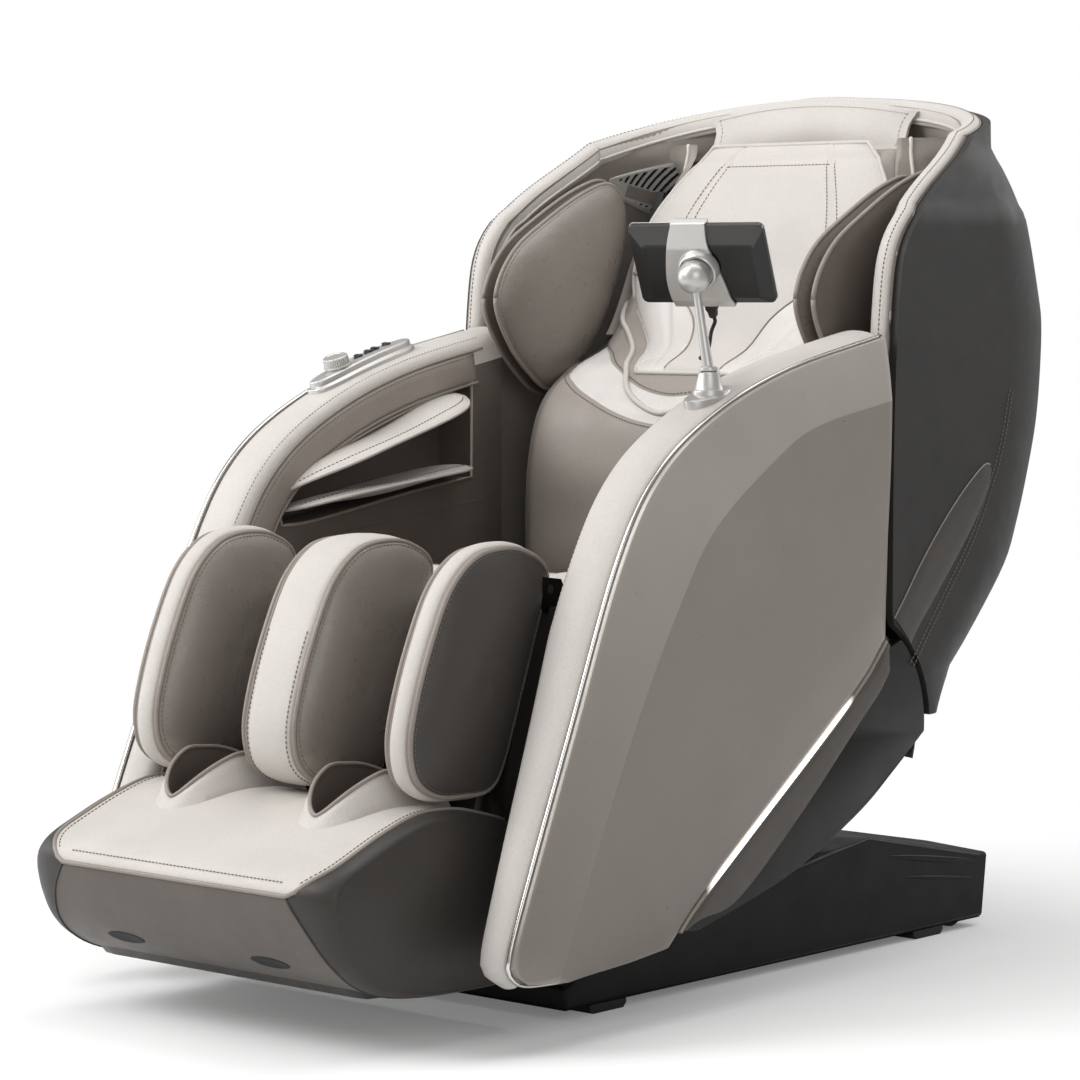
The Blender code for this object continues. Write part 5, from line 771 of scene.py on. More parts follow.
area("key", (-1.9, -3.2, 3.0), (0.0, -0.1, 0.5), 2.0, 92.0)
area("left", (-3.6, -1.6, 1.5), (0.0, -0.1, 0.5), 2.4, 36.0)
area("fill", (3.4, -2.6, 1.9), (0.0, -0.1, 0.6), 2.4, 26.0)
area("top", (0.3, 0.3, 3.6), (0.0, 0.0, 0.4), 2.6, 46.0)
area("back", (1.2, 3.4, 2.6), (0.0, 0.1, 0.7), 2.0, 40.0)
area("crown", (-0.5, -1.7, 3.2), (0.0, 0.36, 1.0), 1.2, 16.0)


def make_world():
    """White to the camera, soft and slightly warm to everything else."""
    world = bpy.data.worlds.new("studio")
    bpy.context.scene.world = world
    world.use_nodes = True
    tree = world.node_tree
    tree.nodes.clear()
    out = tree.nodes.new("ShaderNodeOutputWorld")
    seen = tree.nodes.new("ShaderNodeBackground")
    seen.inputs["Color"].default_value = (1.0, 1.0, 1.0, 1.0)
    seen.inputs["Strength"].default_value = 1.0
    ambient = tree.nodes.new("ShaderNodeBackground")
    ambient.inputs["Color"].default_value = (1.0, 0.995, 0.985, 1.0)
    ambient.inputs["Strength"].default_value = 0.36
    path = tree.nodes.new("ShaderNodeLightPath")
    mix = tree.nodes.new("ShaderNodeMixShader")
    tree.links.new(path.outputs["Is Camera Ray"], mix.inputs[0])
    tree.links.new(ambient.outputs[0], mix.inputs[1])
    tree.links.new(seen.outputs[0], mix.inputs[2])
    tree.links.new(mix.outputs[0], out.inputs["Surface"])


make_world()


FLOOR_HALF = 9.0
FLOOR_DROP = 0.0005     # under the chair's feet
FLOOR_LIFT = 0.14       # light added for the camera, so that the floor stays pale
FADE_FROM, FADE_TO = 0.75, 1.70     # distance over which the floor fades into the white behind


def make_floor():
    look = Look("pale_floor", 0.85)
    look.colour(look.blend(look.mottle(3.0, 2.0, 0.5, 0.3, 0.7), lin(0.93, 0.93, 0.93), lin(0.95, 0.95, 0.95)))
    look.shader.inputs["Specular IOR Level"].default_value = 0.0
    length = look.node("ShaderNodeVectorMath")
    length.operation = "LENGTH"
    look.link(look.coord, length.inputs[0])
    far = look.range(length.outputs["Value"], FADE_FROM, FADE_TO, 0.0, 1.0)
    seen = look.node("ShaderNodeLightPath").outputs["Is Camera Ray"]
    white = (1.0, 1.0, 1.0, 1.0)
    lift = look.node("ShaderNodeEmission", Color=white)
    look.link(look.product(seen, FLOOR_LIFT), lift.inputs["Strength"])
    near = look.node("ShaderNodeAddShader")
    look.link(look.shader.outputs[0], near.inputs[0])
    look.link(lift.outputs[0], near.inputs[1])
    behind = look.node("ShaderNodeEmission", Color=white, Strength=1.0)
    mix = look.node("ShaderNodeMixShader")
    look.link(look.product(far, seen), mix.inputs[0])
    look.link(near.outputs[0], mix.inputs[1])
    look.link(behind.outputs[0], mix.inputs[2])
    look.link(mix.outputs[0], look.tree.nodes["Material Output"].inputs["Surface"])
    mesh = bpy.data.meshes.new("floor")
    mesh.from_pydata([(x * FLOOR_HALF, y * FLOOR_HALF, 0) for x, y in ((-1, -1), (1, -1), (1, 1), (-1, 1))], [],
                     [(0, 1, 2, 3)])
    mesh.materials.append(look.material)
    floor = bpy.data.objects.new("floor", mesh)
    bpy.context.scene.collection.objects.link(floor)
    floor.location.z = -FLOOR_DROP


make_floor()


# ================================================================ arms
def make_arm(side, sign):
    """Leather band over the arm, and the padded fascia inside it."""
    outer = PANEL_INNER - FIT
    rings = []
    for k, (_, z) in enumerate(ARM_RUN):
        inner = arm_inner_x(z)
        width = outer - inner
        swell = 1.0 + 0.05 * math.sin(k * 0.35)
        ring = []
        for share, lift in [(0.0, -BAND_DEPTH), (0.0, -0.016)] + BAND_LIFTS + [(1.0, -BAND_DEPTH)]:
            up = lift * swell if lift > 0 else lift
            ring.append((sign * (inner + width * share), *arm_point(k, -up)))
        if k > ARM_LAST:    # shallow where it ends behind the toe
            ring[:2] = [(ring[0][0], *arm_point(k, 0.010)), (ring[1][0], *arm_point(k, 0.006))]
            ring[-1] = (ring[-1][0], *arm_point(k, 0.010))
        rings.append(ring)
    loft("arm_top_%s" % side, rings, LIGHT, "seat", replaces=("arm_band_%s" % side,), sharp=60, pad=0.8)
    # seam beside the fascia, and the stitch row over it
    row = []
    edge = []
    for k in range(4, ARM_LAST):
        inner = arm_inner_x(ARM_RUN[k][1])
        row.append((sign * (inner + 0.0085), *arm_point(k, -0.0032)))
        edge.append((sign * (inner - 0.0004), *arm_point(k, 0.0125)))
    stitches("arm_top_stitch_%s" % side, [row], THREAD_DARK, "seat", radius=0.0007)
    tubes("arm_top_piping_%s" % side, [edge], 0.0021, PIPING, "seat", 6)
    # fascia: padded strip inside the arm, from the hood down to the toe
    start = arm_index(-0.008)
    steps = 120

    def fascia(i, c):
        k = start + (ARM_LAST - 1.0 - start) * i / steps
        low = 0.014
        high = 0.059 - 0.010 * ease((k - 60) / 25)
        s = c / 10
        y, z = arm_point(k, low + (high - low) * s)
        x = arm_inner_x(z)
        bulge = 0.0055 * (1 - (2 * s - 1) ** 4) * min(ease(i / 3.0), 1.0)
        return (sign * (x - 0.0006 - bulge), y, z), (sign * (x + 0.003), y, z)

    front, back = sheet(steps + 1, 11, fascia)
    slab("arm_fascia_%s" % side, front, back, TAUPE, "seat", pad=0.7)
    stitches("arm_fascia_stitch_%s" % side,
             [[Vector(r[c]) + Vector((-sign * 0.0004, 0, 0)) for r in front] for c in (1, 9)],
             THREAD_DARK, "seat", radius=0.0007)
    tubes("arm_fascia_piping_%s" % side, [[(p[10][0] - sign * 0.001, p[10][1], p[10][2]) for p in front]],
          0.0026, PIPING, "seat", 8)


def make_core(side, sign):
    """Dark inner face of the arm with the forearm channel."""
    core = copy_of("arm_core_%s" % side, "arm_liner_%s" % side, DEEP, "seat")
    round_edges(core, 0.003, 35)
    # piping round the channel's mouth
    line = [(sign * (SEAT_HALF - 0.0005), y, z) for y, z in soft(CHANNEL_TOP, 6) + soft(CHANNEL_FLOOR, 6)]
    tubes("channel_piping_%s" % side, [line + line[:1]], 0.0024, PIPING, "seat", 8)
    # panel line beside the seat
    low = [(sign * (SEAT_HALF - 0.0004), y, z)
           for y, z in soft([(-0.440, 0.560), (-0.330, 0.581), (-0.170, 0.600), (0.020, 0.622)], 8)]
    stitches("liner_stitch_%s" % side, [low], THREAD_DARK, "seat", radius=0.0007)


def make_flap(side, sign, level):
    """Forearm airbag: a thin sewn tongue with a rounded outline and a piped free edge."""
    root_x = SEAT_HALF + CHANNEL_DEPTH - 0.001
    tip = SEAT_HALF - 0.074
    if level == "upper":
        root = offset_run(CHANNEL_TOP, -0.010)
        free = [(-0.402, 0.668), (-0.345, 0.681), (-0.262, 0.708), (-0.161, 0.737), (-0.060, 0.768),
                (-0.044, 0.775)]
        thick = 0.015
    else:
        root = offset_run(list(reversed(CHANNEL_FLOOR)), 0.010)
        free = [(-0.402, 0.633), (-0.330, 0.645), (-0.197, 0.660), (-0.080, 0.672), (-0.036, 0.680)]
        thick = 0.016
    root = resample(smooth(root, 6), 41)[1:-1]
    free = resample(smooth(free, 6), 41)[1:-1]
    rows = 17

    def spots(r, c):
        share = r / (rows - 1)
        s = 2 * c / (len(root) - 1) - 1
        reach = (1 - abs(s) ** (3.2 if s < 0 else 7)) ** 0.5
        t = share * (0.15 + 0.85 * reach)
        x = root_x + (tip - root_x) * t
        spot = root[c].lerp(free[c], t)
        plump = thick * (max(1 - abs(s) ** 5, 0.0) ** 0.5) * (max(1 - share ** 5, 0.0) ** 0.5) * 0.5
        sag = 0.004 * math.sin(math.pi * share) * math.sin(math.pi * (s + 1) * 1.5)
        return (sign * x, spot.x, spot.y + plump + sag), (sign * x, spot.x, spot.y - plump * 0.7 - 0.0006 + sag)

    front, back = sheet(rows, len(root), spots)
    slab("arm_flap_%s_%s" % (level, side), front, back, LIGHT, "seat",
         replaces=("arm_airbag_%s_%s" % (level, side),), sharp=70, pad=0.5)
    tubes("arm_flap_piping_%s_%s" % (level, side), [front[-1]], 0.0026, PIPING_LIGHT, "seat", 8)
    inner = [Vector(p) + Vector((0, 0, 0.0006)) for p in front[-3]][2:-2]
    stitches("arm_flap_stitch_%s_%s" % (level, side), [inner], THREAD_DARK, "seat", radius=0.0007)


def light_line(shift):
    """Side outline of the light strip, moved by a distance."""
    return offset_run(soft(LIGHT_LINE, 8), shift)


def make_panel(side, sign):
    """Moulded side panel with a soft crease between its front facet and its face; the facet's paler tone is painted
    highlight.
    """
    columns = 96
    rear = PANEL_CREASE[0][0]
    lower = [(rear, 0.600), (rear, 0.528)] + list(reversed(light_line(0.0)))
    lower += list(reversed(ARM_TOE[2:-1]))
    lower = resample(lower, columns)
    edge = resample(smooth(ARM_EDGE + ARM_TOE[:2], 12), columns)
    crease = resample(smooth(PANEL_CREASE, 10), columns)
    rows = []
    depths = []
    front = ARM_HALF - PANEL_FALL
    for t in (0.0, 0.012, 0.10, 0.3, 0.5, 0.7, 0.86, 0.94):
        rows.append([a.lerp(b, t) for a, b in zip(edge, crease)])
        drop = 0.0045 * (1 - min(t / 0.012, 1.0)) if t < 0.012 else 0.0
        depths.append(front + (ARM_HALF - front) * (t + 0.10 * math.sin(math.pi * t)) - drop)
    for t in (0.0, 0.02, 0.08, 0.2, 0.4, 0.6, 0.8, 0.97, 1.0):
        rows.append([a.lerp(b, t) for a, b in zip(crease, lower)])
        fall = LOWER_FALL * t * t
        depths.append(ARM_HALF - fall - (0.0022 if t == 1.0 else 0.0))
    face = [[(sign * d, p.x, p.y) for p in row] for d, row in zip(depths, rows)]
    back = [[(sign * PANEL_INNER, p.x, p.y) for p in row] for row in rows]
    ridge = sorted(tuple(p) for p in smooth(PANEL_CREASE, 10))
    # the front facet above the crease takes the paler copy of the paint: painted highlight
    slab("side_panel_skin_%s" % side, face, back, None, "seat", replaces=("side_panel_%s" % side,), sharp=38,
         looks=[PANEL_LOOK, FACET_HIGHLIGHT_LOOK],
         pick=lambda c: 1 if abs(c.x) > PANEL_INNER + 0.003 and c.z > between(ridge, c.y) else 0)
    # bright trim along the panel's front edge
    run = [tuple(p) for p in resample(smooth(ARM_EDGE + ARM_TOE[:3], 12), 130)]
    rings = []
    for (y, z), (oy, oz) in zip(run, offset_run(run, -1.0)):
        out = Vector((oy - y, oz - z))
        ring = []
        for a in range(10):
            angle = 2 * math.pi * a / 10
            across = 0.0032 * math.cos(angle)
            lift = 0.0022 + 0.0020 * math.sin(angle)
            ring.append((sign * (PANEL_INNER + 0.0033 + across), y + out.x * lift, z + out.y * lift))
        rings.append(ring)
    loft("trim_bright_%s" % side, rings, CHROME, "seat", replaces=("trim_strip_%s" % side,))


for _side, _sign in SIDES:
    make_arm(_side, _sign)
    make_core(_side, _sign)
    for _level in ("upper", "lower"):
        make_flap(_side, _sign, _level)
    make_panel(_side, _sign)
    recolour("light_strip_%s" % _side, GLOW)


# ================================================================ seat
SEAT_FRONT, SEAT_LONG = -0.400, 0.434
SEAT_HIGH, SEAT_LOW = 0.558, 0.478      # crown at the front and where it meets the back


def make_seat():
    """Seat cushion with side bolsters and a light front edge."""
    half = SEAT_HALF - 0.008
    rows = 56
    columns = 64

    def spots(r, c):
        t = r / rows
        s = 2 * c / columns - 1
        height = SEAT_HIGH + (SEAT_LOW - SEAT_HIGH) * ease(t * 1.15)
        crown = 0.012 * (1 - s ** 4) * math.sin(math.pi * min(max(t, 0.02), 0.98))
        bolster = 0.010 * ease((abs(s) - 0.55) / 0.30) - 0.016 * ease((abs(s) - 0.88) / 0.12)
        groove = -0.007 * bump_at(abs(s), 0.60, 0.018) - 0.006 * bump_at(t, 0.13, 0.012)
        edge = -0.016 * (1 - min(t / 0.05, 1.0)) ** 2 - 0.014 * (max(t - 0.95, 0.0) / 0.05) ** 2
        side = half * (1 - 0.012 * math.sin(math.pi * t)) * s
        y = SEAT_FRONT + SEAT_LONG * t
        return ((side, y, height + crown + bolster + groove + edge),
                (s * (half - 0.006), y + 0.006 * (1 - 2 * t), 0.430))

    front, back = sheet(rows + 1, columns + 1, spots)
    slab("seat_cover", front, back, None, "seat", replaces=("seat_cushion",), sharp=70, pad=0.8,
         looks=[SEAT_TONE, LIGHT], pick=lambda c: 1 if c.y < -0.344 else 0)
    lines = [[Vector(r[int((1 + sign * 0.565) / 2 * columns)]) for r in front[8:-2]] for sign in (-1, 1)]
    stitches("seat_stitch", lines + [[Vector(p) + Vector((0, 0, 0.0008)) for p in front[10][4:-4]]],
             THREAD_DARK, "seat", radius=0.0007)
    tubes("seat_piping", [[Vector(p) + Vector((0, 0, 0.0012)) for p in front[7]]], 0.0024, PIPING_LIGHT, "seat")


make_seat()


# ================================================================ hood
def make_hood():
    """Dark rear shell, light lining and the rolled rim over their front edge."""
    us = [-1 + 2 * k / 128 for k in range(129)]
    levels = [HOOD_BOTTOM + (HOOD_SHOULDER - HOOD_BOTTOM) * k / 56 for k in range(57)]
    outer = [[hood_point(u, level, 0.0, 0.006) for u in us] for level in levels]
    inner = [[hood_point(u, level, SHELL_THICK, 0.006) for u in us] for level in levels]
    slab("shell_skin", outer, inner, SHELL_LOOK, "back", replaces=("back_shell",), sharp=50)
    # lining
    rows = [LINING_BOTTOM + (HOOD_SHOULDER - 0.002 - LINING_BOTTOM) * k / 46 for k in range(47)]
    face = [[hood_point(u, level, SHELL_THICK + FIT + LINING_THICK, 0.002) for u in us] for level in rows]
    rear = [[hood_point(u, level, SHELL_THICK + FIT, 0.002) for u in us] for level in rows]
    slab("lining_skin", face, rear, BACK_TONE, "back", replaces=("hood_lining",), sharp=60, pad=0.7)
    # rim: rolled edge along both front edges and over the top
    border = [(-1.0, LINING_BOTTOM + (HOOD_SHOULDER - LINING_BOTTOM) * k / 60) for k in range(60)]
    border += [(u, HOOD_SHOULDER) for u in us[:-1]]
    border += [(1.0, HOOD_SHOULDER - (HOOD_SHOULDER - LINING_BOTTOM) * k / 60) for k in range(61)]
    shift = -0.002
    outs = [hood_point(u, level, SHELL_THICK + FIT, shift) for u, level in border]
    ins = [hood_point(u, level, SHELL_THICK + FIT + LINING_THICK, shift) for u, level in border]
    middle = [(a + b) / 2 for a, b in zip(outs, ins)]
    centre = Vector((0.0, 0.36, 0.80))
    profile = [(0.0, -0.016), (0.0, -0.004), (0.04, 0.001), (0.12, 0.0042), (0.25, 0.0062), (0.45, 0.0070),
               (0.65, 0.0062), (0.82, 0.0030), (0.94, -0.003), (1.0, -0.010), (1.03, -0.016), (1.0, -0.023),
               (0.9, -0.026)]
    rings = []
    stitch_row = []
    seam_row = []
    edge_row = []
    for k, (a, b) in enumerate(zip(outs, ins)):
        n = (b - a).normalized()
        tangent = (middle[min(k + 1, len(middle) - 1)] - middle[max(k - 1, 0)]).normalized()
        e = tangent.cross(n).normalized()
        if e.dot(a - centre) < 0:
            e = -e
        rings.append([a + (b - a) * w + e * h for w, h in profile])
        stitch_row.append(a + (b - a) * 0.30 + e * 0.0068)
        seam_row.append(a + (b - a) * 1.02 - e * 0.018)
        edge_row.append(a + (b - a) * 0.01 - e * 0.0005)
    loft("hood_rim", rings, LIGHT, "back", sharp=60, pad=0.8)
    stitches("hood_rim_stitch", [stitch_row], THREAD_DARK, "back", radius=0.0008)
    tubes("hood_rim_piping", [seam_row], 0.0026, PIPING_LIGHT, "back")
    tubes("hood_edge_piping", [edge_row], 0.0020, PIPING, "back", 6)


make_hood()


def shell_side(y, z, lift=0.0):
    """Point on the hood's flank at a depth and height, lifted off its face."""
    half = HOOD_HALF - between(SIDE_SOFT, z)
    rear = between(REAR_SOFT, z)
    corner_x = min(between(CORNER_SOFT, z), half - 0.02)
    corner_y = CORNER
    start = rear - corner_y
    if y <= start:
        return Vector((half + lift, y, z))
    share = min((y - start) / corner_y, 0.9999)
    root = math.sqrt(1 - share * share)
    normal = Vector((root / corner_x, share / corner_y, 0.0)).normalized()
    return Vector((half - corner_x + corner_x * root, y, z)) + normal * lift


COVER_BAND = [(-0.330, 0.128), (-0.256, 0.146), (-0.120, 0.246), (0.002, 0.350), (0.047, 0.388), (0.080, 0.430)]


def make_cover_band(side, sign):
    """Grained strip under the light, on the lower cover's upper edge."""
    steps = 90
    top = resample(light_line(-LIGHT_WIDTH - 0.0006)[3:], steps)
    low = resample(smooth(COVER_BAND, 8), steps)
    shares = (0.0, 0.04, 0.12, 0.3, 0.5, 0.7, 0.88, 0.96, 1.0)

    def spots(r, c):
        t = shares[r]
        rise = 0.0022 * (1 - (2 * t - 1) ** 8)
        ends = min(1.0, c / 4, (steps - 1 - c) / 4)
        p = top[c].lerp(low[c], t * (0.2 + 0.8 * ease(ends)))
        return ((sign * (ARM_HALF - LOWER_FALL + 0.0006 + rise * ends), p.x, p.y),
                (sign * (ARM_HALF - LOWER_FALL - 0.004), p.x, p.y))

    face, back = sheet(len(shares), steps, spots)
    slab("cover_band_%s" % side, face, back, BAND_LOOK, "seat", sharp=60)
    stitches("cover_band_stitch_%s" % side, [face[7][3:-3]], THREAD_DARK, "seat", radius=0.0007)


for _side, _sign in SIDES:
    make_cover_band(_side, _sign)


STRIP_UPPER = [(0.0792, 0.484), (0.104, 0.512), (0.139, 0.554), (0.185, 0.602), (0.232, 0.644),
               (0.268, 0.671), (0.292, 0.685), (0.303, 0.684)]
STRIP_LOWER = [(0.118, 0.446), (0.140, 0.472), (0.170, 0.502), (0.222, 0.555), (0.262, 0.598),
               (0.290, 0.634), (0.304, 0.660), (0.308, 0.677)]
SHELL_STITCH = [(0.118, 0.420), (0.186, 0.500), (0.262, 0.590), (0.322, 0.695), (0.352, 0.790)]


def make_shell_trim(side, sign):
    """Raised strip and a double stitch row low on the rear shell's flank."""
    top = resample(smooth(STRIP_UPPER, 5), 41)
    low = resample(smooth(STRIP_LOWER, 5), 41)

    def on_flank(y, z, lift):
        spot = shell_side(y, z, lift)
        return sign * spot.x, spot.y, spot.z

    def spots(r, c):
        t = r / 6
        p = top[c].lerp(low[c], t)
        rise = 0.0022 * (1 - (2 * t - 1) ** 6) * min(1.0, (40 - c) / 3.0)
        return on_flank(p.x, p.y, 0.0002 + rise), on_flank(p.x, p.y, -0.002)

    face, back = sheet(7, 41, spots)
    slab("shell_strip_%s" % side, face, back, STRIP_LOOK, "back", sharp=60)
    lines = [[on_flank(y + shift, z - shift * 0.7, 0.0004) for y, z in soft(SHELL_STITCH, 8)]
             for shift in (0.0, 0.007)]
    stitches("shell_stitch_%s" % side, lines, THREAD_DARK, "back", radius=0.0008)
    tubes("shell_strip_edge_%s" % side, [[on_flank(p.x, p.y, 0.0008) for p in top]], 0.0011, PIPING, "back", 6)


for _side, _sign in SIDES:
    make_shell_trim(_side, _sign)


# ================================================================ back
WAIST_LOW, WAIST_HIGH = 0.738, 0.774    # glossy belt across the back pad


def band_lift(s):
    """How far the belt climbs towards the pad's sides."""
    return 0.085 * abs(s) ** 1.6


def pad_height(h, s):
    """Height of a row of the pad, which follows the belt near it."""
    window = ease((h - 0.60) / 0.13) * (1 - ease((h - 0.80) / 0.30))
    return h + band_lift(s) * window


def pad_wide(z):
    """Half width of the back pad."""
    return BACK_HALF + 0.005 * ease((0.80 - z) / 0.2) - 0.060 * ease((z - 0.95) / 0.20)


def pad_face(s, z, extra=0.0):
    """Point on the back pad's face: s across from -1 to 1."""
    crown = 0.010 * (1 - s * s)
    flat = 1 - 0.8 * ease((z - 0.84) / 0.12)
    bolster = 0.012 * flat * ease((abs(s) - 0.5) / 0.3) - 0.030 * ease((abs(s) - 0.84) / 0.16)
    seat = crown * ease((z - 0.78) / 0.03) if abs(s) < 0.8 else 0.0
    return Vector((s * pad_wide(z), back_front(z) - crown - bolster + seat - extra, z))


def make_back_pad():
    """Back pad with the glossy belt at the waist and soft rolls below it."""
    rows = 96
    columns = 72

    def spots(r, c):
        h = 0.500 + 0.63 * r / 96
        s = 2 * c / columns - 1
        z = min(pad_height(h, s), 1.130)
        p = pad_face(s, z)
        seam = 0.0045 * (bump_at(h, WAIST_LOW, 0.004) + bump_at(h, WAIST_HIGH, 0.004))
        edge = 0.016 * ((1 - min(r / 4, 1.0)) ** 2 + (1 - min((rows - r) / 4, 1.0)) ** 2)
        roll = 0.003 * math.sin((h - 0.5) * 46) * (1 - ease((h - 0.62) / 0.08)) * (1 - abs(s) ** 3)
        return ((p.x, p.y + seam + edge - roll, p.z),
                (s * (pad_wide(z) - 0.010), max(back_front(z) + BACK_THICK, 0.140), z))

    front, back = sheet(rows + 1, columns + 1, spots)

    def pick(c):
        wide = pad_wide(c.z)
        s = max(min(c.x / wide, 1.0), -1.0)
        if pad_height(WAIST_LOW, s) <= c.z < pad_height(WAIST_HIGH, s):
            return 1 if abs(s) < 0.86 else 2
        return 0

    slab("back_upholstery", front, back, None, "back", replaces=("back_pad",), sharp=70, pad=0.75,
         looks=[BACK_TONE, PEARL, STRIP_LOOK], pick=pick)
    for name, h in (("low", 0.732), ("high", 0.780)):
        line = [pad_face(s, pad_height(h, s), 0.0004)
                for s in (2 * c / columns - 1 for c in range(3, columns - 2))]
        stitches("waist_stitch_%s" % name, [line], THREAD_DARK, "back", radius=0.0008)
    line = []
    for c in range(60):
        s = -0.99 + 1.98 * c / 59
        z = 0.752 + 0.165 * abs(s) ** 1.5
        line.append(pad_face(s, min(z, 1.12), 0.0015))
    tubes("waist_piping", [line], 0.0042, PIPING_LIGHT, "back", 10)


make_back_pad()


HANG_BOTTOM, HANG_TALL = 0.808, 0.332
HANG_SHAPE = [(0.808, 0.104), (0.850, 0.152), (0.900, 0.204), (0.950, 0.230), (1.000, 0.230), (1.050, 0.212),
              (1.100, 0.178), (1.140, 0.142)]
HANG_SOFT = soft(HANG_SHAPE, 5)
HANG_SEAM = [(0.808, 0.050), (0.853, 0.058), (0.880, 0.068), (0.900, 0.086), (0.918, 0.112), (0.932, 0.145),
             (0.944, 0.190), (0.952, 0.232)]
HANG_LIE = 0.0026       # rear face in front of the back line


def hang_face(s, t):
    """Point on the hanging cushion: s across from -1 to 1, t up from 0 to 1."""
    z = HANG_BOTTOM + HANG_TALL * t
    half = between(HANG_SOFT, z)
    plump = (max(1 - abs(s) ** 4.5, 0.0) ** 0.6) * (max(1 - abs(2 * t - 1) ** 7, 0.0) ** 0.6)
    crown = 0.0235 * plump
    panel = 0.0040 * bump_at(abs(s), 0.56 + 0.10 * (1 - t), 0.02) * (1 if t > 0.03 else 0)
    top = 0.0040 * bump_at(t, 0.93, 0.012)
    return Vector((s * half, back_front(z) - HANG_LIE - 0.002 - crown + panel + top, z))


def make_hanging_cushion():
    """Cushion that hangs before the back, with glossy lower corners."""
    rows = 60
    columns = 64

    def spots(r, c):
        s = 2 * c / columns - 1
        z = HANG_BOTTOM + HANG_TALL * r / rows
        return hang_face(s, r / rows), Vector((s * (between(HANG_SOFT, z) - 0.003), back_front(z) - HANG_LIE, z))

    front, back = sheet(rows + 1, columns + 1, spots)

    def pick(c):
        return 1 if c.z < 0.952 and abs(c.x) > between(HANG_SEAM, c.z) else 0

    slab("back_hanging_pad", front, back, None, "back", replaces=("back_cushion",), sharp=70, pad=0.6,
         looks=[LIGHT, PEARL], pick=pick)
    rim = [hang_face(-1, t / 40) for t in range(41)]
    rim += [hang_face(-1 + 2 * c / 40, 1.0) for c in range(1, 40)]
    rim += [hang_face(1, 1 - t / 40) for t in range(41)]
    rim += [hang_face(1 - 2 * c / 30, 0.0) for c in range(1, 30)]
    tubes("hanging_pad_piping", [rim], 0.0034, PIPING_LIGHT, "back", 10, closed=True)
    seams = [[hang_face(sign * min(x / between(HANG_SOFT, z), 0.99), (z - HANG_BOTTOM) / HANG_TALL)
              for z, x in soft(HANG_SEAM, 6)] for sign in (-1, 1)]
    tubes("hanging_pad_seam", seams, 0.0016, PIPING, "back", 8)
    lift = Vector((0, 0.0004, 0))
    lines = [[hang_face(sign * (start + 0.10 * (1 - t / 40)), t / 40) - lift for t in range(20, 38)]
             for sign in (-1, 1) for start in (0.52, 0.60)]
    lines.append([hang_face(-0.56 + 1.12 * c / 40, 0.905) - lift for c in range(41)])
    stitches("hanging_pad_stitch", lines, THREAD_DARK, "back", radius=0.0007)


make_hanging_cushion()


def make_flap_cover():
    """Pillow flap: a sewn sheet that hangs from the rim over the upper back."""
    top_y = between(REAR_SOFT, HOOD_TOP) - SHELL_THICK - LINING_THICK - 0.001
    rows = 34
    columns = 56

    def spots(r, c):
        t = r / rows
        s = 2 * c / columns - 1
        x = s * (0.190 - 0.022 * ease(t) - 0.006 * math.sin(t * 5.5))
        z = 1.204 - 0.074 * t - 0.020 * s * s * (1 - t)
        y = top_y - 0.004 + (0.402 - top_y) * ease(t * 0.9)
        y -= 0.010 * (1 - s * s) * math.sin(math.pi * min(t + 0.1, 1))
        wave = 0.0022 * math.sin(s * 7.0 + 1.0) * ease(t)
        return (x, y + wave - 0.004, z), (x, y + wave + 0.002, z + 0.001)

    front, back = sheet(rows + 1, columns + 1, spots)
    slab("head_flap_cover", front, back, LIGHT, "back", replaces=("head_flap",), sharp=70, pad=0.35)
    lines = [front[3][2:-2]] + [[r[c] for r in front[2:-2]] for c in (2, -3)]
    stitches("head_flap_stitch", [[Vector(p) + Vector((0, -0.0006, 0)) for p in line] for line in lines],
             THREAD_LIGHT, "back", radius=0.0008)


make_flap_cover()


PILLOW_POWER = 2.7      # how square a leg pad's crown is
SHOULDER_POWER = 2.6
PILLOW_SOFT = 0.62
ROW_SHARE = 0.972       # a pillow's stitch row, as a share of its outline


def make_shoulder(side, sign):
    """Shoulder airbag: a plump front pad over a thinner rear one."""
    outline = resample(smooth_loop(SHOULDER_OUTLINE, 6), 96, closed=True)
    middle = sum(outline, Vector((0, 0))) / len(outline)
    out = Vector((-sign, 0, 0))
    node = ("shoulder_pad_%s" % side,)
    for name, shift, back, scale, crown, look, replaces in (("front", 0.000, 0.0, 1.00, 0.034, PAD, node),
                                                            ("rear", 0.027, 0.010, 1.04, 0.016, DEEP, ())):
        x = sign * (SEAT_HALF - 0.014 - 0.012 + shift)
        spots = [Vector((x, q.x + back, q.y)) for q in (middle + (p - middle) * scale * 0.985 for p in outline)]
        centre = Vector((x, middle.x, middle.y))
        loft("shoulder_%s_%s" % (name, side),
             pillow_rings(spots, centre, out, crown, 0.012, 18, SHOULDER_POWER, PILLOW_SOFT), look,
             "back", replaces=replaces, sharp=75, pad=0.8)
        tubes("shoulder_piping_%s_%s" % (name, side), [spots], 0.0034, PIPING, "back", 10, closed=True)
        row = [centre + (p - centre) * ROW_SHARE + out * crown * (1 - ROW_SHARE ** SHOULDER_POWER) ** PILLOW_SOFT
               for p in spots]
        stitches("shoulder_stitch_%s_%s" % (name, side), [row + row[:1]], THREAD_DARK, "back", radius=0.0007)


for _side, _sign in SIDES:
    make_shoulder(_side, _sign)


# ================================================================ leg rest
WALL_SOFT = [(-0.462, 0.574), (-0.500, 0.602), (-0.548, 0.609), (-0.600, 0.599), (-0.646, 0.560), (-0.683, 0.490),
             (-0.709, 0.420), (-0.719, 0.368), (-0.708, 0.326), (-0.672, 0.303), (-0.620, 0.298), (-0.575, 0.301),
             (-0.549, 0.330), (-0.512, 0.425), (-0.478, 0.515)]
WALL_CENTRE = Vector((-0.590, 0.450))


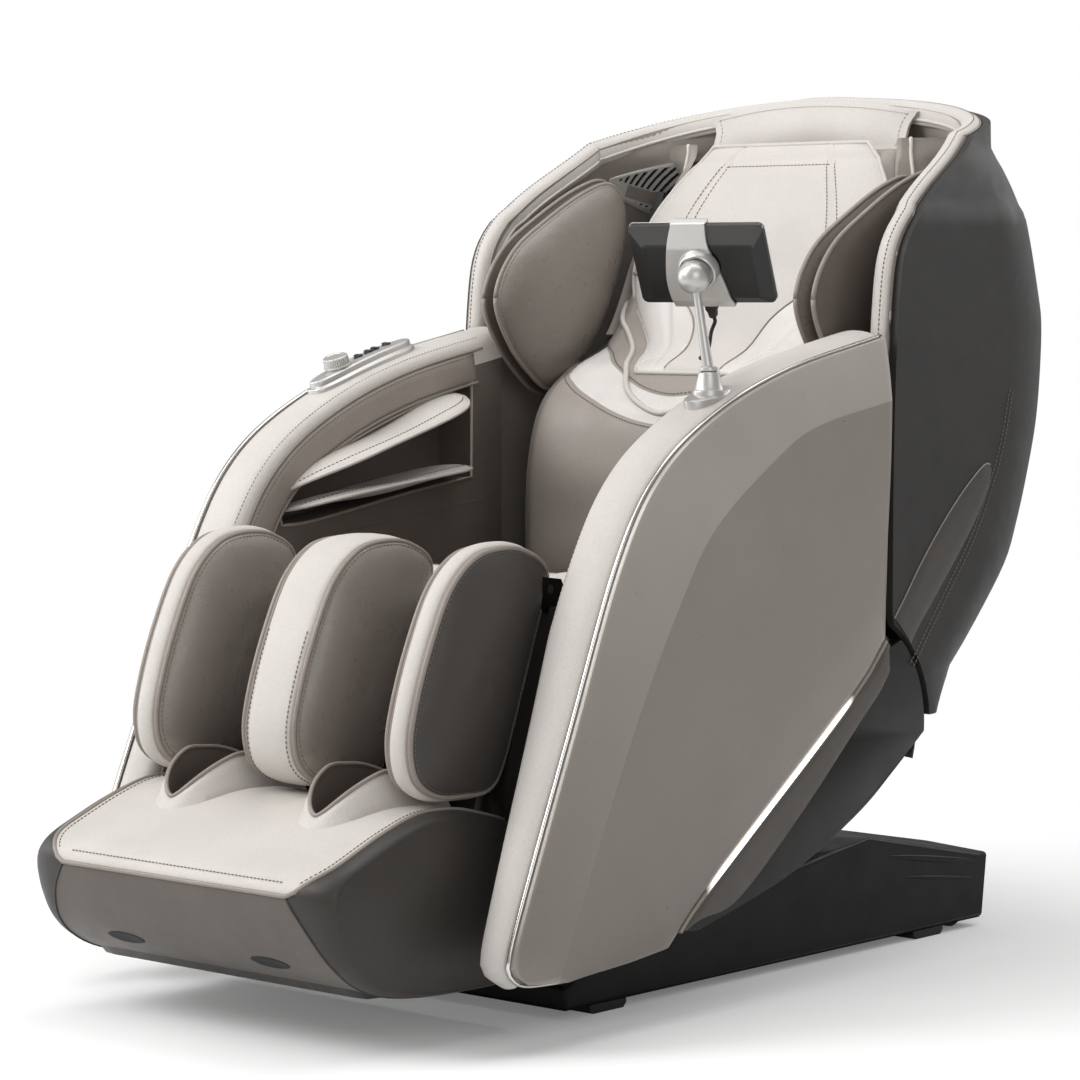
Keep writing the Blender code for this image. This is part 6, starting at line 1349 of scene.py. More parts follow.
def wall_out(outline, k):
    """Outward direction of the calf walls' outline."""
    out = (outline[(k + 1) % len(outline)] - outline[k - 1]).normalized()
    out = Vector((out.y, -out.x))
    return -out if out.dot(outline[k] - WALL_CENTRE) < 0 else out


WALL_SCALE = 0.975      # a pad's seam, as a share of the wall's outline
BAND_CROWN = ((0.0, -0.016), (0.0, -0.004), (0.03, -0.0006), (0.10, 0.0014), (0.25, 0.0032), (0.5, 0.0040),
              (0.75, 0.0032), (0.90, 0.0014), (0.97, -0.0006), (1.0, -0.004), (1.0, -0.016))


def make_calf(name, node, low, high, pad_low, pad_high):
    """Calf wall: a pale band between two plump side pads, each pad in its own piped seam.

    low and high are the wall's sides. A pad is given by its look and the depth of its seam."""
    outline = resample(smooth_loop(WALL_SOFT, 8), 150, closed=True)

    def shrunk(x, share):
        return [Vector((x, *(WALL_CENTRE + (p - WALL_CENTRE) * share))) for p in outline]

    seam_low = low + pad_low[1]
    seam_high = high - pad_high[1]
    core = [shrunk(x, 0.955) for x in (seam_low - 0.001, seam_high + 0.001)]
    loft("%s_core" % name, core, DEEP, "legrest", replaces=(node,), sharp=60)
    band_low = seam_low + 0.006
    width = seam_high - 0.006 - band_low
    rings = []
    for k, p in enumerate(outline):
        out = wall_out(outline, k)
        rings.append([(band_low + width * w, p.x + out.x * h, p.y + out.y * h) for w, h in BAND_CROWN])
    loft("%s_band" % name, rings, LIGHT, "legrest", closed=True, sharp=70, pad=0.8)
    # the stitch rows end below the seat frame, which comes close when the leg rest is up
    lines = [[Vector((band_low + w, *(p + wall_out(outline, k) * 0.0012)))
              for k, p in enumerate(outline[:99]) if p.y < 0.500] for w in (0.0045, width - 0.0045)]
    stitches("%s_stitch" % name, lines, THREAD_DARK, "legrest", radius=0.0008)
    welts = [[Vector((x, *(p - wall_out(outline, k) * 0.0030))) for k, p in enumerate(outline)]
             for x in (band_low - 0.0012, band_low + width + 0.0012)]
    tubes("%s_welt" % name, welts, 0.0024, PIPING, "legrest", 8, closed=True)
    for tag, x, sign, (look, seam) in (("low", seam_low, -1.0, pad_low), ("high", seam_high, 1.0, pad_high)):
        crown = seam + 0.0055
        spots = shrunk(x, WALL_SCALE)
        centre = Vector((x, *WALL_CENTRE))
        rings = pillow_rings(spots, centre, Vector((sign, 0, 0)), crown, 0.004, 26, PILLOW_POWER, PILLOW_SOFT)
        pad = loft("%s_pad_%s" % (name, tag), rings, look, "legrest", sharp=75, pad=0.85)
        puff(pad, pressure=3.0, cap=0.003, frames=12, pinned=lambda v, x=x, s=sign: (v.x - x) * s < 0.0025)
        tubes("%s_pad_welt_%s" % (name, tag), [spots], 0.0036, PIPING, "legrest", 10, closed=True)
        lift = crown * (1 - ROW_SHARE ** PILLOW_POWER) ** PILLOW_SOFT + 0.0003
        row = [centre + (p - centre) * ROW_SHARE + Vector((sign * lift, 0, 0)) for p in spots]
        stitches("%s_pad_stitch_%s" % (name, tag), [row + row[:1]], THREAD_DARK, "legrest", radius=0.0007)


make_calf("calf_middle", "calf_wall_middle", -0.065, 0.065, (PAD, 0.020), (PAD, 0.020))
# the outer pads facing the arms take the darker copy of the pad leather: painted shade
make_calf("calf_left", "calf_wall_left", 0.185, 0.262, (PAD, 0.022), (PAD_SHADED, 0.016))
make_calf("calf_right", "calf_wall_right", -0.262, -0.185, (PAD_SHADED, 0.012), (PAD, 0.024))


def make_apron():
    """Sheet behind the calves, gathered in shallow pleats; its dark tone is painted shade for the recess between the
    calf walls.
    """
    line = resample(smooth([(-0.470, 0.528), (-0.492, 0.470), (-0.520, 0.380), (-0.534, 0.320),
                            (-0.538, 0.262)], 6), 24)

    def spots(r, c):
        x = -0.284 + 0.568 * c / 96
        pleat = 0.0026 * math.sin(c * 0.9) + 0.0012 * math.sin(c * 2.3)
        return (x, line[r].x - 0.003 + pleat, line[r].y), (x, line[r].x + 0.001 + pleat, line[r].y)

    slab("calf_apron", *sheet(len(line), 97, spots), SHADE, "legrest", sharp=70)


make_apron()


# ================================================================ foot unit
FOOT_MIDDLE = Vector((-0.700, 0.150))
FOOT_TIP = -0.886       # depth of the front lip
SEAM_STATION = 0.90     # station of the pale cover's side seams


def seam_x(y):
    """Half width of the pale foot cover; its front corners are rounded."""
    away = min(max((y - FOOT_TIP) / 0.050, 0.0), 1.0)
    return 0.246 - 0.046 * (1 - math.sqrt(1 - (1 - away) ** 2))


def foot_station(outline, station):
    """The foot unit's side outline at a station from -1 to 1, drawn in towards its rounded ends."""
    over = max((abs(station) - SEAM_STATION) / (1 - SEAM_STATION), 0.0)
    angle = min(over, 1.0) * math.pi / 2
    sign = math.copysign(1.0, station)
    draw = 0.11 * (1 - math.cos(angle))
    ring = []
    for y, z in outline:
        p = Vector((y, z))
        p = p + (FOOT_MIDDLE - p) * draw
        edge = seam_x(y)
        x = edge * min(abs(station) / SEAM_STATION, 1.0) + (FOOT_HALF - edge) * math.sin(angle)
        ring.append(Vector((sign * x, p.x, p.y)))
    return ring


def foot_top_z(y):
    """Height of the foot case's top at a depth."""
    return between(soft(FOOT_TOP, 5), y)


def tool_cut(item, verts, faces):
    """Cut a closed mesh out of an object for good."""
    mesh = bpy.data.meshes.new("cut_tool")
    mesh.from_pydata([tuple(v) for v in verts], [], faces)
    tool = bpy.data.objects.new("cut_tool", mesh)
    bpy.context.scene.collection.objects.link(tool)
    step = item.modifiers.new("cut", "BOOLEAN")
    step.operation = "DIFFERENCE"
    step.solver = "EXACT"
    step.object = tool
    bpy.context.view_layer.update()
    shaped = bpy.data.meshes.new_from_object(item.evaluated_get(bpy.context.evaluated_depsgraph_get()))
    item.modifiers.clear()
    item.data = shaped
    bpy.data.objects.remove(tool, do_unlink=True)


def box_mesh(low, high):
    (x0, y0, z0), (x1, y1, z1) = low, high
    return rings_mesh([[(x, y, z) for y, z in ((y0, z0), (y1, z0), (y1, z1), (y0, z1))] for x in (x0, x1)])


FOOT_UNDER = [(-0.886, 0.204), (-0.885, 0.190), (-0.876, 0.160), (-0.856, 0.124), (-0.822, 0.094), (-0.772, 0.073),
              (-0.700, 0.062), (-0.600, 0.058), (-0.556, 0.060), (-0.536, 0.072)]
FOOT_OVER = [(-0.532, 0.246), (-0.545, 0.262), (-0.590, 0.276), (-0.640, 0.287), (-0.700, 0.288), (-0.760, 0.272),
             (-0.820, 0.249), (-0.862, 0.231), (-0.880, 0.217), (-0.886, 0.204)]


def round_well(sign, grow, angle):
    """Point on a foot well's oval, grown by a distance."""
    return (sign * WELL_X + (WELL_HALF_X + grow) * math.cos(angle), WELL_Y + (WELL_HALF_Y + grow) * math.sin(angle))


def make_foot():
    """Upholstered foot unit with its wells, piping and stitches, and the body inside."""
    over = [tuple(p) for p in resample(smooth(FOOT_OVER, 8), 70)]
    under = [tuple(p) for p in resample(smooth(FOOT_UNDER, 8), 60)]
    outline = over + under[1:]
    mid = [-SEAM_STATION + 2 * SEAM_STATION * k / 40 for k in range(41)]
    ends = [SEAM_STATION + (1 - SEAM_STATION) * k / 16 for k in range(1, 17)]
    stations = [-e for e in reversed(ends)] + mid + ends
    rings = [foot_station(outline, t) for t in stations]
    caps = []
    for sign, edge in ((-1.0, rings[0]), (1.0, rings[-1])):
        centre = sum(edge, Vector()) / len(edge)
        cap = []
        for k in range(1, 15):
            r = math.cos(math.pi / 2 * k / 15)
            cap.append([centre + (p - centre) * r + Vector((sign * 0.009 * (1 - r * r), 0, 0)) for p in edge])
        caps.append(cap)
    rings = list(reversed(caps[0])) + rings + caps[1]

    def pick(c):
        if abs(c.x) > seam_x(c.y) + 0.0005:
            return 2
        return 0 if c.z > 0.2042 and c.y < -0.5345 else 1

    cover = loft("foot_upholstery", rings, None, "foot", replaces=("foot_cover",), sharp=60, pad=0.7,
                 looks=[LIGHT, CASE_LOOK, SIDE_LOOK], pick=pick)
    for _, sign in SIDES:
        oval = [[(*round_well(sign, 0.002, 2 * math.pi * k / 48), z) for k in range(48)] for z in (0.074, 0.420)]
        tool_cut(cover, *rings_mesh(oval))
        x0, x1 = sorted((sign * (WELL_X - WELL_HALF_X), sign * (WELL_X + WELL_HALF_X)))
        tool_cut(cover, *box_mesh((x0, -0.812, 0.112), (x1, -0.640, 0.207)))
    # inner body with the wells and the slide rods, drawn in behind the upholstery
    inner = copy_of("foot_case", "foot_body", SIDE_LOOK, "foot")
    outer_line = FOOT_SEAM + FOOT_BOTTOM
    for vertex in inner.data.vertices:
        co = vertex.co
        if abs(co.x) > 0.214:
            co.x = math.copysign(min(abs(co.x), 0.236), co.x)
            co.y += (FOOT_MIDDLE.x - co.y) * 0.14
            co.z += (FOOT_MIDDLE.y - co.z) * 0.14
        elif min(math.hypot(co.y - y, co.z - z) for y, z in outer_line) < 0.003:
            co.y += (FOOT_MIDDLE.x - co.y) * 0.03
            co.z += (FOOT_MIDDLE.y - co.z) * 0.05
        co.z = max(co.z, 0.066)
    inner.data.update()
    # piping and stitches round the pale cover
    lip = len(over) - 1
    side_run = list(range(4, lip, 2)) + [lip]
    left = [foot_station(outline, -SEAM_STATION)[k] for k in side_run]
    right = [foot_station(outline, SEAM_STATION)[k] for k in side_run]
    front = [foot_station(outline, t)[lip] for t in mid[1:-1]]
    tubes("foot_cover_piping", [left + front + list(reversed(right))], 0.0030, PIPING, "foot", 8)
    rows = [[foot_station(outline, sign * (SEAM_STATION - 0.036))[k] + Vector((0, 0, 0.0006))
             for k in side_run[1:-2]] for sign in (-1, 1)]
    rows.append([foot_station(outline, t)[lip - 3] + Vector((0, -0.0004, 0.0005)) for t in mid[3:-3]])
    stitches("foot_cover_stitch", rows, THREAD_DARK, "foot", radius=0.0008)
    seams = [[foot_station(outline, sign * SEAM_STATION)[k] for k in range(lip, len(outline) - 2, 2)]
             for sign in (-1, 1)]
    tubes("foot_side_piping", seams, 0.0018, SIDE_LOOK, "foot", 8)


GLIDE_HALF_X, GLIDE_HALF_Y = 0.034, 0.011
GLIDE_SPOT = (-0.842, 0.110)        # on the foot unit's front slope
GLIDE_ALONG = (-0.72, 0.70)         # up the slope
GLIDE_OUT = (-0.70, -0.72)          # out of it
COLLAR_RINGS = ((-0.004, 0.0, -0.030), (-0.002, 0.45, -0.004), (0.000, 0.85, 0.0), (0.002, 1.0, 0.0),
                (0.006, 0.93, 0.0), (0.010, 0.66, 0.0), (0.014, 0.28, 0.0), (0.020, 0.0, -0.003))


def make_glide(side, sign):
    """Dark oval floor glide let into the front slope."""
    rings = []
    for r, lift in ((1.0, -0.003), (1.0, 0.0008), (0.90, 0.0016), (0.74, 0.0012), (0.4, 0.0010)):
        ring = []
        for k in range(36):
            angle = 2 * math.pi * k / 36
            along = GLIDE_HALF_Y * r * math.sin(angle)
            y = GLIDE_SPOT[0] + along * GLIDE_ALONG[0]
            z = GLIDE_SPOT[1] + along * GLIDE_ALONG[1]
            ring.append((sign * WELL_X + GLIDE_HALF_X * r * math.cos(angle),
                         y + GLIDE_OUT[0] * lift, z + GLIDE_OUT[1] * lift))
        rings.append(ring)
    loft("foot_glide_%s" % side, rings, RUBBER, "foot", sharp=50)


def make_collar(side, sign):
    """Soft collar round an ankle, higher at its sides and in front."""
    rings = []
    crest = []
    for k in range(96):
        angle = 2 * math.pi * k / 96
        across = math.cos(angle) ** 2
        front = ease(-math.sin(angle) * 2.5)
        lift = 0.011 + (0.030 + 0.006 * front) * across ** 0.75 + 0.0012 * math.sin(5 * angle)
        ring = []
        for grow, share, drop in COLLAR_RINGS:
            x, y = round_well(sign, grow, angle)
            ring.append((x, y, foot_top_z(y) + drop + lift * share))
        rings.append(ring)
        x, y = round_well(sign, 0.003, angle)
        crest.append((x, y, foot_top_z(y) + lift + 0.001))
    reach = (WELL_HALF_X + 0.0015, WELL_HALF_Y + 0.0015)
    loft("ankle_collar_%s" % side, rings, None, "foot", closed=True, sharp=70, pad=0.4, looks=[LIGHT, DEEP],
         pick=lambda c: int(math.hypot((abs(c.x) - WELL_X) / reach[0], (c.y - WELL_Y) / reach[1]) < 1.0))
    tubes("ankle_piping_%s" % side, [crest], 0.0030, PIPING, "foot", 8, closed=True)


make_foot()
for _side, _sign in SIDES:
    make_glide(_side, _sign)
for _side, _sign in SIDES:
    make_collar(_side, _sign)
    recolour("foot_roller_%s" % _side, RUBBER)

# ================================================================ base and carried-over solids
for _node in ("base_frame", "carriage_frame", "seat_frame"):
    recolour(_node, SATIN)
for _node in ("front_skid", "rear_skid"):
    recolour(_node, RUBBER)


def rounded_copy(node, name, look, body, width):
    """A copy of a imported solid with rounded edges."""
    round_edges(copy_of(node, name, look, body), width, 30)


rounded_copy("base_cover", "base_skin", SATIN, "base", 0.007)


RIBS = (("upper", 0.128, 0.096, 0.230, 0.446, 0.010), ("lower", 0.094, 0.072, 0.270, 0.440, 0.006))


def make_base_ribs(side, sign):
    """Raised ribs along the rear of the base's flanks."""
    for name, z0, z1, y0, y1, tall in RIBS:
        rings = []
        for k in range(21):
            t = k / 20
            y = y0 + (y1 - y0) * t
            z = z0 + (z1 - z0) * t
            swell = math.sin(math.pi * min(max(t, 0.02), 0.98)) ** 0.5
            rings.append([(sign * (0.2795 + 0.0030 * swell * max(math.cos(a), 0.0)), y,
                           z + tall * 0.5 * swell * math.sin(a)) for a in (math.pi * (q / 8 - 0.5) for q in range(9))])
        loft("base_rib_%s_%s" % (name, side), rings, SATIN, "base", sharp=60)


for _side, _sign in SIDES:
    make_base_ribs(_side, _sign)


# ================================================================ lower cover
def make_lower_cover():
    """Gloss side plates under the light, tied behind by a bowl whose corners are drawn in."""
    seam = SEAM_RADIUS - SEAM_GAP
    arc = [(seam * math.cos(math.radians(a)), RECLINE_Z + seam * math.sin(math.radians(a)))
           for a in range(50, -7, -3)]
    outline = resample(light_line(-LIGHT_WIDTH)[3:-2] + arc + soft(LOWER_EDGE, 6), 220, closed=True)
    middle = sum(outline, Vector((0, 0))) / len(outline)
    skins = []
    for _, sign in SIDES:
        skins.append([[(sign * x, *(p + (middle - p).normalized() * inset)) for p in outline]
                      for x, inset in ((PANEL_INNER, 0.0), (PANEL_INNER + 0.008, 0.0),
                                       (ARM_HALF - LOWER_FALL - 0.006, 0.0), (ARM_HALF - LOWER_FALL - 0.0030, 0.0014),
                                       (ARM_HALF - LOWER_FALL - 0.0018, 0.0040))])
    bowl = []
    for degrees, draw in ((1.5, 0.0), (-4, 0.010), (-9, 0.030), (-14, 0.060), (-19, 0.100)):
        angle = math.radians(degrees)
        ring = []
        for depth in (0.0, 0.006):
            run = []
            for t in (k / 40 for k in range(41)):
                x, y = hood_plan(t, HOOD_BOTTOM, SHELL_THICK + 0.006 + depth)
                corner = draw * max(1 - t * 1.05, 0.0)
                x -= corner * 0.8
                y -= corner * 0.9
                if t == 0.0:
                    x = PANEL_INNER + 0.001
                    y = seam - depth * 0.6
                run.append((x, y * math.cos(angle), RECLINE_Z + y * math.sin(angle)))
            run += [(-x, y, z) for x, y, z in reversed(run[:-1])]
            ring += run if depth == 0.0 else list(reversed(run))
        bowl.append(ring)
    verts = []
    faces = []
    for rings in skins + [bowl]:
        v, f = rings_mesh(rings)
        base = len(verts)
        verts += v
        faces += [tuple(i + base for i in face) for face in f]
    piece("lower_cover_skin", verts, faces, COVER_LOOK, "seat", replaces=("lower_cover",), sharp=40)


make_lower_cover()


# ================================================================ speaker grilles
def lining_x(y, z):
    """Half width of the lining's inner face at a depth and height."""
    inset = SHELL_THICK + FIT + LINING_THICK
    half = HOOD_HALF - between(SIDE_SOFT, z) - inset
    rear = between(REAR_SOFT, z) - inset
    corner_x = min(between(CORNER_SOFT, z) - inset, half - 0.02)
    corner_y = min(CORNER - inset, rear - hood_front_y(z) - 0.001)
    share = min(max((y - rear + corner_y) / corner_y, 0.0), 0.999)
    return half - corner_x + corner_x * math.sqrt(1 - share * share)


GRILLE_FRONT, GRILLE_LONG = 0.335, 0.120


def grille_low(y):
    return 1.076 - 0.050 * (y - GRILLE_FRONT) / GRILLE_LONG


def grille_high(y):
    return 1.096 + 0.041 * (y - GRILLE_FRONT) / GRILLE_LONG


def grille_split(y):
    """Height of the line between the grille's two fans of slots."""
    return 1.072 - 0.27 * (y - 0.355)


def grille_hole(y, z):
    """Whether a point of the grille lies in a slot."""
    diagonal = grille_split(y)
    if 0.350 < y < 0.449 and diagonal + 0.020 < z < grille_high(y) - 0.006:
        return ((y - 0.352 - 0.25 * (z - 1.10)) / 0.0095) % 1.0 < 0.52
    if 0.360 < y < 0.447 and grille_low(y) + 0.006 < z < diagonal - 0.002:
        return ((y - 0.362 - 0.25 * (z - 1.05)) / 0.0100) % 1.0 < 0.52
    return False


def make_back_side(side, sign):
    """Upholstered flank from the back pad's upper edge to the lining behind it."""
    def spots(r, c):
        z = 0.860 + 0.285 * r / 30
        near = (pad_wide(min(z, 1.13)) - 0.004, back_front(z) + 0.004)
        deep = next((0.005 * k for k in range(50, 120) if lining_x(0.005 * k, z) < 0.268), 0.47)
        t = c / 12
        x = near[0] + (0.270 - near[0]) * t - 0.010 * math.sin(math.pi * t)
        y = near[1] + (deep + 0.004 - near[1]) * t
        return (sign * x, y, z), (sign * (x - 0.008), y + 0.004, z)

    front, back = sheet(31, 13, spots)
    slab("back_flank_%s" % side, front, back, BACK_TONE, "back", sharp=70, pad=0.5)
    tubes("back_flank_piping_%s" % side, [[Vector(row[3]) + Vector((sign * 0.001, 0, 0)) for row in front]],
          0.0030, PEARL, "back", 8)


for _side, _sign in SIDES:
    make_back_side(_side, _sign)


def make_grille(side, sign):
    """Speaker cover let into the hood's corner, with two fans of slots through it."""
    columns = 150
    rows = 44
    spots = {}

    def spot(c, r, depth):
        y = GRILLE_FRONT + GRILLE_LONG * c / columns
        t = r / rows
        z = grille_low(y) + (grille_high(y) - grille_low(y)) * t
        ends = min(c / 5, (columns - c) / 5, r / 3, (rows - r) / 3, 1.0)
        x = lining_x(y, z) - 0.0015 - depth * (0.3 + 0.7 * ends)
        return Vector((sign * x, y - depth * 0.5, z))

    verts = []

    def index(c, r, depth):
        key = (c, r, depth)
        if key not in spots:
            spots[key] = len(verts)
            verts.append(spot(c, r, 0.0035 if depth else 0.0))
        return spots[key]

    def kept(c, r):
        if not (0 <= c < columns and 0 <= r < rows):
            return False
        y = GRILLE_FRONT + GRILLE_LONG * (c + 0.5) / columns
        z = grille_low(y) + (grille_high(y) - grille_low(y)) * (r + 0.5) / rows
        return not grille_hole(y, z)

    faces = []
    for c in range(columns):
        for r in range(rows):
            if not kept(c, r):
                continue
            faces.append(tuple(index(a, b, 1) for a, b in ((c, r), (c + 1, r), (c + 1, r + 1), (c, r + 1))))
            faces.append(tuple(index(a, b, 0) for a, b in ((c, r), (c, r + 1), (c + 1, r + 1), (c + 1, r))))
            for (dc, dr), (p, q) in (((-1, 0), ((c, r), (c, r + 1))), ((1, 0), ((c + 1, r + 1), (c + 1, r))),
                                     ((0, -1), ((c + 1, r), (c, r))), ((0, 1), ((c, r + 1), (c + 1, r + 1)))):
                if not kept(c + dc, r + dr):
                    faces.append((index(*p, 1), index(*q, 1), index(*q, 0), index(*p, 0)))

    def pick(p):
        return 1 if 0.366 < p.y and grille_split(p.y) < p.z < grille_split(p.y) + 0.018 else 0

    piece("grille_%s" % side, verts, faces, None, "back", replaces=("speaker_grille_%s" % side,), sharp=40,
          looks=[GRILLE_LOOK, TAUPE], pick=pick)
    # dark cloth behind the slots

    def cloth(r, c):
        y = 0.340 + 0.110 * c / 24
        z = grille_low(y) + (grille_high(y) - grille_low(y)) * (0.06 + 0.88 * r / 8)
        return (sign * (lining_x(y, z) - 0.0010), y, z), (sign * (lining_x(y, z) + 0.0010), y, z)

    slab("grille_mesh_%s" % side, *sheet(9, 25, cloth), RUBBER, "back", sharp=60)


for _side, _sign in SIDES:
    make_grille(_side, _sign)


# ================================================================ tablet, post and socket
SOCKET_X = PANEL_INNER - 0.032
SOCKET_Y = -0.262
SOCKET_TOP = 0.836      # height of the solid's collar, where the post starts
BALL = Vector((SOCKET_X - 0.021, SOCKET_Y - 0.005, SOCKET_TOP + 0.108))
TABLET_WIDE = 0.186
TABLET_HIGH = 0.116
TABLET_THICK = 0.014
AZIMUTH = math.radians(18)      # turn of the tablet about the post
LEAN = math.radians(-31)        # and its tilt on the ball
T_BACK = Vector((math.sin(AZIMUTH) * math.cos(LEAN), -math.cos(AZIMUTH) * math.cos(LEAN), math.sin(LEAN)))
T_SIDE = Vector((math.cos(AZIMUTH), math.sin(AZIMUTH), 0.0))
T_UP = T_SIDE.cross(T_BACK) * -1.0
BALL_OUT = TABLET_THICK / 2 + FIT + 0.004 + 0.0006 + 0.022


def tablet_point(u, v, w):
    """u to the tablet's side, v up along its screen, w out of its back."""
    return BALL - T_BACK * BALL_OUT + T_SIDE * u + T_UP * v + T_BACK * w


def rounded_run(low_u, high_u, low_v, high_v, radius):
    """Rectangle with rounded corners."""
    steps = 6
    run = []
    for cu, cv, start in ((high_u - radius, low_v + radius, -90), (high_u - radius, high_v - radius, 0),
                          (low_u + radius, high_v - radius, 90), (low_u + radius, low_v + radius, 180)):
        for k in range(steps + 1):
            angle = math.radians(start + 90 * k / steps)
            run.append((cu + radius * math.cos(angle), cv + radius * math.sin(angle)))
    return run


def lathe(base, axis, profile, count=48):
    """Rings round an axis from (distance along it, radius) pairs."""
    axis = Vector(axis).normalized()
    side = axis.orthogonal().normalized()
    up = axis.cross(side)
    return [[Vector(base) + axis * along + (side * math.cos(a) + up * math.sin(a)) * radius
             for a in (2 * math.pi * k / count for k in range(count))] for along, radius in profile]


BALL_SKIN = 0.0217
# depth, insets at the sides, foot and head, corner radius
CASE_RINGS = ((-0.0070, 0.0020, 0.0020, 0.0020, 0.006), (-0.0062, 0.0006, 0.0006, 0.0006, 0.007),
              (-0.0050, 0.0, 0.0, 0.0, 0.008), (0.0010, 0.0, 0.0, 0.0, 0.008),
              (0.0018, 0.0004, 0.0004, 0.0004, 0.008), (0.0062, 0.0165, 0.0090, 0.0265, 0.005),
              (0.0068, 0.0180, 0.0100, 0.0280, 0.005), (0.0070, 0.0200, 0.0120, 0.0300, 0.005))


def make_tablet():
    """Tablet with bevelled back and screen, its bracket, the ball and the post."""
    wide = TABLET_WIDE / 2
    high = TABLET_HIGH / 2
    rings = [[tablet_point(u, v, w) for u, v in
              rounded_run(-wide + side, wide - side, -high + foot, high - head, radius)]
             for w, side, foot, head, radius in CASE_RINGS]
    middle = tablet_point(0, 0, 0)

    # the top bevel of the back takes the paler copy of the black: painted highlight
    def pick(c):
        v, w = (c - middle).dot(T_UP), (c - middle).dot(T_BACK)
        return 1 if 0.0016 < w < 0.0064 and v > high - 0.030 else 0

    loft("tablet_body", rings, None, "tablet", replaces=("tablet_case",), sharp=22, looks=[SCREEN, BEVEL_HIGHLIGHT_LOOK],
         pick=pick)
    # painted highlight: a thin silver line round the front edge stands in for the highlight along the glossy front
    # frame
    rim = [tablet_point(u, v, -0.0056) for u, v in rounded_run(-wide, wide, -high, high, 0.008)]
    tubes("tablet_rim_highlight", [rim], 0.0006, SILVER, "tablet", 6, closed=True)
    screen = [[tablet_point(u, v, w) for u, v in rounded_run(-wide + m, wide - m, -high + m, high - m, 0.004)]
              for w, m in ((-0.0068, 0.004), (-0.0072, 0.0042), (-0.0073, 0.006))]
    loft("tablet_screen", screen, GLASS, "tablet", sharp=30)
    # bracket: a formed plate over the back that hooks round both long edges
    edge = high + FIT
    path = [(edge - 0.0035, -0.0105), (edge + 0.0025, -0.0108), (edge + 0.0036, -0.0096),
            (edge + 0.0037, 0.0028), (edge + 0.0026, 0.0044), (high - 0.028, 0.0110), (high - 0.031, 0.0113),
            (-high + 0.012, 0.0113), (-high + 0.008, 0.0106), (-edge - 0.0030, 0.0062),
            (-edge - 0.0036, 0.0050), (-edge - 0.0036, -0.0096), (-edge - 0.0026, -0.0108),
            (-edge + 0.0065, -0.0105)]
    path = [tuple(p) for p in resample(path, 120)]
    inner = offset_run(path, 0.0030)
    left = soft([(0.0, -0.032), (0.22, -0.040), (0.65, -0.0495), (1.0, -0.047)], 5)
    right = soft([(0.0, 0.016), (0.22, 0.0165), (0.65, 0.029), (1.0, 0.0365)], 5)

    def spots(r, c):
        (v, w), (iv, iw) = path[r], inner[r]
        t = min(max((edge - v) / (2 * edge), 0.0), 1.0)
        low_u, high_u = between(left, t), between(right, t)
        rim = c in (0, 12)
        u = low_u + 0.0005 * rim * (1 if c == 0 else -1) + (high_u - low_u) * c / 12
        return (tablet_point(u, v, w - 0.0004 * rim),
                tablet_point(low_u + (high_u - low_u) * c / 12, iv, iw))

    outer_rows, inner_rows = sheet(len(path), 13, spots)
    slab("bracket_plate", outer_rows, inner_rows, SILVER, "tablet", replaces=("tablet_bracket",), sharp=32)
    cup = lathe(middle, T_BACK, [(0.0100, 0.0275), (0.0125, 0.0280), (0.0150, 0.0272), (0.0205, 0.0258),
                                 (0.0232, 0.0246), (0.0240, 0.0236), (0.0236, 0.0228), (0.0200, 0.0215)])
    loft("bracket_cup", cup, SILVER, "tablet", sharp=40)
    # ball and post
    axis = (BALL - Vector((SOCKET_X, SOCKET_Y, SOCKET_TOP + 0.010))).normalized()
    profile = [(-0.0216, 0.0052), (-0.0206, 0.0064)]
    profile += [(-BALL_SKIN * math.cos(math.pi * k / 40), BALL_SKIN * math.sin(math.pi * k / 40))
                for k in range(5, 40)]
    loft("post_ball", lathe(BALL, axis, profile, 64), SILVER, "post", replaces=("tablet_post",), sharp=50)
    foot = Vector((SOCKET_X, SOCKET_Y, SOCKET_TOP))
    run = resample([foot + Vector((0, 0, -0.016)), BALL - axis * 0.019], 30)
    taper = tube_rings(run, lambda t: 0.0076 - 0.0028 * t + 0.0018 * ease((t - 0.94) / 0.06), 32)
    loft("post_tube", taper, SILVER, "post", sharp=60)
    collar = lathe(foot, (0, 0, 1), [(-0.0150, 0.0092), (-0.0130, 0.0105), (-0.0124, 0.0118), (-0.0104, 0.0120),
                                     (-0.0080, 0.0116), (-0.0070, 0.0104), (-0.0064, 0.0078), (-0.0060, 0.0060)])
    loft("post_collar", collar, SILVER, "post", sharp=35)


def band_at(y, x, extra):
    """Point above the arm band's crown, square to it."""
    share = (abs(x) - SEAT_HALF) / (PANEL_INNER - FIT - SEAT_HALF)
    py, pz = arm_point(arm_index(y), -between(BAND_LIFTS, share) - extra)
    return Vector((x, py, pz))


def seat_rings(cx, cy, half_x, half_y, levels, power):
    """Rings that follow the arm band: (inset, height) pairs inside a rounded outline."""
    count = 96
    rings = []
    for inset, height in levels:
        ring = []
        for k in range(count):
            angle = 2 * math.pi * k / count
            c, s = math.cos(angle), math.sin(angle)
            x = cx + (half_x - inset) * math.copysign(abs(c) ** power, c)
            y = cy + (half_y - inset) * math.copysign(abs(s) ** power, s)
            ring.append(band_at(y, x, height))
        rings.append(ring)
    return rings


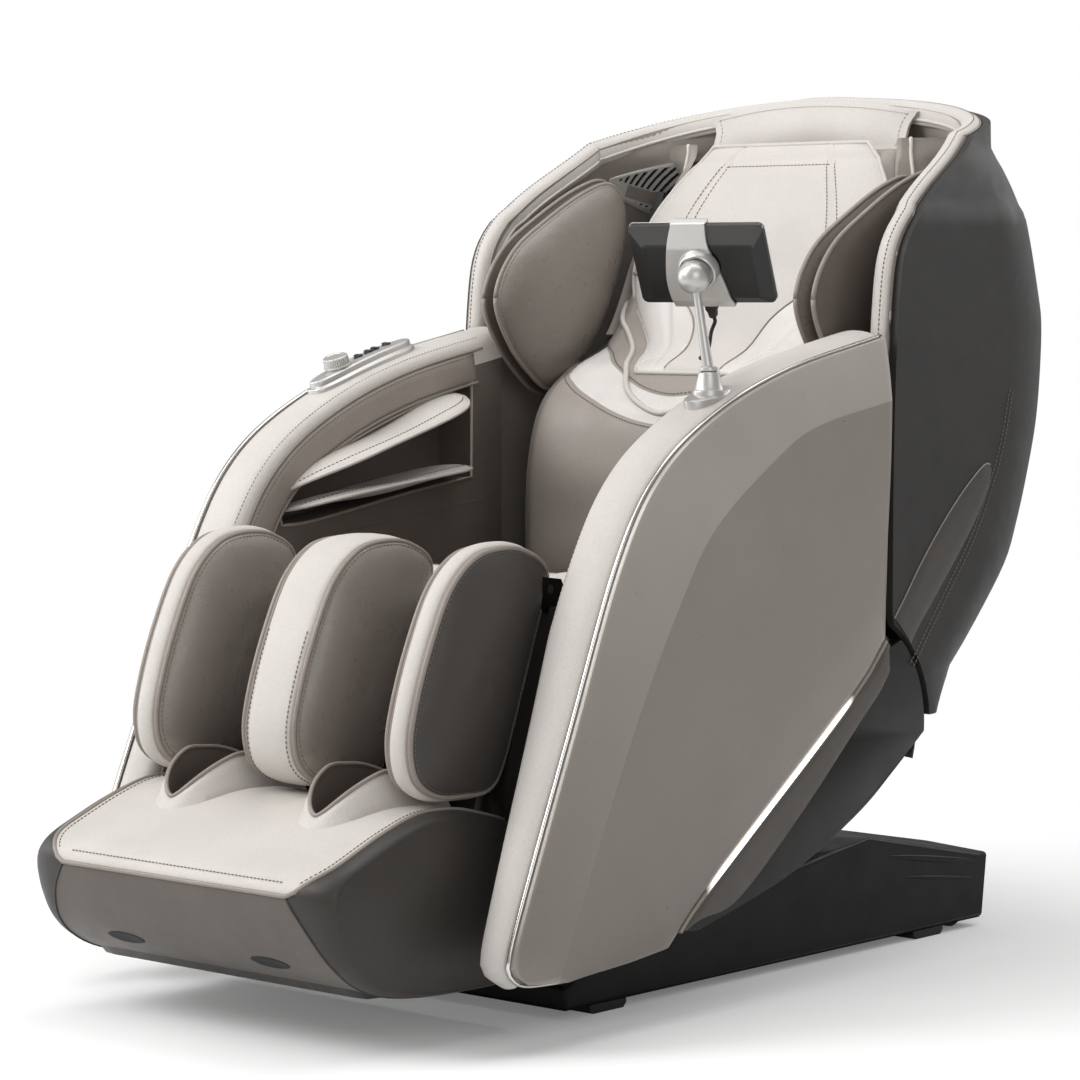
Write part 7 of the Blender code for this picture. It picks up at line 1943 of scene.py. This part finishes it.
def make_socket():
    """Oval flange on the arm, levelled towards the front, and the cup the post stands in."""
    middle = -0.2600
    flange = seat_rings(SOCKET_X, middle, 0.0215, 0.0400,
                        ((0.0, -0.004), (0.0, 0.0020), (0.0008, 0.0034), (0.0024, 0.0042), (0.0075, 0.0046)), 0.95)
    centre = band_at(middle, SOCKET_X, 0.0)
    for ring in flange[1:]:
        for point in ring:
            point.z += (centre.y - point.y) * 0.16 + 0.001
    loft("socket_flange", flange, SILVER, "seat", replaces=("tablet_socket",), sharp=35)
    base = band_at(SOCKET_Y, SOCKET_X, 0.0).z
    high = SOCKET_TOP - base
    cup = lathe((SOCKET_X, SOCKET_Y, base), (0, 0, 1),
                [(-0.004, 0.0210), (0.0050, 0.0212), (0.0078, 0.0206), (0.0086, 0.0190), (0.0094, 0.0186),
                 (high * 0.42, 0.0166), (high - 0.0180, 0.0146), (high - 0.0150, 0.0142), (high - 0.0140, 0.0132),
                 (high - 0.0142, 0.0112), (high - 0.0190, 0.0104)], 64)
    loft("socket_cup", cup, SILVER, "seat", sharp=35)


make_tablet()
make_socket()
rounded_copy("tablet_plug", "tablet_plug_body", SCREEN, "tablet", 0.0012)


# ================================================================ console
CONSOLE_X = 0.032 - PANEL_INNER
DIAL_Y = -0.231
# distance along the dial, radius, knurled or not
DIAL_RINGS = ((-0.003, 0.0170, 0), (0.0006, 0.0176, 0), (0.0010, 0.0190, 0), (0.0030, 0.0194, 0),
              (0.0036, 0.0186, 1), (0.0050, 0.0186, 1), (0.0130, 0.0182, 1), (0.0146, 0.0180, 1),
              (0.0156, 0.0172, 0), (0.0164, 0.0160, 0), (0.0166, 0.0135, 0), (0.0158, 0.0125, 0),
              (0.0156, 0.0060, 0))


def make_console():
    """Two-step console on the arm with a knurled dial; its four dark keys are made after it."""
    rings = seat_rings(CONSOLE_X, -0.1875, 0.0260, 0.0985,
                       ((0.0, -0.003), (0.0, 0.0040), (0.0008, 0.0056), (0.0022, 0.0064), (0.0046, 0.0068),
                        (0.0052, 0.0074), (0.0054, 0.0128), (0.0062, 0.0146), (0.0078, 0.0156), (0.0110, 0.0159),
                        (0.0190, 0.0160)), 0.62)
    loft("console_body", rings, SILVER, "seat", replaces=("control_panel",), sharp=35)
    start = band_at(DIAL_Y, CONSOLE_X, 0.0160)
    axis = (band_at(DIAL_Y, CONSOLE_X, 0.0300) - start).normalized()
    rings = []
    for along, radius, knurl in DIAL_RINGS:
        ring = lathe(start, axis, [(along, radius)], 144)[0]
        centre = start + axis * along
        if knurl:
            ring = [centre + (p - centre) * (1 - 0.030 * (k % 4 >= 2)) for k, p in enumerate(ring)]
        rings.append(ring)
    loft("dial_grip", rings, SILVER, "dial", replaces=("dial_knob",), sharp=30)


make_console()
for _number in range(1, 5):
    rounded_copy("console_button_%d" % _number, "console_key_%d" % _number, SCREEN, "button_%d" % _number, 0.0011)


# ================================================================ cable
def make_cable():
    """Cable from the plug down behind the post to the collar at its foot."""
    foot = -TABLET_HIGH / 2 - FIT - 0.022       # lower end of the plug
    start = tablet_point(0.001, foot - 3 * FIT, 0.0)
    collar = Vector((SOCKET_X, SOCKET_Y, SOCKET_TOP + 0.004))
    side = Vector((-0.9, 0.436, 0.0)).normalized()
    end = collar + side * (0.0135 + 2 * FIT)
    route = [start, start - T_UP * 0.007]
    route += [collar + Vector(p) for p in ((-0.041, 0.056, 0.033), (-0.036, 0.046, 0.017), (-0.029, 0.032, 0.006))]
    route += [end + side * 0.011, end + side * 0.005, end]
    path = smooth(route, 6)
    item = tubes("tablet_lead", [path], 0.0025, RUBBER, "post", 12, replaces=("tablet_cable",))
    round(run_length(path), 3)
    [tuple(p) for p in path]


make_cable()
